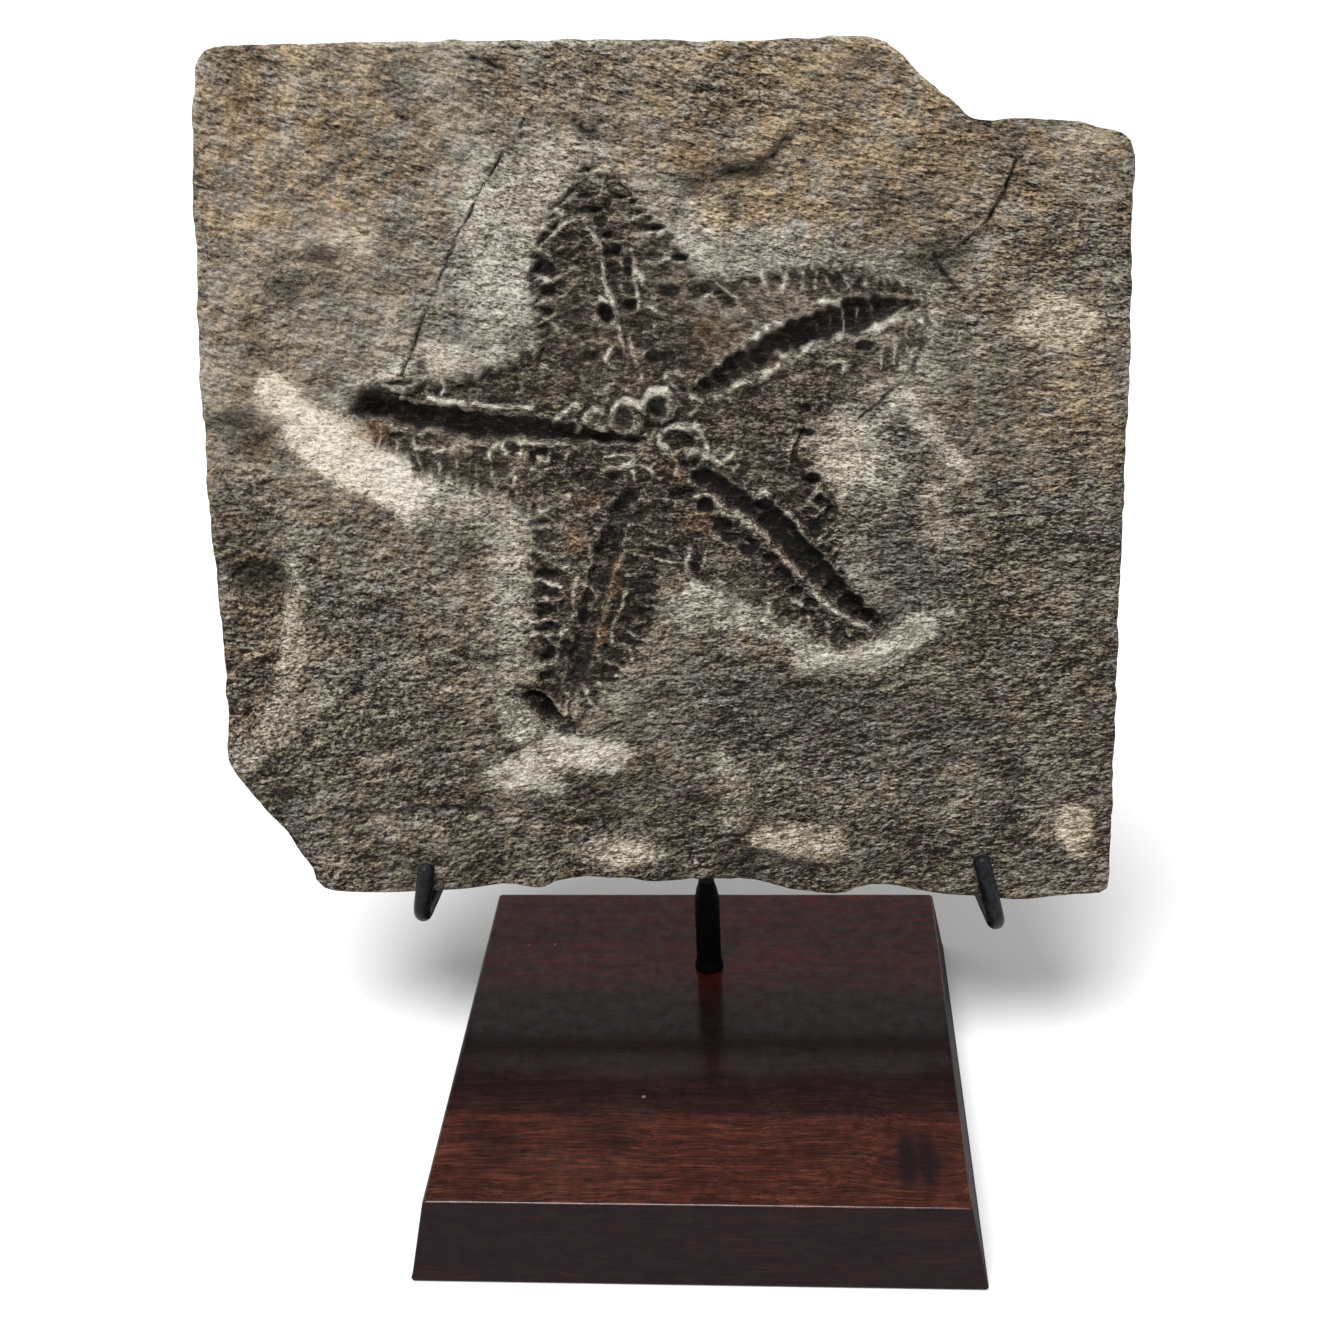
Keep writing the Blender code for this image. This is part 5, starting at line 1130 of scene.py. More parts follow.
    def rim_rows(self, ring: Array, out: Array, front_w: Array, seed: float) -> list[Array]:
        """Return the rows of the broken rim, from under the front edge to the back edge.

        Args:
            ring: u and v of the front sheet's border.
            out: the border's outward directions.
            front_w: height of the border.
            seed: picks the chips' pattern.

        Returns:
            One array of u, v and w for each row.
        """
        edge = ring + self.rim_inset * out
        calm = self.face.calm(edge[:, 0], edge[:, 1])
        bulge = self.seat_bulge * (1.0 - calm)
        chips = [calm * np.clip(0.7 + lumps(edge[:, 0], edge[:, 1], RIM_LUMPS, key), 0.0, 2.0)
                 for key in (5, 17, 29)]
        travelled = path_lengths(np.vstack([edge, edge[:1]]))[:-1]
        middle = self.thickness * self.break_share
        back_edge = ring - chips[2][:, None] * out
        back_w = self.back_height(back_edge[:, 0], back_edge[:, 1])
        rows = []
        for share in self.front_rows:
            depth = -front_w + share * (middle + front_w)
            swell = np.sqrt(1.0 - (1.0 - min(share * middle / self.rim_rounding, 1.0)) ** 2)
            tuck = (chips[0] - 0.5 * bulge) * max(0.0, (share * middle - self.rim_rounding)
                                                  / (middle - self.rim_rounding))
            rough = self.rim_roughness(travelled, depth, calm, seed) * min(1.0, 4.0 * share)
            rows.append((self.rim_inset * swell - tuck - rough, -depth))
        for share in self.back_rows:
            depth = middle + share * (-back_w - middle)
            knots = (middle, self.thickness - self.rim_rounding, self.thickness)
            tuck = np.array([np.interp(d, knots, (a, b, c)) for d, a, b, c in zip(
                depth, chips[0] - 0.5 * bulge, chips[1] - bulge, self.rim_inset + chips[2])])
            rough = self.rim_roughness(travelled, depth, calm, seed)
            rows.append((self.rim_inset - tuck - rough, -depth))
        placed = [np.column_stack([ring + outset[:, None] * out, w]) for outset, w in rows]
        return [*placed, np.column_stack([back_edge, back_w])]

    def rim_roughness(self, travelled: Array, depth: Array, calm: Array, seed: float) -> Array:
        """Return how far fine breaks cut into the rim."""
        rough = lumps(travelled, depth, ((5.0, 0.24), (2.4, 0.16), (1.3, 0.10)), seed)
        return calm * (rough + 0.1)

    def back_height(self, u: Array, v: Array) -> Array:
        """Return the height of the split back, highest where the rod runs up behind it."""
        relief = np.maximum(1.2 + lumps(u, v, BACK_LUMPS, 41), 0.0)
        fine = np.maximum(0.25 + lumps(u, v, ((7.0, 0.3), (3.8, 0.2)), 43), 0.0)
        relief = np.minimum(relief + fine, self.back_relief)
        return relief * ease(*self.rod_lane, np.abs(u)) - self.thickness

    def back_sheet(self, ring: Array) -> tuple[Array, list[tuple[int, ...]]]:
        """Return the inner points of the back and its triangles, the ring's points coming first."""
        spacing = self.back_cell
        rows = []
        for i, v in enumerate(np.arange(*self.back_v, 0.87 * spacing)):
            u = np.arange(*self.back_u, spacing) + (spacing / 2 if i % 2 else 0.0)
            rows.append(np.column_stack([u, np.full(len(u), v)]))
        inner = np.vstack(rows)
        inner = inner[distance_to_border(ring[::2], inner[:, 0], inner[:, 1]) < -0.7 * spacing]
        points = [Vector(map(float, p)) for p in np.vstack([ring, inner])]
        result = delaunay_2d_cdt(points, [], [list(range(len(ring)))], 1, 1e-6)
        return np.array([tuple(p) for p in result[0]]), [tuple(f) for f in result[2]]

    def build(self, finish: bpy.types.Material) -> bpy.types.Object:
        """Build the slab and give it its stone.

        Args:
            finish: the stone's material.

        Returns:
            The slab's object.
        """
        points, faces, ring, out = self.lattice()
        u, v = points.T
        w, masks = self.face.measure(u, v)
        border = points[ring]
        from_edge = -distance_to_border(border[::3], u, v)
        w -= self.edge_drop * (1.0 - ease(0.0, self.edge_run, from_edge))
        self.rub_and_shade_relief(w, faces, masks)
        deep = np.maximum(-w - self.eased_depth, 0.0)
        w += deep - self.depth_left * np.tanh(deep / self.depth_left)
        sheets = [np.column_stack([points, w])]
        count = len(ring)
        total = len(points)
        loops = [ring]
        for row in self.rim_rows(border, out, w[ring], 107):
            sheets.append(row)
            loops.append(np.arange(total, total + count))
            total += count
        for upper, lower in zip(loops[:-1], loops[1:]):
            for k in range(count):
                m = (k + 1) % count
                faces.append((upper[m], upper[k], lower[k], lower[m]))
        back, triangles = self.back_sheet(sheets[-1][:, :2])
        inner = back[count:]
        sheets.append(np.column_stack([inner, self.back_height(inner[:, 0], inner[:, 1])]))
        name = np.concatenate([loops[-1], np.arange(total, total + len(inner))])
        faces += [(name[c], name[b], name[a]) for a, b, c in triangles]
        places = np.vstack(sheets)
        mesh = bpy.data.meshes.new("sandstone_slab")
        mesh.from_pydata(self.frame.world(*places.T).tolist(), [], [tuple(map(int, f)) for f in faces])
        self.store(mesh, places, masks)
        mesh.shade_smooth()
        mesh.materials.append(finish)
        return new_object("sandstone_slab", mesh)

    def rub_and_shade_relief(self, w: Array, faces: list[tuple[int, ...]], masks: Masks) -> None:
        """Pale the starfish's ridges and darken its hollows: worn and kept film, and painted light and
        shade.

        Args:
            w: height of each point of the front sheet.
            faces: the front sheet's faces.
            masks: the tints that are changed.
        """
        quads = np.array([f for f in faces if len(f) == 4])
        pairs = np.vstack([quads[:, (k, (k + 1) % 4)] for k in range(4)])
        degree = np.maximum(np.bincount(pairs.ravel(), minlength=len(w)), 1)
        level = w.copy()
        for _ in range(self.levelling_rounds):
            total = (np.bincount(pairs[:, 0], level[pairs[:, 1]], len(w))
                     + np.bincount(pairs[:, 1], level[pairs[:, 0]], len(w)))
            level = np.where(degree > 1, total / degree, level)
        hollow = level - w
        stain = masks.layers[Tint.STAIN]
        masks.raise_to(Tint.PALE, self.face.worn_and_lit_crest * stain * ease(0.05, 0.35, -hollow))
        masks.raise_to(Tint.DARK, self.face.film_and_shade_in_hollows * stain * ease(0.05, 0.40, hollow))
        masks.layers[Tint.STAIN] = stain * (1.0 - 0.30 * ease(0.05, 0.35, -hollow))

    def store(self, mesh: bpy.types.Mesh, places: Array, masks: Masks) -> None:
        """Write the tints on the mesh's points, with the rim and back tinted too.

        Args:
            mesh: the slab's mesh.
            places: u, v and w of every point.
            masks: the front sheet's tints.
        """
        u, v, w = places.T
        rest = Masks(len(places))
        self.face.paint_patches(u, v, rest)
        sheet = np.arange(len(places)) < masks.count
        # Pale along the top of the rim and back: settled dust, and painted light on the upward edge.
        dust_and_top_light = 0.45 * ease(1.0, 3.0, -w) * ease(186.0, 194.0, v + 0.12 * np.abs(u))
        broad = lumps(u, v, ((36.0, 0.5), (17.0, 0.4)), 109)
        rest.layers[Tint.DARK] *= 0.3
        rest.layers[Tint.PALE] = 0.3 * rest.layers[Tint.PALE] + dust_and_top_light + 0.25 * ease(0.1, 0.7, broad)
        rest.layers[Tint.OCHRE] = np.maximum(rest.layers[Tint.OCHRE], 0.6 * ease(-0.1, 0.6, -broad))
        for tint in Tint:
            rest.layers[tint][sheet] = masks.layers[tint]
        for name, tints in (("tones", (Tint.STAIN, Tint.PALE, Tint.DARK)),
                            ("tints", (Tint.OCHRE, Tint.RUST, Tint.COOL))):
            layer = mesh.attributes.new(name, "FLOAT_COLOR", "POINT")
            layer.data.foreach_set("color", rest.packed(tints, self.face.coarseness(u, v)).ravel())


# ------------------------------------------------------------------ node trees


class Graph:
    """A node tree under construction, with short calls for the nodes that the finishes use."""

    def __init__(self, tree: bpy.types.NodeTree) -> None:
        """Start from a tree without nodes."""
        self.tree = tree
        tree.nodes.clear()

    def node(self, kind: str, inputs: dict | None = None, **settings: object) -> bpy.types.Node:
        """Add a node.

        Args:
            kind: the node's type name.
            inputs: a value or a socket for each named input.
            settings: properties of the node.

        Returns:
            The new node.
        """
        item = self.tree.nodes.new(kind)
        for name, value in settings.items():
            setattr(item, name, value)
        for name, value in (inputs or {}).items():
            self.feed(self.socket(item.inputs, name), value)
        return item

    @staticmethod
    def socket(sockets: Sockets, name: str) -> Socket:
        """Return a socket by its identifier, or else by its name."""
        return next((s for s in sockets if s.identifier == name), None) or sockets[name]

    def feed(self, socket: Socket, value: object) -> None:
        """Link a socket to an input, or set the input's own value."""
        if isinstance(value, Socket):
            self.tree.links.new(value, socket)
        else:
            socket.default_value = value

    def math(self, operation: str, *values: object, clamp: bool = False) -> Socket:
        """Return the result of a Math node."""
        item = self.node("ShaderNodeMath", operation=operation, use_clamp=clamp)
        for socket, value in zip(item.inputs, values):
            self.feed(socket, value)
        return item.outputs[0]

    def add(self, a: object, b: object, clamp: bool = False) -> Socket:
        """Return a + b."""
        return self.math("ADD", a, b, clamp=clamp)

    def minus(self, a: object, b: object, clamp: bool = False) -> Socket:
        """Return a - b."""
        return self.math("SUBTRACT", a, b, clamp=clamp)

    def times(self, a: object, b: object, clamp: bool = False) -> Socket:
        """Return a * b."""
        return self.math("MULTIPLY", a, b, clamp=clamp)

    def swing(self, value: object, share: object) -> Socket:
        """Return how far a value is from one half, times a share."""
        return self.times(self.minus(value, 0.5), share)

    def vector_math(self, operation: str, a: object, b: object) -> Socket:
        """Return the vector that a Vector Math node makes of two others."""
        item = self.node("ShaderNodeVectorMath", operation=operation)
        self.feed(item.inputs[0], a)
        self.feed(item.inputs[1], b)
        return item.outputs[0]

    def vector(self, x: object, y: object, z: object) -> Socket:
        """Return a vector made of its three parts."""
        return self.node("ShaderNodeCombineXYZ", {"X": x, "Y": y, "Z": z}).outputs[0]

    def parts(self, vector: object) -> Sockets:
        """Return the X, Y and Z of a vector."""
        return self.node("ShaderNodeSeparateXYZ", {"Vector": vector}).outputs

    def channels(self, colour: object) -> Sockets:
        """Return the Red, Green and Blue of a colour."""
        return self.node("ShaderNodeSeparateColor", {"Color": colour}).outputs

    def facing(self) -> Sockets:
        """Return the X, Y and Z of the way that the surface faces."""
        return self.parts(self.node("ShaderNodeNewGeometry").outputs["Normal"])

    def use(self, group: bpy.types.NodeTree, inputs: dict[str, object]) -> Socket:
        """Return what a shared group makes of the given inputs."""
        return self.node("ShaderNodeGroup", inputs, node_tree=group).outputs[0]

    def cells(self, vector: object, size: float) -> Sockets:
        """Return the outputs of a pattern of cells of the given size."""
        return self.node("ShaderNodeTexVoronoi", {"Vector": vector, "Scale": 1.0 / size}).outputs

    def mix(self, factor: object, a: object, b: object, blend: str = "MIX") -> Socket:
        """Return the mix of two colours."""
        item = self.node("ShaderNodeMix", {"Factor_Float": factor, "A_Color": a, "B_Color": b},
                         data_type="RGBA", blend_type=blend)
        return self.socket(item.outputs, "Result_Color")

    def remap(self, value: object, low: float, high: float, to_low: float = 0.0,
              to_high: float = 1.0) -> Socket:
        """Return a value carried from one range to another with eased ends."""
        item = self.node("ShaderNodeMapRange", {"Value": value, "From Min": low, "From Max": high,
                                                "To Min": to_low, "To Max": to_high},
                         interpolation_type="SMOOTHSTEP")
        return item.outputs["Result"]

    def noise(self, vector: object, size: float, detail: float = 2.0, roughness: object = 0.5) -> Socket:
        """Return soft noise whose features are about the given size across."""
        item = self.node("ShaderNodeTexNoise", {"Vector": vector, "Scale": 1.0 / size, "Detail": detail,
                                                "Roughness": roughness})
        return item.outputs["Fac"]

    def ramp(self, value: object, stops: Sequence[tuple[float, Triple]]) -> Socket:
        """Return a colour read from a ramp."""
        item = self.node("ShaderNodeValToRGB", {"Fac": value})
        elements = item.color_ramp.elements
        while len(elements) < len(stops):
            elements.new(0.5)
        for element, (place, colour) in zip(elements, stops):
            element.position = place
            element.color = (*colour, 1.0)
        return item.outputs["Color"]

    def shift(self, vector: object, scale: Triple, turn: Triple = (0.0, 0.0, 0.0),
              place: Triple = (0.0, 0.0, 0.0)) -> Socket:
        """Return a vector scaled, turned and moved by a Mapping node."""
        item = self.node("ShaderNodeMapping", {"Vector": vector, "Scale": scale, "Rotation": turn,
                                               "Location": place})
        return item.outputs["Vector"]

    def in_millimetres(self, turn: Triple = (0.0, 0.0, 0.0)) -> Socket:
        """Return the piece's own coordinates in millimetres."""
        source = self.node("ShaderNodeTexCoord").outputs["Object"]
        return self.shift(source, (1 / MM,) * 3, turn)

    def spot(self, vector: object, centre: Triple, half: Triple) -> Socket:
        """Return 1 in the middle of a soft ellipse and 0 outside it."""
        scale = tuple(1.0 / h for h in half)
        place = tuple(-c / h for c, h in zip(centre, half))
        moved = self.shift(vector, scale, place=place)
        length = self.node("ShaderNodeVectorMath", {"Vector": moved}, operation="LENGTH")
        return self.remap(length.outputs["Value"], 0.35, 1.0, 1.0, 0.0)


def shader_group(name: str, inputs: dict[str, tuple[str, object]], outputs: dict[str, str]
                 ) -> tuple[Graph, Sockets, Sockets]:
    """Start a shader node group.

    Args:
        name: the group's name.
        inputs: for each input, its kind (FLOAT or VECTOR) and its value at rest.
        outputs: for each output, its kind.

    Returns:
        The group's graph, what it is given and where its results go.
    """
    tree = bpy.data.node_groups.new(name, "ShaderNodeTree")
    kinds = {"FLOAT": "NodeSocketFloat", "VECTOR": "NodeSocketVector", "COLOUR": "NodeSocketColor"}
    for label, (kind, value) in inputs.items():
        socket = tree.interface.new_socket(label, in_out="INPUT", socket_type=kinds[kind])
        if value is not None:
            socket.default_value = value
    for label, kind in outputs.items():
        tree.interface.new_socket(label, in_out="OUTPUT", socket_type=kinds[kind])
    graph = Graph(tree)
    return graph, graph.node("NodeGroupInput").outputs, graph.node("NodeGroupOutput").inputs


class SharedEffects:
    """Node groups that more than one finish uses, each built once."""

    def __init__(self) -> None:
        """Build the groups."""
        self.grain = self.build_grain()
        self.wear = self.build_wear()
        self.dust = self.build_dust()

    @staticmethod
    def build_grain() -> bpy.types.NodeTree:
        """Build grain that is drawn out along X and drifts up and down."""
        graph, given, result = shader_group(
            "Streaked Grain",
            {"Vector": ("VECTOR", None), "Length": ("FLOAT", 1.2), "Width": ("FLOAT", 0.5),
             "Drift": ("FLOAT", 0.0), "Drift Size": ("FLOAT", 30.0), "Roughness": ("FLOAT", 0.6)},
            {"Value": "FLOAT"})
        slow = graph.vector_math("DIVIDE", given["Vector"], given["Drift Size"])
        lift = graph.swing(graph.noise(slow, 1.0, 1.0), given["Drift"])
        moved = graph.vector_math("ADD", given["Vector"], graph.vector(0.0, lift, lift))
        size = graph.vector(given["Length"], given["Width"], given["Width"])
        scaled = graph.vector_math("DIVIDE", moved, size)
        graph.feed(result["Value"], graph.noise(scaled, 1.0, 2.0, given["Roughness"]))
        return graph.tree

    @staticmethod
    def build_wear() -> bpy.types.NodeTree:
        """Build wear that rubs through a finish along its edges, more in some places."""
        graph, given, result = shader_group(
            "Edge Wear",
            {"Edge": ("FLOAT", 0.0), "Vector": ("VECTOR", None), "Amount": ("FLOAT", 0.5),
             "Patch Size": ("FLOAT", 6.0)},
            {"Mask": "FLOAT"})
        scaled = graph.vector_math("DIVIDE", given["Vector"], given["Patch Size"])
        level = graph.times(graph.noise(scaled, 1.0, 4.0, 0.7), given["Edge"])
        raised = graph.add(level, graph.minus(given["Amount"], 1.0))
        graph.feed(result["Mask"], graph.times(raised, 5.0, clamp=True))
        return graph.tree

    @staticmethod
    def build_dust() -> bpy.types.NodeTree:
        """Build fine specks of dust on faces that look up."""
        graph, given, result = shader_group(
            "Settled Dust",
            {"Vector": ("VECTOR", None), "Speck Size": ("FLOAT", 2.0), "Amount": ("FLOAT", 0.1)},
            {"Mask": "FLOAT"})
        cells = graph.cells(graph.vector_math("DIVIDE", given["Vector"], given["Speck Size"]), 1.0)
        kept = graph.math("LESS_THAN", graph.channels(cells["Color"])["Red"], given["Amount"])
        dot = graph.remap(cells["Distance"], 0.04, 0.10, 1.0, 0.0)
        level = graph.remap(graph.facing()["Z"], 0.2, 0.8)
        graph.feed(result["Mask"], graph.times(graph.times(kept, dot), level))
        return graph.tree


def start_material(name: str) -> tuple[bpy.types.Material, Graph]:
    """Return a new material and its empty graph."""
    material = bpy.data.materials.new(name)
    material.use_nodes = True
    return material, Graph(material.node_tree)


def close_material(graph: Graph, inputs: dict[str, object], height: object, distance: float) -> None:
    """End a finish in a Principled shader with a bump.

    Args:
        graph: the material's graph.
        inputs: values and sockets of the shader.
        height: the bump's height.
        distance: how far a height of 1 stands out, in millimetres.
    """
    bump = graph.node("ShaderNodeBump", {"Height": height, "Distance": distance * MM, "Strength": 1.0})
    shader = graph.node("ShaderNodeBsdfPrincipled", {**inputs, "Normal": bump.outputs["Normal"]})
    graph.node("ShaderNodeOutputMaterial", {"Surface": shader.outputs["BSDF"]})


@dataclass(frozen=True)
class SandstoneFinish:
    """Grey-brown granular sandstone, tinted by the slab's own masks."""

    lean: float
    grain_length: float = 1.0
    grain_width: float = 0.39
    crystal_size: float = 0.54
    grit_size: float = 0.42
    plate_size: float = 2.3
    drift: float = 9.0
    bump_height: float = 1.0
    scale_pitches: tuple[float, float] = (3.1, 1.35)
    comb: float = 0.0018
    # Size, upward offset and share of each layer of painted side light
    ripples: tuple[Triple, ...] = ((1.1, 0.26, 1.60), (2.8, 0.60, 1.70))
    comb_centre: float = 140.0
    ochre_turn: tuple[float, ...] = (1.26, 1.05, 0.80, 1.0)
    ochre_grain: tuple[float, ...] = (0.25, 0.155, 0.085, 1.0)
    cool_turn: tuple[float, ...] = (0.86, 0.97, 1.10, 1.0)
    tan_turn: tuple[float, ...] = (1.04, 0.90, 0.70, 1.0)
    rust_turn: tuple[float, ...] = (0.62, 0.36, 0.20, 1.0)
    # Colour of the dark mask: darker plates and film, and painted shade in hollows, grooves, pits and
    # cracks
    hollow: tuple[float, ...] = (0.008, 0.0075, 0.007, 1.0)
    matrix: tuple[tuple[float, Triple], ...] = (
        (0.00, (0.0050, 0.0038, 0.0026)), (0.25, (0.0400, 0.0322, 0.0228)), (0.50, (0.122, 0.105, 0.0815)),
        (0.74, (0.228, 0.202, 0.165)), (1.00, (0.400, 0.362, 0.306)))
    crumbly: tuple[tuple[float, Triple], ...] = (
        (0.00, (0.085, 0.067, 0.046)), (0.32, (0.255, 0.217, 0.165)), (0.62, (0.470, 0.425, 0.350)),
        (1.00, (0.740, 0.690, 0.600)))
    film: tuple[tuple[float, Triple], ...] = (
        (0.00, (0.0035, 0.0026, 0.0019)), (0.30, (0.0160, 0.0114, 0.0078)), (0.55, (0.050, 0.0372, 0.0264)),
        (0.78, (0.115, 0.089, 0.066)), (1.00, (0.255, 0.212, 0.168)))

    def make(self, effects: SharedEffects) -> bpy.types.Material:
        """Build the stone.

        Args:
            effects: the shared node groups.

        Returns:
            The material.
        """
        material, graph = start_material("sandstone")
        mm = graph.in_millimetres((self.lean, 0.0, 0.0))
        combed = self.combed(graph, mm)
        fine = self.grain(graph, effects, combed, self.grain_length, self.grain_width)
        coarse = self.grain(graph, effects, combed, 3.5, 1.25)
        large, small = (self.scales(graph, combed, pitch) for pitch in self.scale_pitches)
        cloud = graph.noise(mm, 15.0, 4.0, 0.6)
        cells = graph.cells(graph.shift(combed, (0.60, 1.0, 1.0)), self.crystal_size)
        crystal = graph.channels(cells["Color"])
        plate = graph.channels(graph.cells(graph.shift(mm, (0.8, 1.0, 1.0)), self.plate_size)["Color"])
        (tones, _), (tints, bold) = (self.masks(graph, name) for name in ("tones", "tints"))
        tone = self.tone(graph, fine, coarse, cloud, crystal["Red"], bold)
        # Painted light: the face turns lighter towards its top, as under a lamp overhead.
        level = graph.parts(mm)["Z"]
        tone = graph.add(tone, graph.remap(level, 60.0, 250.0, -0.07, 0.09))
        tone = graph.add(tone, self.painted_side_light(graph, combed, bold))
        specks = graph.cells(graph.shift(combed, (0.66, 1.0, 1.0)), self.grit_size)
        speck = graph.channels(specks["Color"])["Red"]
        speck = graph.minus(graph.math("SQRT", speck), 0.667)
        tone = graph.add(tone, graph.times(speck, graph.remap(bold, 0.3, 0.9, 0.12, 0.60)))
        # Painted shade in the low places of the fine grain.
        gaps = graph.times(graph.remap(fine, 0.46, 0.30), graph.remap(bold, 0.2, 0.9, 0.16, 0.34))
        tone = graph.add(graph.minus(tone, gaps), 0.058)
        # Painted shadow under the lower edges of the overhanging scales.
        edges = graph.add(graph.times(large[1], 0.22), graph.times(small[1], 0.24))
        tone = graph.minus(tone, graph.times(edges, graph.add(bold, 0.35)), clamp=True)
        colour = self.tinted(graph, graph.ramp(tone, self.matrix), tints,
                             crystal["Green"], graph.noise(mm, 4.5, 3.0, 0.65))
        pale = self.broken(graph, tones["Green"], fine, crystal["Green"])
        chalk = graph.add(tone, graph.times(tones["Green"], 0.26))
        colour = graph.mix(pale, colour, self.warmed(graph, graph.ramp(chalk, self.crumbly), tints))
        dark = self.broken(graph, tones["Blue"], coarse, crystal["Red"], 0.4)
        stain = self.broken(graph, tones["Red"], fine, crystal["Blue"], 0.5)
        film_tone = graph.add(tone, graph.swing(plate["Red"], 0.22))
        film_tone = graph.add(film_tone, graph.times(speck, 0.25))
        film = graph.ramp(film_tone, self.film)
        stain = graph.times(graph.remap(stain, 0.06, 0.62), graph.minus(1.0, graph.times(pale, 0.85)))
        colour = graph.mix(stain, colour, film)
        rust = self.broken(graph, tints["Green"], fine, crystal["Red"])
        ochre_brown = graph.mix(1.0, graph.ramp(tone, self.crumbly), self.rust_turn, "MULTIPLY")
        colour = graph.mix(graph.times(rust, 0.6), colour, ochre_brown)
        # The dark mask: darker plates and film in part, painted shade in the hollows, grooves, pits and
        # cracks.
        colour = graph.mix(graph.times(dark, 0.93), colour, self.hollow)
        height = graph.add(graph.times(fine, 0.65), graph.times(coarse, 1.1))
        for scale, rise in ((large, 0.70), (small, 0.42)):
            height = graph.add(height, graph.times(scale[0], rise))
        rugged = graph.noise(graph.shift(combed, (0.7, 1.0, 1.0)), 5.2, 4.0, 0.62)
        height = graph.add(height, graph.times(rugged, 4.2))
        dome = graph.times(cells["Distance"], -0.22)
        height = graph.times(graph.add(height, dome),
                            graph.remap(bold, 0.2, 1.0, 0.75, 1.25))
        close_material(graph, {"Base Color": colour, "Roughness": 0.93, "Specular IOR Level": 0.2},
                       height, self.bump_height)
        return material

    def painted_side_light(self, graph: Graph, vector: object, bold: object) -> Socket:
        """Return painted light and shade: the upper sides of grains and ripples lighter than their lower
        sides.

        Args:
            graph: the stone's nodes.
            vector: the places in millimetres.
            bold: how coarse the ground is.

        Returns:
            The painted change of tone, around zero.
        """
        total = 0.0
        for size, rise, share in self.ripples:
            here = graph.noise(graph.shift(vector, (0.55, 1.0, 1.0)), size, 3.0, 0.62)
            above = graph.noise(graph.shift(vector, (0.55, 1.0, 1.0), place=(-0.3 * rise, 0.0, rise)),
                                size, 3.0, 0.62)
            step = graph.times(graph.minus(here, above), share)
            total = graph.add(step, total)
        return graph.times(total, graph.remap(bold, 0.1, 1.0, 0.8, 1.25))

    def combed(self, graph: Graph, vector: object) -> Socket:
        """Return places whose rows fall to the right high on the face and rise to the right low down."""
        place = graph.parts(vector)
        level = graph.times(graph.minus(place["Z"], self.comb_centre), self.comb)
        raised = graph.add(place["Z"], graph.times(place["X"], level))
        return graph.vector(place["X"], place["Y"], raised)

    @staticmethod
    def scales(graph: Graph, vector: object, pitch: float
               ) -> tuple[Socket, Socket]:
        """Return the height of thin scales that overhang each other, and the painted shadow under their
        edges.
        """
        warp = graph.noise(graph.shift(vector, (0.30, 1.0, 1.0)), 1.4 * pitch, 3.0, 0.62)
        rise = graph.parts(vector)["Z"]
        phase = graph.add(graph.math("DIVIDE", rise, pitch), graph.times(warp, 3.4))
        saw = graph.math("FRACT", phase)
        kept = graph.remap(graph.noise(vector, 2.4 * pitch, 1.0), 0.40, 0.60)
        height = graph.times(graph.minus(1.0, saw), kept)
        return height, graph.times(graph.remap(saw, 0.66, 0.97), kept)

    def grain(self, graph: Graph, effects: SharedEffects, vector: object, length: float,
              width: float) -> Socket:
        """Return streaked grain of one size."""
        return graph.use(effects.grain, {"Vector": vector, "Length": length, "Width": width,
                                         "Drift": self.drift, "Drift Size": 60.0, "Roughness": 0.68})

    @staticmethod
    def masks(graph: Graph, name: str) -> tuple[Sockets, Socket]:
        """Return the three layers of one of the slab's colour attributes, and its alpha."""
        source = graph.node("ShaderNodeAttribute", attribute_name=name)
        return graph.channels(source.outputs["Color"]), source.outputs["Alpha"]

    @staticmethod
    def tone(graph: Graph, fine: object, coarse: object, cloud: object, crystal: object, bold: object
             ) -> Socket:
        """Return how light the grains are, from 0 to 1."""
        total = 0.0
        for source, share in ((fine, 0.46), (coarse, 0.55), (crystal, 0.34)):
            total = graph.add(graph.swing(source, share), total)
        total = graph.times(total, graph.remap(bold, 0.1, 1.0, 0.6, 1.45))
        total = graph.add(graph.add(total, graph.swing(cloud, 1.05)), 0.58)
        return graph.minus(total, graph.times(bold, 0.16))

    @staticmethod
    def broken(graph: Graph, mask: object, grain: object, crystal: object, spread: float = 0.6
               ) -> Socket:
        """Return a mask that breaks up into grains."""
        shaken = graph.add(graph.swing(grain, 3.4 * spread), graph.swing(crystal, 0.7 * spread))
        gate = graph.remap(mask, 0.0, 0.5)
        return graph.add(mask, graph.times(shaken, gate), clamp=True)

    def tinted(self, graph: Graph, colour: object, tints: Sockets, crystal: object, patch: object
               ) -> Socket:
        """Return the matrix turned towards ochre and blue-grey where the masks say so."""
        local = graph.remap(patch, 0.36, 0.66)
        warm_share = graph.add(graph.times(tints["Red"], 0.75), graph.times(local, 0.25))
        warm = graph.mix(1.0, colour, self.ochre_turn, "MULTIPLY")
        colour = graph.mix(graph.times(warm_share, graph.add(local, 0.55)), colour, warm)
        grain = graph.times(graph.remap(crystal, 0.78, 0.92), graph.times(warm_share, 0.35))
        colour = graph.mix(grain, colour, self.ochre_grain)
        cold = graph.mix(1.0, colour, self.cool_turn, "MULTIPLY")
        chill = graph.add(tints["Blue"], graph.remap(patch, 0.50, 0.34, 0.0, 0.35), clamp=True)
        return graph.mix(chill, colour, cold)

    def warmed(self, graph: Graph, colour: object, tints: Sockets) -> Socket:
        """Return the crumbly mineral turned towards tan where the ground is ochre."""
        tan = graph.mix(1.0, colour, self.tan_turn, "MULTIPLY")
        return graph.mix(tints["Red"], colour, tan)


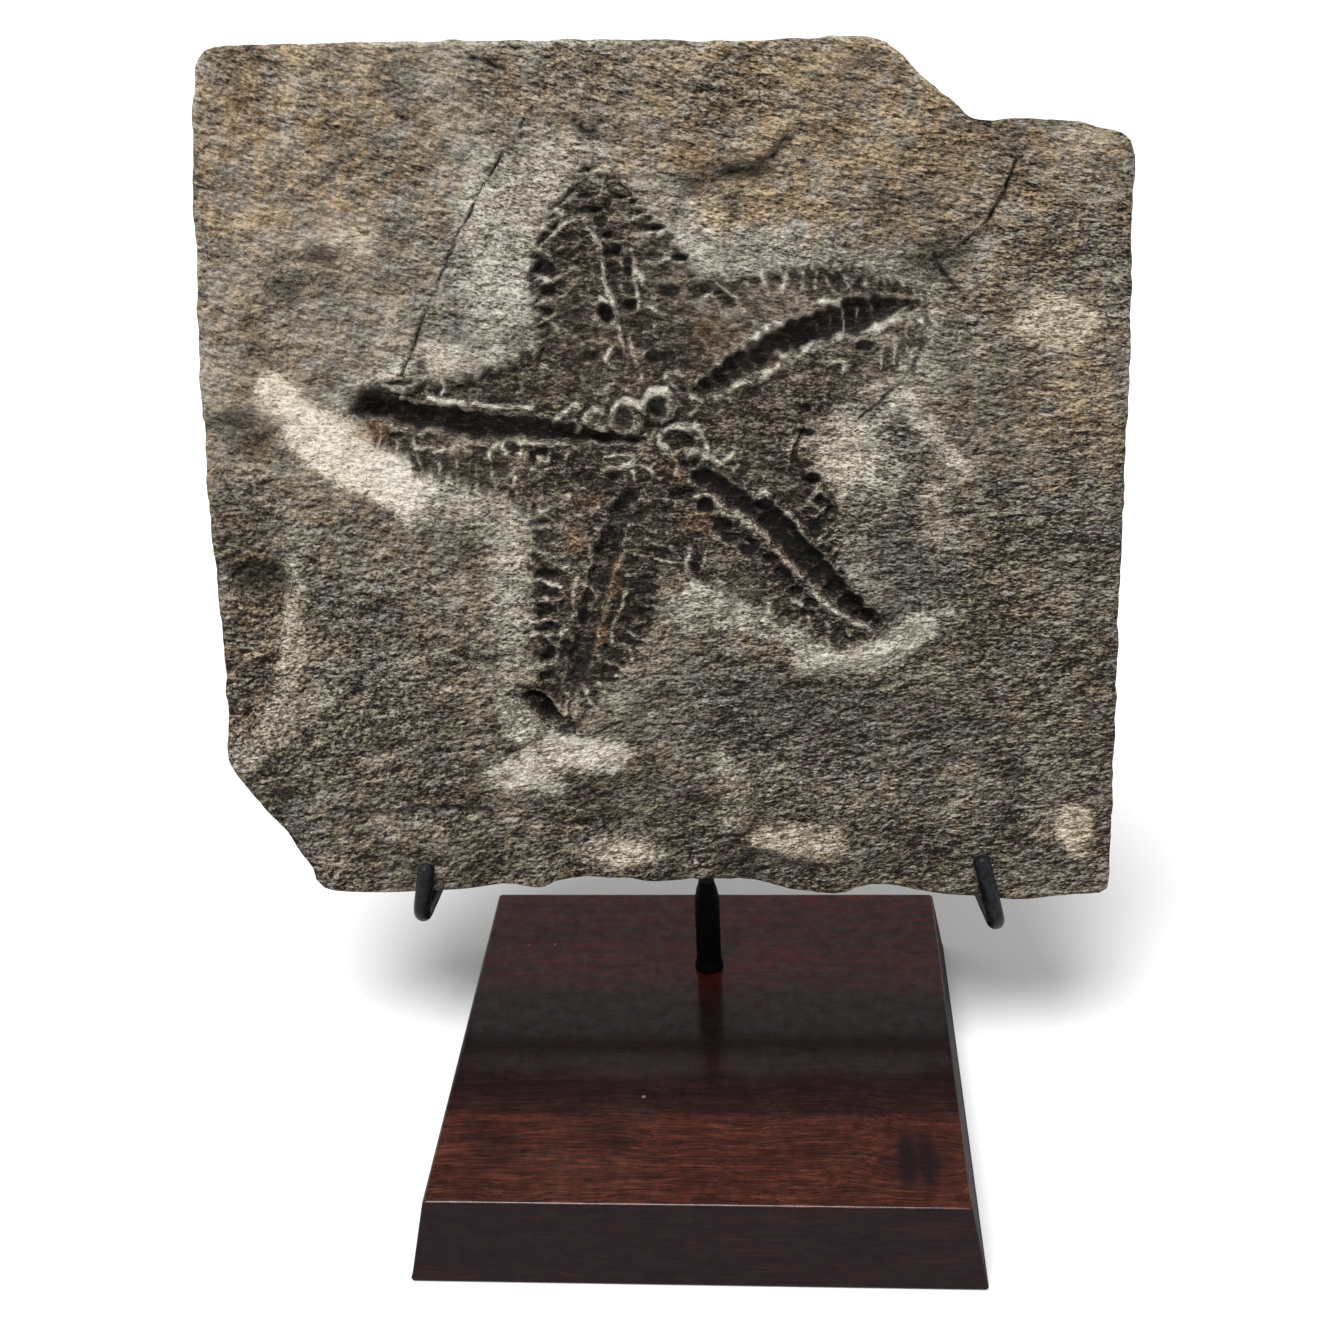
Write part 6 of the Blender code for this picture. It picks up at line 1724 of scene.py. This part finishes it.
@dataclass(frozen=True)
class LacquerFinish:
    """Dark reddish hardwood under a thin satin lacquer."""

    knot: Pair = (49.4, -45.2)
    eyes: tuple[tuple[Triple, Triple, float], ...] = (
        ((46.9, -44.9, 20), (3.4, 12.5, 9), 1.0), ((51.4, -45.4, 20), (3.2, 11.5, 9), 1.0),
        ((50.0, -44.6, 20), (11.0, 13.0, 9), 0.55), ((-45.1, -44.0, 20), (9.0, 9.0, 9), 0.50),
        ((-21.1, -38.0, 20), (10.0, 7.0, 9), 0.50))
    eye_colour: tuple[float, ...] = (0.012, 0.0055, 0.0065, 1.0)
    pore_colour: tuple[float, ...] = (0.006, 0.0030, 0.0030, 1.0)
    shaded_side_colour: tuple[float, ...] = (0.0070, 0.0048, 0.0066, 1.0)
    worn_colour: tuple[float, ...] = (0.12, 0.052, 0.042, 1.0)
    dust_colour: tuple[float, ...] = (0.30, 0.22, 0.16, 1.0)

    def make(self, effects: SharedEffects) -> bpy.types.Material:
        """Build the lacquered wood.

        Args:
            effects: the shared node groups.

        Returns:
            The material.
        """
        material, graph = start_material("lacquered_hardwood")
        mm = graph.in_millimetres()
        place = graph.parts(mm)
        eye = graph.spot(mm, (*self.knot, 20.0), (20.0, 13.0, 40.0))
        rise = graph.minus(place["Y"], self.knot[1])
        parted = graph.times(rise, graph.minus(1.0, graph.times(eye, 0.65)))
        flow = graph.vector(place["X"], parted, place["Z"])
        figure = self.grain(graph, effects, flow, 30.0, 3.0, 6.0)
        lines = self.grain(graph, effects, flow, 12.0, 0.62, 6.0)
        pores = self.grain(graph, effects, flow, 6.0, 0.26, 6.0)
        tone = graph.add(graph.times(figure, 0.50), graph.times(lines, 0.85))
        colour = graph.ramp(graph.minus(tone, 0.13), (
            (0.22, (0.020, 0.0060, 0.0048)), (0.45, (0.038, 0.0100, 0.0072)),
            (0.60, (0.066, 0.0180, 0.0118)), (0.85, (0.125, 0.0390, 0.0240))))
        # Painted light and shade across the board: dark and grey-blue where the slab's shadow and
        # reflection fall, brighter at the front and back.
        depth = graph.add(place["Y"], graph.swing(graph.noise(mm, 22.0, 4.0), 6.0))
        shadow_and_reflection_bands = graph.ramp(graph.remap(depth, -64.0, 64.0), (
            (0.0, (0.92, 0.94, 0.92)), (0.158, (0.86, 0.85, 0.86)), (0.178, (0.34, 0.42, 0.62)),
            (0.30, (0.20, 0.24, 0.36)), (0.38, (0.12, 0.11, 0.15)), (0.50, (0.06, 0.035, 0.035)),
            (0.66, (0.10, 0.04, 0.035)), (0.76, (0.34, 0.10, 0.06)), (1.0, (1.30, 0.26, 0.10))))
        colour = graph.mix(1.0, colour, shadow_and_reflection_bands, "MULTIPLY")
        mottle = graph.remap(graph.noise(mm, 2.6, 5.0, 0.7), 0.32, 0.68, 0.72, 1.28)
        colour = graph.mix(1.0, colour, mottle, "MULTIPLY")
        for centre, half, amount in self.eyes:
            knot = graph.times(graph.spot(mm, centre, half), amount)
            colour = graph.mix(knot, colour, self.eye_colour)
        pore = graph.remap(pores, 0.52, 0.62)
        colour = graph.mix(graph.times(pore, 0.70), colour, self.pore_colour)
        # Painted shade: the board's sloping sides darker and more purple than its top.
        up = graph.facing()
        side = graph.remap(up["Z"], 0.75, 0.45)
        colour = graph.mix(graph.times(side, 0.85), colour, self.shaded_side_colour)
        # Rubbed edges, strongest at the front: worn lacquer, with a painted highlight along the front top
        # edge.
        edge = graph.node("ShaderNodeAttribute", attribute_name="edge")
        wear = graph.use(effects.wear, {"Edge": edge.outputs["Fac"], "Vector": mm, "Amount": 0.50,
                                        "Patch Size": 3.0})
        colour = graph.mix(graph.times(wear, 0.38), colour, self.worn_colour)
        dust = graph.use(effects.dust, {"Vector": mm, "Speck Size": 7.0, "Amount": 0.08})
        colour = graph.mix(graph.times(dust, 0.6), colour, self.dust_colour)
        haze = graph.remap(graph.noise(mm, 4.0, 6.0, 0.75), 0.3, 0.7, 0.50, 1.0)
        facing = graph.remap(up["Y"], -0.5, -0.2, 0.15, 0.0)
        lid = graph.remap(side, 0.0, 1.0, 0.68, 0.0)
        gloss = graph.times(haze, graph.add(lid, graph.times(facing, side)))
        height = graph.minus(graph.times(graph.noise(mm, 1.6, 3.0), 0.5), graph.times(pore, 0.5))
        close_material(graph, {"Base Color": colour, "Roughness": 0.6, "Specular IOR Level": 0.05,
                               "Coat Weight": gloss, "Coat Roughness": 0.15}, height, 0.05)
        return material

    @staticmethod
    def grain(graph: Graph, effects: SharedEffects, vector: object, length: float, width: float,
              drift: float) -> Socket:
        """Return wood grain of one size, drawn out along the board."""
        return graph.use(effects.grain, {"Vector": vector, "Length": length, "Width": width,
                                         "Drift": drift, "Drift Size": 26.0, "Roughness": 0.55})


@dataclass(frozen=True)
class BlackPaintFinish:
    """Black paint on iron, dead flat on the post and a little glossy on the claws."""

    name: str
    dark: Triple = (0.0005, 0.0005, 0.0007)
    light: Triple = (0.0013, 0.0013, 0.0017)
    specular: float = 0.04
    roughness: float = 0.50
    dust: float = 0.03
    worn_colour: tuple[float, ...] = (0.035, 0.037, 0.045, 1.0)
    dust_colour: tuple[float, ...] = (0.10, 0.10, 0.10, 1.0)

    def make(self, effects: SharedEffects) -> bpy.types.Material:
        """Build the paint.

        Args:
            effects: the shared node groups.

        Returns:
            The material.
        """
        material, graph = start_material(self.name)
        mm = graph.in_millimetres()
        mottle = graph.noise(mm, 1.3, 3.0, 0.65)
        colour = graph.mix(graph.remap(mottle, 0.35, 0.65), (*self.dark, 1.0), (*self.light, 1.0))
        edge = graph.node("ShaderNodeAttribute", attribute_name="edge")
        wear = graph.use(effects.wear, {"Edge": edge.outputs["Fac"], "Vector": mm, "Amount": 0.55,
                                        "Patch Size": 1.6})
        colour = graph.mix(wear, colour, self.worn_colour)
        dust = graph.use(effects.dust, {"Vector": mm, "Speck Size": 2.6, "Amount": self.dust})
        colour = graph.mix(dust, colour, self.dust_colour)
        rough = graph.remap(mottle, 0.3, 0.7, self.roughness - 0.06, self.roughness + 0.08)
        close_material(graph, {"Base Color": colour, "Roughness": rough,
                               "Specular IOR Level": self.specular}, mottle, 0.12)
        return material


@dataclass(frozen=True)
class FloorFinish:
    """Plain pale studio paper."""

    colour: Triple = (0.86, 0.86, 0.86)

    def make(self) -> bpy.types.Material:
        """Build the paper."""
        material, graph = start_material("studio_paper")
        mm = graph.in_millimetres()
        close_material(graph, {"Base Color": (*self.colour, 1.0), "Roughness": 0.9,
                               "Specular IOR Level": 0.1}, graph.noise(mm, 1.5, 2.0), 0.01)
        return material


# ------------------------------------------------------------------ the stand


def object_from(name: str, vertices: Array, faces: Sequence[Sequence[int]], finish: bpy.types.Material,
                edge: Array | None = None, crease: float = 35.0) -> bpy.types.Object:
    """Make an object of a mesh given in millimetres.

    Args:
        name: the object's name.
        vertices: the mesh's points.
        faces: the mesh's faces.
        finish: the object's material.
        edge: how near each point is to a worn edge, from 0 to 1.
        crease: the angle in degrees above which an edge stays sharp.

    Returns:
        The object, linked to the scene.
    """
    mesh = bpy.data.meshes.new(name)
    mesh.from_pydata((np.asarray(vertices) * MM).tolist(), [], [tuple(map(int, f)) for f in faces])
    if edge is not None:
        store_numbers(mesh, "edge", edge)
    close_mesh(mesh, crease)
    mesh.materials.append(finish)
    return new_object(name, mesh)


@dataclass
class HardwoodBoard:
    """The square board: flared sides, softened edges and the socket that holds the post."""

    top: float = 120.0
    flare: float = 3.8
    thickness: float = BOARD_THICKNESS
    rounding: float = 0.7
    socket_radius: float = 3.475
    points_per_side: int = 44
    corner_points: int = 5

    def square(self, half: float, radius: float) -> Array:
        """Return a rounded square, anticlockwise, with the same points at every size."""
        places = []
        for quarter in range(4):
            start = math.radians(90.0 * quarter - 45.0)
            turn = np.array([[math.cos(start + math.pi / 4), -math.sin(start + math.pi / 4)],
                             [math.sin(start + math.pi / 4), math.cos(start + math.pi / 4)]])
            run = np.linspace(-(half - radius), half - radius, self.points_per_side)
            straight = np.column_stack([np.full(len(run), half), run])
            angles = np.linspace(0.0, math.pi / 2, self.corner_points + 2)[1:-1]
            corner = np.column_stack([half - radius + radius * np.cos(angles),
                                      half - radius + radius * np.sin(angles)])
            places.append(np.vstack([straight, corner]) @ turn.T)
        return np.vstack(places)

    def profile(self) -> list[tuple[float, float, float, float]]:
        """Return the half size, height, corner radius and edge wear of each ring, bottom to top."""
        foot = self.top / 2 + self.flare
        lid = self.top / 2
        r = self.rounding
        rings = [(foot - 6.0, 0.0, r, 0.0), (foot - r - 0.8, 0.0, r, 0.0)]
        for angle in (0.0, 30.0, 60.0, 90.0):
            a = math.radians(angle)
            rings.append((foot - r + r * math.sin(a), r - r * math.cos(a), r, 0.6))
        for height, wear in ((r + 0.8, 0.0), (self.thickness / 2, 0.0), (self.thickness - r - 0.8, 0.0)):
            rings.append((lid + self.flare * (1 - height / self.thickness), height, r, wear))
        slope = self.flare * r / self.thickness
        for angle, wear in ((0.0, 0.5), (30.0, 0.9), (60.0, 1.0), (90.0, 0.7)):
            a = math.radians(angle)
            rings.append((lid - r + slope + (r - slope * math.sin(a)) * math.cos(a),
                          self.thickness - r + r * math.sin(a), r, wear))
        rings += [(lid - r - 0.5, self.thickness, r, 0.12), (lid - r - 1.2, self.thickness, r, 0.0)]
        return rings

    def build(self, finish: bpy.types.Material) -> bpy.types.Object:
        """Build the board and give it its lacquered wood."""
        loops, edge = [], []
        for half, height, radius, wear in self.profile():
            ring = self.square(half, radius)
            loops.append(np.column_stack([ring, np.full(len(ring), height)]))
            edge.append(wear * (0.25 + 0.75 * ease(-half + 1.6, -half + 0.4, ring[:, 1])))
        count = len(loops[0])
        last = loops[-1][:, :2]
        angles = np.arctan2(last[:, 1] - POST_Y, last[:, 0])
        circle = np.column_stack([np.cos(angles), np.sin(angles) + POST_Y / self.socket_radius])
        circle *= self.socket_radius
        for share in (0.25, 0.5, 0.75, 0.92, 1.0):
            ring = last * (1 - share) + circle * share
            loops.append(np.column_stack([ring, np.full(count, self.thickness)]))
            edge.append(np.zeros(count))
        floor = self.thickness - SOCKET_DEPTH
        loops.append(np.column_stack([circle, np.full(count, floor)]))
        edge.append(np.zeros(count))
        faces = []
        for k in range(len(loops) - 1):
            for i in range(count):
                j = (i + 1) % count
                faces.append((k * count + i, k * count + j, (k + 1) * count + j, (k + 1) * count + i))
        faces.append(tuple(range(count))[::-1])
        end = (len(loops) - 1) * count
        faces.append(tuple(range(end, end + count)))
        return object_from("hardwood_board", np.vstack(loops), faces, finish, np.concatenate(edge), 40.0)


class RodTree:
    """A Geometry Nodes tree that sweeps a painted round rod along a path of edges."""

    def __init__(self) -> None:
        """Build the tree."""
        self.tree = bpy.data.node_groups.new("Painted Rod", "GeometryNodeTree")
        self.tree.is_modifier = True
        face = self.tree.interface
        face.new_socket("Path", in_out="INPUT", socket_type="NodeSocketGeometry")
        face.new_socket("Rod", in_out="OUTPUT", socket_type="NodeSocketGeometry")
        self.inputs = {name: face.new_socket(name, in_out="INPUT", socket_type=kind).identifier
                       for name, kind in (("Rod Radius", "NodeSocketFloat"), ("Sides", "NodeSocketInt"),
                                          ("Paint Ripple", "NodeSocketFloat"),
                                          ("Ripple Size", "NodeSocketFloat"), ("Seed", "NodeSocketFloat"),
                                          ("Paint", "NodeSocketMaterial"))}
        graph = Graph(self.tree)
        given, result = graph.node("NodeGroupInput"), graph.node("NodeGroupOutput")
        curve = graph.node("GeometryNodeMeshToCurve", {"Mesh": given.outputs["Path"]})
        circle = graph.node("GeometryNodeCurvePrimitiveCircle", {
            "Resolution": given.outputs["Sides"], "Radius": given.outputs["Rod Radius"]})
        taper = graph.node("GeometryNodeInputNamedAttribute", {"Name": "thickness"}, data_type="FLOAT")
        sweep = graph.node("GeometryNodeCurveToMesh", {
            "Curve": curve.outputs[0], "Profile Curve": circle.outputs["Curve"],
            "Scale": taper.outputs["Attribute"], "Fill Caps": True})
        ripple = graph.node("ShaderNodeTexNoise", {"Scale": given.outputs["Ripple Size"],
                                                   "W": given.outputs["Seed"], "Detail": 1.0},
                            noise_dimensions="4D")
        level = graph.swing(ripple.outputs["Fac"], given.outputs["Paint Ripple"])
        normal = graph.node("GeometryNodeInputNormal")
        push = graph.node("ShaderNodeVectorMath", {"Scale": level}, operation="SCALE")
        graph.feed(push.inputs[0], normal.outputs[0])
        placed = graph.node("GeometryNodeSetPosition", {"Geometry": sweep.outputs[0],
                                                        "Offset": push.outputs[0]})
        whole = graph.node("GeometryNodeRealizeInstances", {"Geometry": placed.outputs[0]})
        painted = graph.node("GeometryNodeSetMaterial", {"Geometry": whole.outputs[0],
                                                         "Material": given.outputs["Paint"]})
        graph.feed(result.inputs["Rod"], painted.outputs[0])

    def sweep(self, name: str, path: Array, thickness: Array, worn: Array, values: dict[str, object]
              ) -> bpy.types.Object:
        """Sweep a rod and return it as a plain mesh.

        Args:
            name: the object's name.
            path: the rod's middle line, in millimetres.
            thickness: the rod's thickness at each point, as a share of its radius.
            worn: how rubbed the paint is at each point, from 0 to 1.
            values: the tree's inputs.

        Returns:
            The rod's object.
        """
        line = bpy.data.meshes.new(name + "_path")
        line.from_pydata((path * MM).tolist(), [(i, i + 1) for i in range(len(path) - 1)], [])
        for label, numbers in (("thickness", thickness), ("edge", worn)):
            store_numbers(line, label, numbers)
        host = new_object(name + "_path", line)
        modifier = host.modifiers.new("rod", "NODES")
        modifier.node_group = self.tree
        for label, value in values.items():
            modifier[self.inputs[label]] = value
        mesh = bpy.data.meshes.new_from_object(
            host.evaluated_get(bpy.context.evaluated_depsgraph_get()))
        mesh.name = name
        bpy.data.objects.remove(host)
        close_mesh(mesh, ROD_CREASE)
        return new_object(name, mesh)


@dataclass
class Claw:
    """One claw: its place along the slab, toe-in, and the lean and height of its upturned end."""

    side: str
    u: float
    toe: float
    lean: float
    height: float


@dataclass
class IronStand:
    """The post, the rod behind the slab, the cross bar and the two claws."""

    frame: SlabFrame
    slab: FossilSlab
    touch_gap: float = 0.3
    post_diameter: float = 6.35
    post_straight: float = 22.2
    post_height: float = 26.4
    foot_diameter: float = 7.3
    foot_height: float = 1.8
    rod_diameter: float = 4.0
    rod_reach: float = 128.0
    rod_bend: float = 15.0
    claw_diameter: float = 4.2
    claw_bend: float = 3.6
    bar_behind_post: float = 5.4
    stub_offset: float = 2.5
    post_sides: int = 56
    rod_sides: int = 32
    bend_steps: int = 12
    path_step: float = 0.9
    dome_shares: tuple[float, ...] = (0.0, 0.22, 0.42, 0.60, 0.75, 0.87, 0.95, 0.99)
    paint_ripple: float = 0.10
    ripple_size: float = 260.0
    worn_length: float = 4.0
    claws: tuple[Claw, ...] = (
        Claw("left", CLAW_PLACES[0], math.radians(4.5), math.radians(9.5), 15.0),
        Claw("right", CLAW_PLACES[1], math.radians(-8.5), math.radians(-14.0), 19.0))

    def post(self, finish: bpy.types.Material) -> bpy.types.Object:
        """Build the turned post with the fillet at its foot and its tapered top."""
        base = BOARD_THICKNESS
        bottom, seat = base - SOCKET_DEPTH + self.touch_gap, base + self.touch_gap
        radius, foot, tip = self.post_diameter / 2, self.foot_diameter / 2, self.rod_diameter / 2
        taper = self.post_height - self.post_straight
        shoulder = base + self.post_straight
        profile = [
            (0.0, bottom), (radius - 0.4, bottom), (radius, bottom + 0.5), (radius, seat - 0.05),
            (foot - 0.15, seat), (foot, seat + 0.2), (foot - 0.02, seat + 0.45 * self.foot_height),
            (foot - 0.16, seat + 0.8 * self.foot_height), (radius + 0.08, seat + 1.15 * self.foot_height),
            (radius, seat + 1.6 * self.foot_height),
            (radius, shoulder - 0.7), (radius - 0.10, shoulder - 0.1), (radius - 0.30, shoulder + 0.35),
            (tip + 0.62, shoulder + 0.50 * taper), (tip + 0.22, shoulder + 0.80 * taper),
            (tip, base + self.post_height), (0.0, base + self.post_height)]
        sides = self.post_sides
        angles = np.linspace(0.0, 2 * math.pi, sides, endpoint=False)
        places, rings = [], []
        for r, z in profile:
            rings.append(len(places))
            if r == 0.0:
                places.append((0.0, POST_Y, z))
            else:
                places += [(r * math.cos(a), POST_Y + r * math.sin(a), z) for a in angles]
        faces = []
        for k, (a, b) in enumerate(zip(rings[:-1], rings[1:])):
            for i in range(sides):
                j = (i + 1) % sides
                if k == 0:
                    faces.append((a, b + j, b + i))
                elif k == len(rings) - 2:
                    faces.append((a + i, a + j, b))
                else:
                    faces.append((a + i, a + j, b + j, b + i))
        return object_from("iron_post", np.array(places), faces, finish, np.zeros(len(places)),
                           ROD_CREASE)

    def bent(self, corners: Sequence[Vector], radii: Sequence[float], diameter: float, domed: bool
             ) -> tuple[Array, Array]:
        """Return the path of a bent rod and its thickness along the way.

        Args:
            corners: the rod's ends and the corners of its straight runs.
            radii: the bend at each inner corner.
            diameter: the rod's diameter.
            domed: whether the far end is rounded over.

        Returns:
            The points and the share of the full thickness at each.
        """
        path = [corners[0]]
        for before, corner, after, radius in zip(corners, corners[1:], corners[2:], radii):
            into, onward = (corner - before).normalized(), (after - corner).normalized()
            turn = into.angle(onward)
            start = corner - into * radius * math.tan(turn / 2)
            side = (onward - into * into.dot(onward)).normalized()
            centre = start + side * radius
            for k in range(self.bend_steps + 1):
                angle = turn * k / self.bend_steps
                path.append(centre + radius * (into * math.sin(angle) - side * math.cos(angle)))
        path.append(corners[-1])
        points = self.spaced(np.array([tuple(p) for p in path]), self.path_step)
        thickness = np.ones(len(points))
        if domed:
            ahead = points[-1] - points[-2]
            ahead /= np.linalg.norm(ahead)
            dome = 0.35 * diameter
            tip = points[-1].copy()
            keep = np.linalg.norm(points - tip, axis=1) > dome + 0.2
            shares = np.array(self.dome_shares)
            cap = tip - ahead * dome * (1.0 - shares)[:, None]
            points = np.vstack([points[keep], cap])
            thickness = np.concatenate([np.ones(keep.sum()), np.sqrt(1.0 - shares ** 2)])
        return points, thickness

    @staticmethod
    def spaced(path: Array, step: float) -> Array:
        """Return a path with no run longer than the step."""
        rows = [path[:1]]
        for a, b in zip(path[:-1], path[1:]):
            pieces = max(1, int(math.ceil(np.linalg.norm(b - a) / step)))
            rows.append(a + (b - a) * np.linspace(0.0, 1.0, pieces + 1)[1:, None])
        return np.vstack(rows)

    def seat_height(self, u: float) -> float:
        """Return the height of a claw's axis that lets the slab's lower edge rest on the claw."""
        outline = smooth_path(SLAB_OUTLINE, 4.6, closed=True)
        lower = outline[outline[:, 1] < 2.0]
        lower = lower[np.argsort(lower[:, 0])]
        over = np.linspace(u - 0.8 * self.claw_diameter, u + 0.8 * self.claw_diameter, 9)
        lowest = np.interp(over, lower[:, 0], lower[:, 1]).min()
        place = np.array([lowest - self.slab.seat_bulge])
        edge = self.frame.world(np.array([u]), place,
                                np.array([self.slab.rim_rounding - self.slab.thickness]))[0]
        return edge[2] / MM - self.touch_gap - self.claw_diameter / 2

    def claw_corners(self, claw: Claw) -> list[Vector]:
        """Return the back end, the bend and the tip of one claw."""
        run_z = self.seat_height(claw.u)
        bend_y = (self.frame.front_y - self.stub_offset
                  + (run_z - self.frame.front_z) * math.tan(self.frame.lean))
        bend = Vector((claw.u, bend_y, run_z))
        run = POST_Y + self.bar_behind_post + self.claw_diameter / 2 - bend_y
        back = bend + Vector((run * math.tan(claw.toe), run, 0.0))
        rise = (self.frame.up() + Vector((math.tan(claw.lean), 0.0, 0.0))) * claw.height
        return [back, bend, bend + rise]

    def rods(self, finish: bpy.types.Material) -> dict[str, bpy.types.Object]:
        """Sweep the rod, the cross bar and the claws, and return them by the node they replace."""
        tree = RodTree()
        foot = (Vector((0.0, self.frame.front_y, self.frame.front_z))
                - self.frame.out() * (self.slab.thickness + self.touch_gap + self.rod_diameter / 2))
        bend = foot + self.frame.up() * ((POST_Y - foot.y) / self.frame.up().y)
        bottom = Vector((0.0, POST_Y, BOARD_THICKNESS + self.post_height + self.touch_gap))
        runs = {"upright_rod": ([bottom, bend, foot + self.frame.up() * self.rod_reach],
                                (self.rod_bend,), self.rod_diameter, True)}
        ends = []
        for claw in self.claws:
            corners = self.claw_corners(claw)
            ends.append(corners[0])
            runs["claw_" + claw.side] = (corners, (self.claw_bend,), self.claw_diameter, True)
        on_top = Vector((0.0, -self.claw_diameter / 2, self.claw_diameter + self.touch_gap))
        along = (ends[1] - ends[0]).normalized() * self.claw_diameter / 2
        runs["cross_bar"] = ([ends[0] + on_top - along, ends[1] + on_top + along], (),
                             self.claw_diameter, False)
        pieces = {}
        for seed, (node, (corners, radii, diameter, domed)) in enumerate(runs.items()):
            path, thickness = self.bent(corners, radii, diameter, domed)
            from_tip = np.linalg.norm(path - path[-1], axis=1)
            worn = np.clip(1.0 - from_tip / self.worn_length, 0.0, 1.0) * ("claw" in node)
            pieces[node] = tree.sweep("iron_" + node, path, thickness, worn, {
                "Rod Radius": diameter / 2 * MM, "Sides": self.rod_sides,
                "Paint Ripple": self.paint_ripple * MM, "Ripple Size": self.ripple_size,
                "Seed": float(seed), "Paint": finish})
        return pieces


# ------------------------------------------------------------------ the studio


@dataclass
class Studio:
    """The floor, the light and the camera."""

    image_side: int = 1324
    sensor_width: float = 36.0
    clip: Pair = (0.01, 50.0)
    floor_drop: float = 0.05
    focal_pixels: float = 1780.0
    camera_place: Triple = (0.02256, -0.35268, 0.29864)
    yaw: float = math.radians(4.71)
    pitch: float = math.radians(26.51)
    roll: float = math.radians(-2.66)
    floor_half: float = 6.0
    sky: float = 0.56
    sun: float = 3.35
    sun_softness: float = math.radians(30.0)
    sun_turn: Triple = (math.radians(22.0), math.radians(-10.0), 0.0)

    def camera(self) -> None:
        """Place the camera at the viewing angle."""
        lens = bpy.data.cameras.new("camera")
        lens.sensor_fit = "HORIZONTAL"
        lens.sensor_width = self.sensor_width
        lens.lens = self.focal_pixels / self.image_side * lens.sensor_width
        lens.clip_start, lens.clip_end = self.clip
        item = new_object("camera", lens)
        item.matrix_world = (Matrix.Translation(self.camera_place) @ Matrix.Rotation(self.yaw, 4, "Z")
                             @ Matrix.Rotation(math.pi / 2 - self.pitch, 4, "X")
                             @ Matrix.Rotation(self.roll, 4, "Z"))
        bpy.context.scene.camera = item

    def lights(self) -> None:
        """Set a white sky and one broad soft light from above the front."""
        world = bpy.data.worlds.new("studio")
        world.use_nodes = True
        background = world.node_tree.nodes["Background"]
        background.inputs["Color"].default_value = (1.0, 1.0, 1.0, 1.0)
        background.inputs["Strength"].default_value = self.sky
        bpy.context.scene.world = world
        lamp = bpy.data.lights.new("key", "SUN")
        lamp.energy = self.sun
        lamp.angle = self.sun_softness
        new_object("key", lamp).rotation_euler = self.sun_turn

    def floor(self) -> bpy.types.Object:
        """Lay the pale floor just under the board."""
        half = self.floor_half / MM
        corners = [(x * half, y * half, -self.floor_drop) for x, y in ((-1, -1), (1, -1), (1, 1), (-1, 1))]
        return object_from("studio_floor", np.array(corners), [(0, 1, 2, 3)], FloorFinish().make())


def ride(piece: bpy.types.Object, node: str) -> None:
    """Fix a piece to the body, in place of a node."""
    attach(piece, ROOT)
    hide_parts(node)
    LOG.info("%s stands for %s: %d faces", piece.name, node, len(piece.data.polygons))


def main() -> None:
    """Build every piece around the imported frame."""
    logging.basicConfig(level=logging.INFO, format="%(name)s: %(message)s")
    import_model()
    bpy.context.scene.view_settings.view_transform = "Standard"
    studio = Studio()
    studio.camera()
    studio.lights()
    studio.floor()
    effects = SharedEffects()
    frame = SlabFrame()
    slab = FossilSlab(frame, StoneFace())
    ride(slab.build(SandstoneFinish(frame.lean).make(effects)), "fossil_slab")
    ride(HardwoodBoard().build(LacquerFinish().make(effects)), "base_board")
    stand = IronStand(frame, slab)
    flat = BlackPaintFinish("flat_black_paint").make(effects)
    satin = BlackPaintFinish("satin_black_paint", (0.0010, 0.0011, 0.0015), (0.010, 0.0108, 0.0138), 0.17,
                             0.42, 0.05).make(effects)
    ride(stand.post(flat), "post")
    for node, rod in stand.rods(satin).items():
        ride(rod, node)


if __name__ == "__main__":
    main()
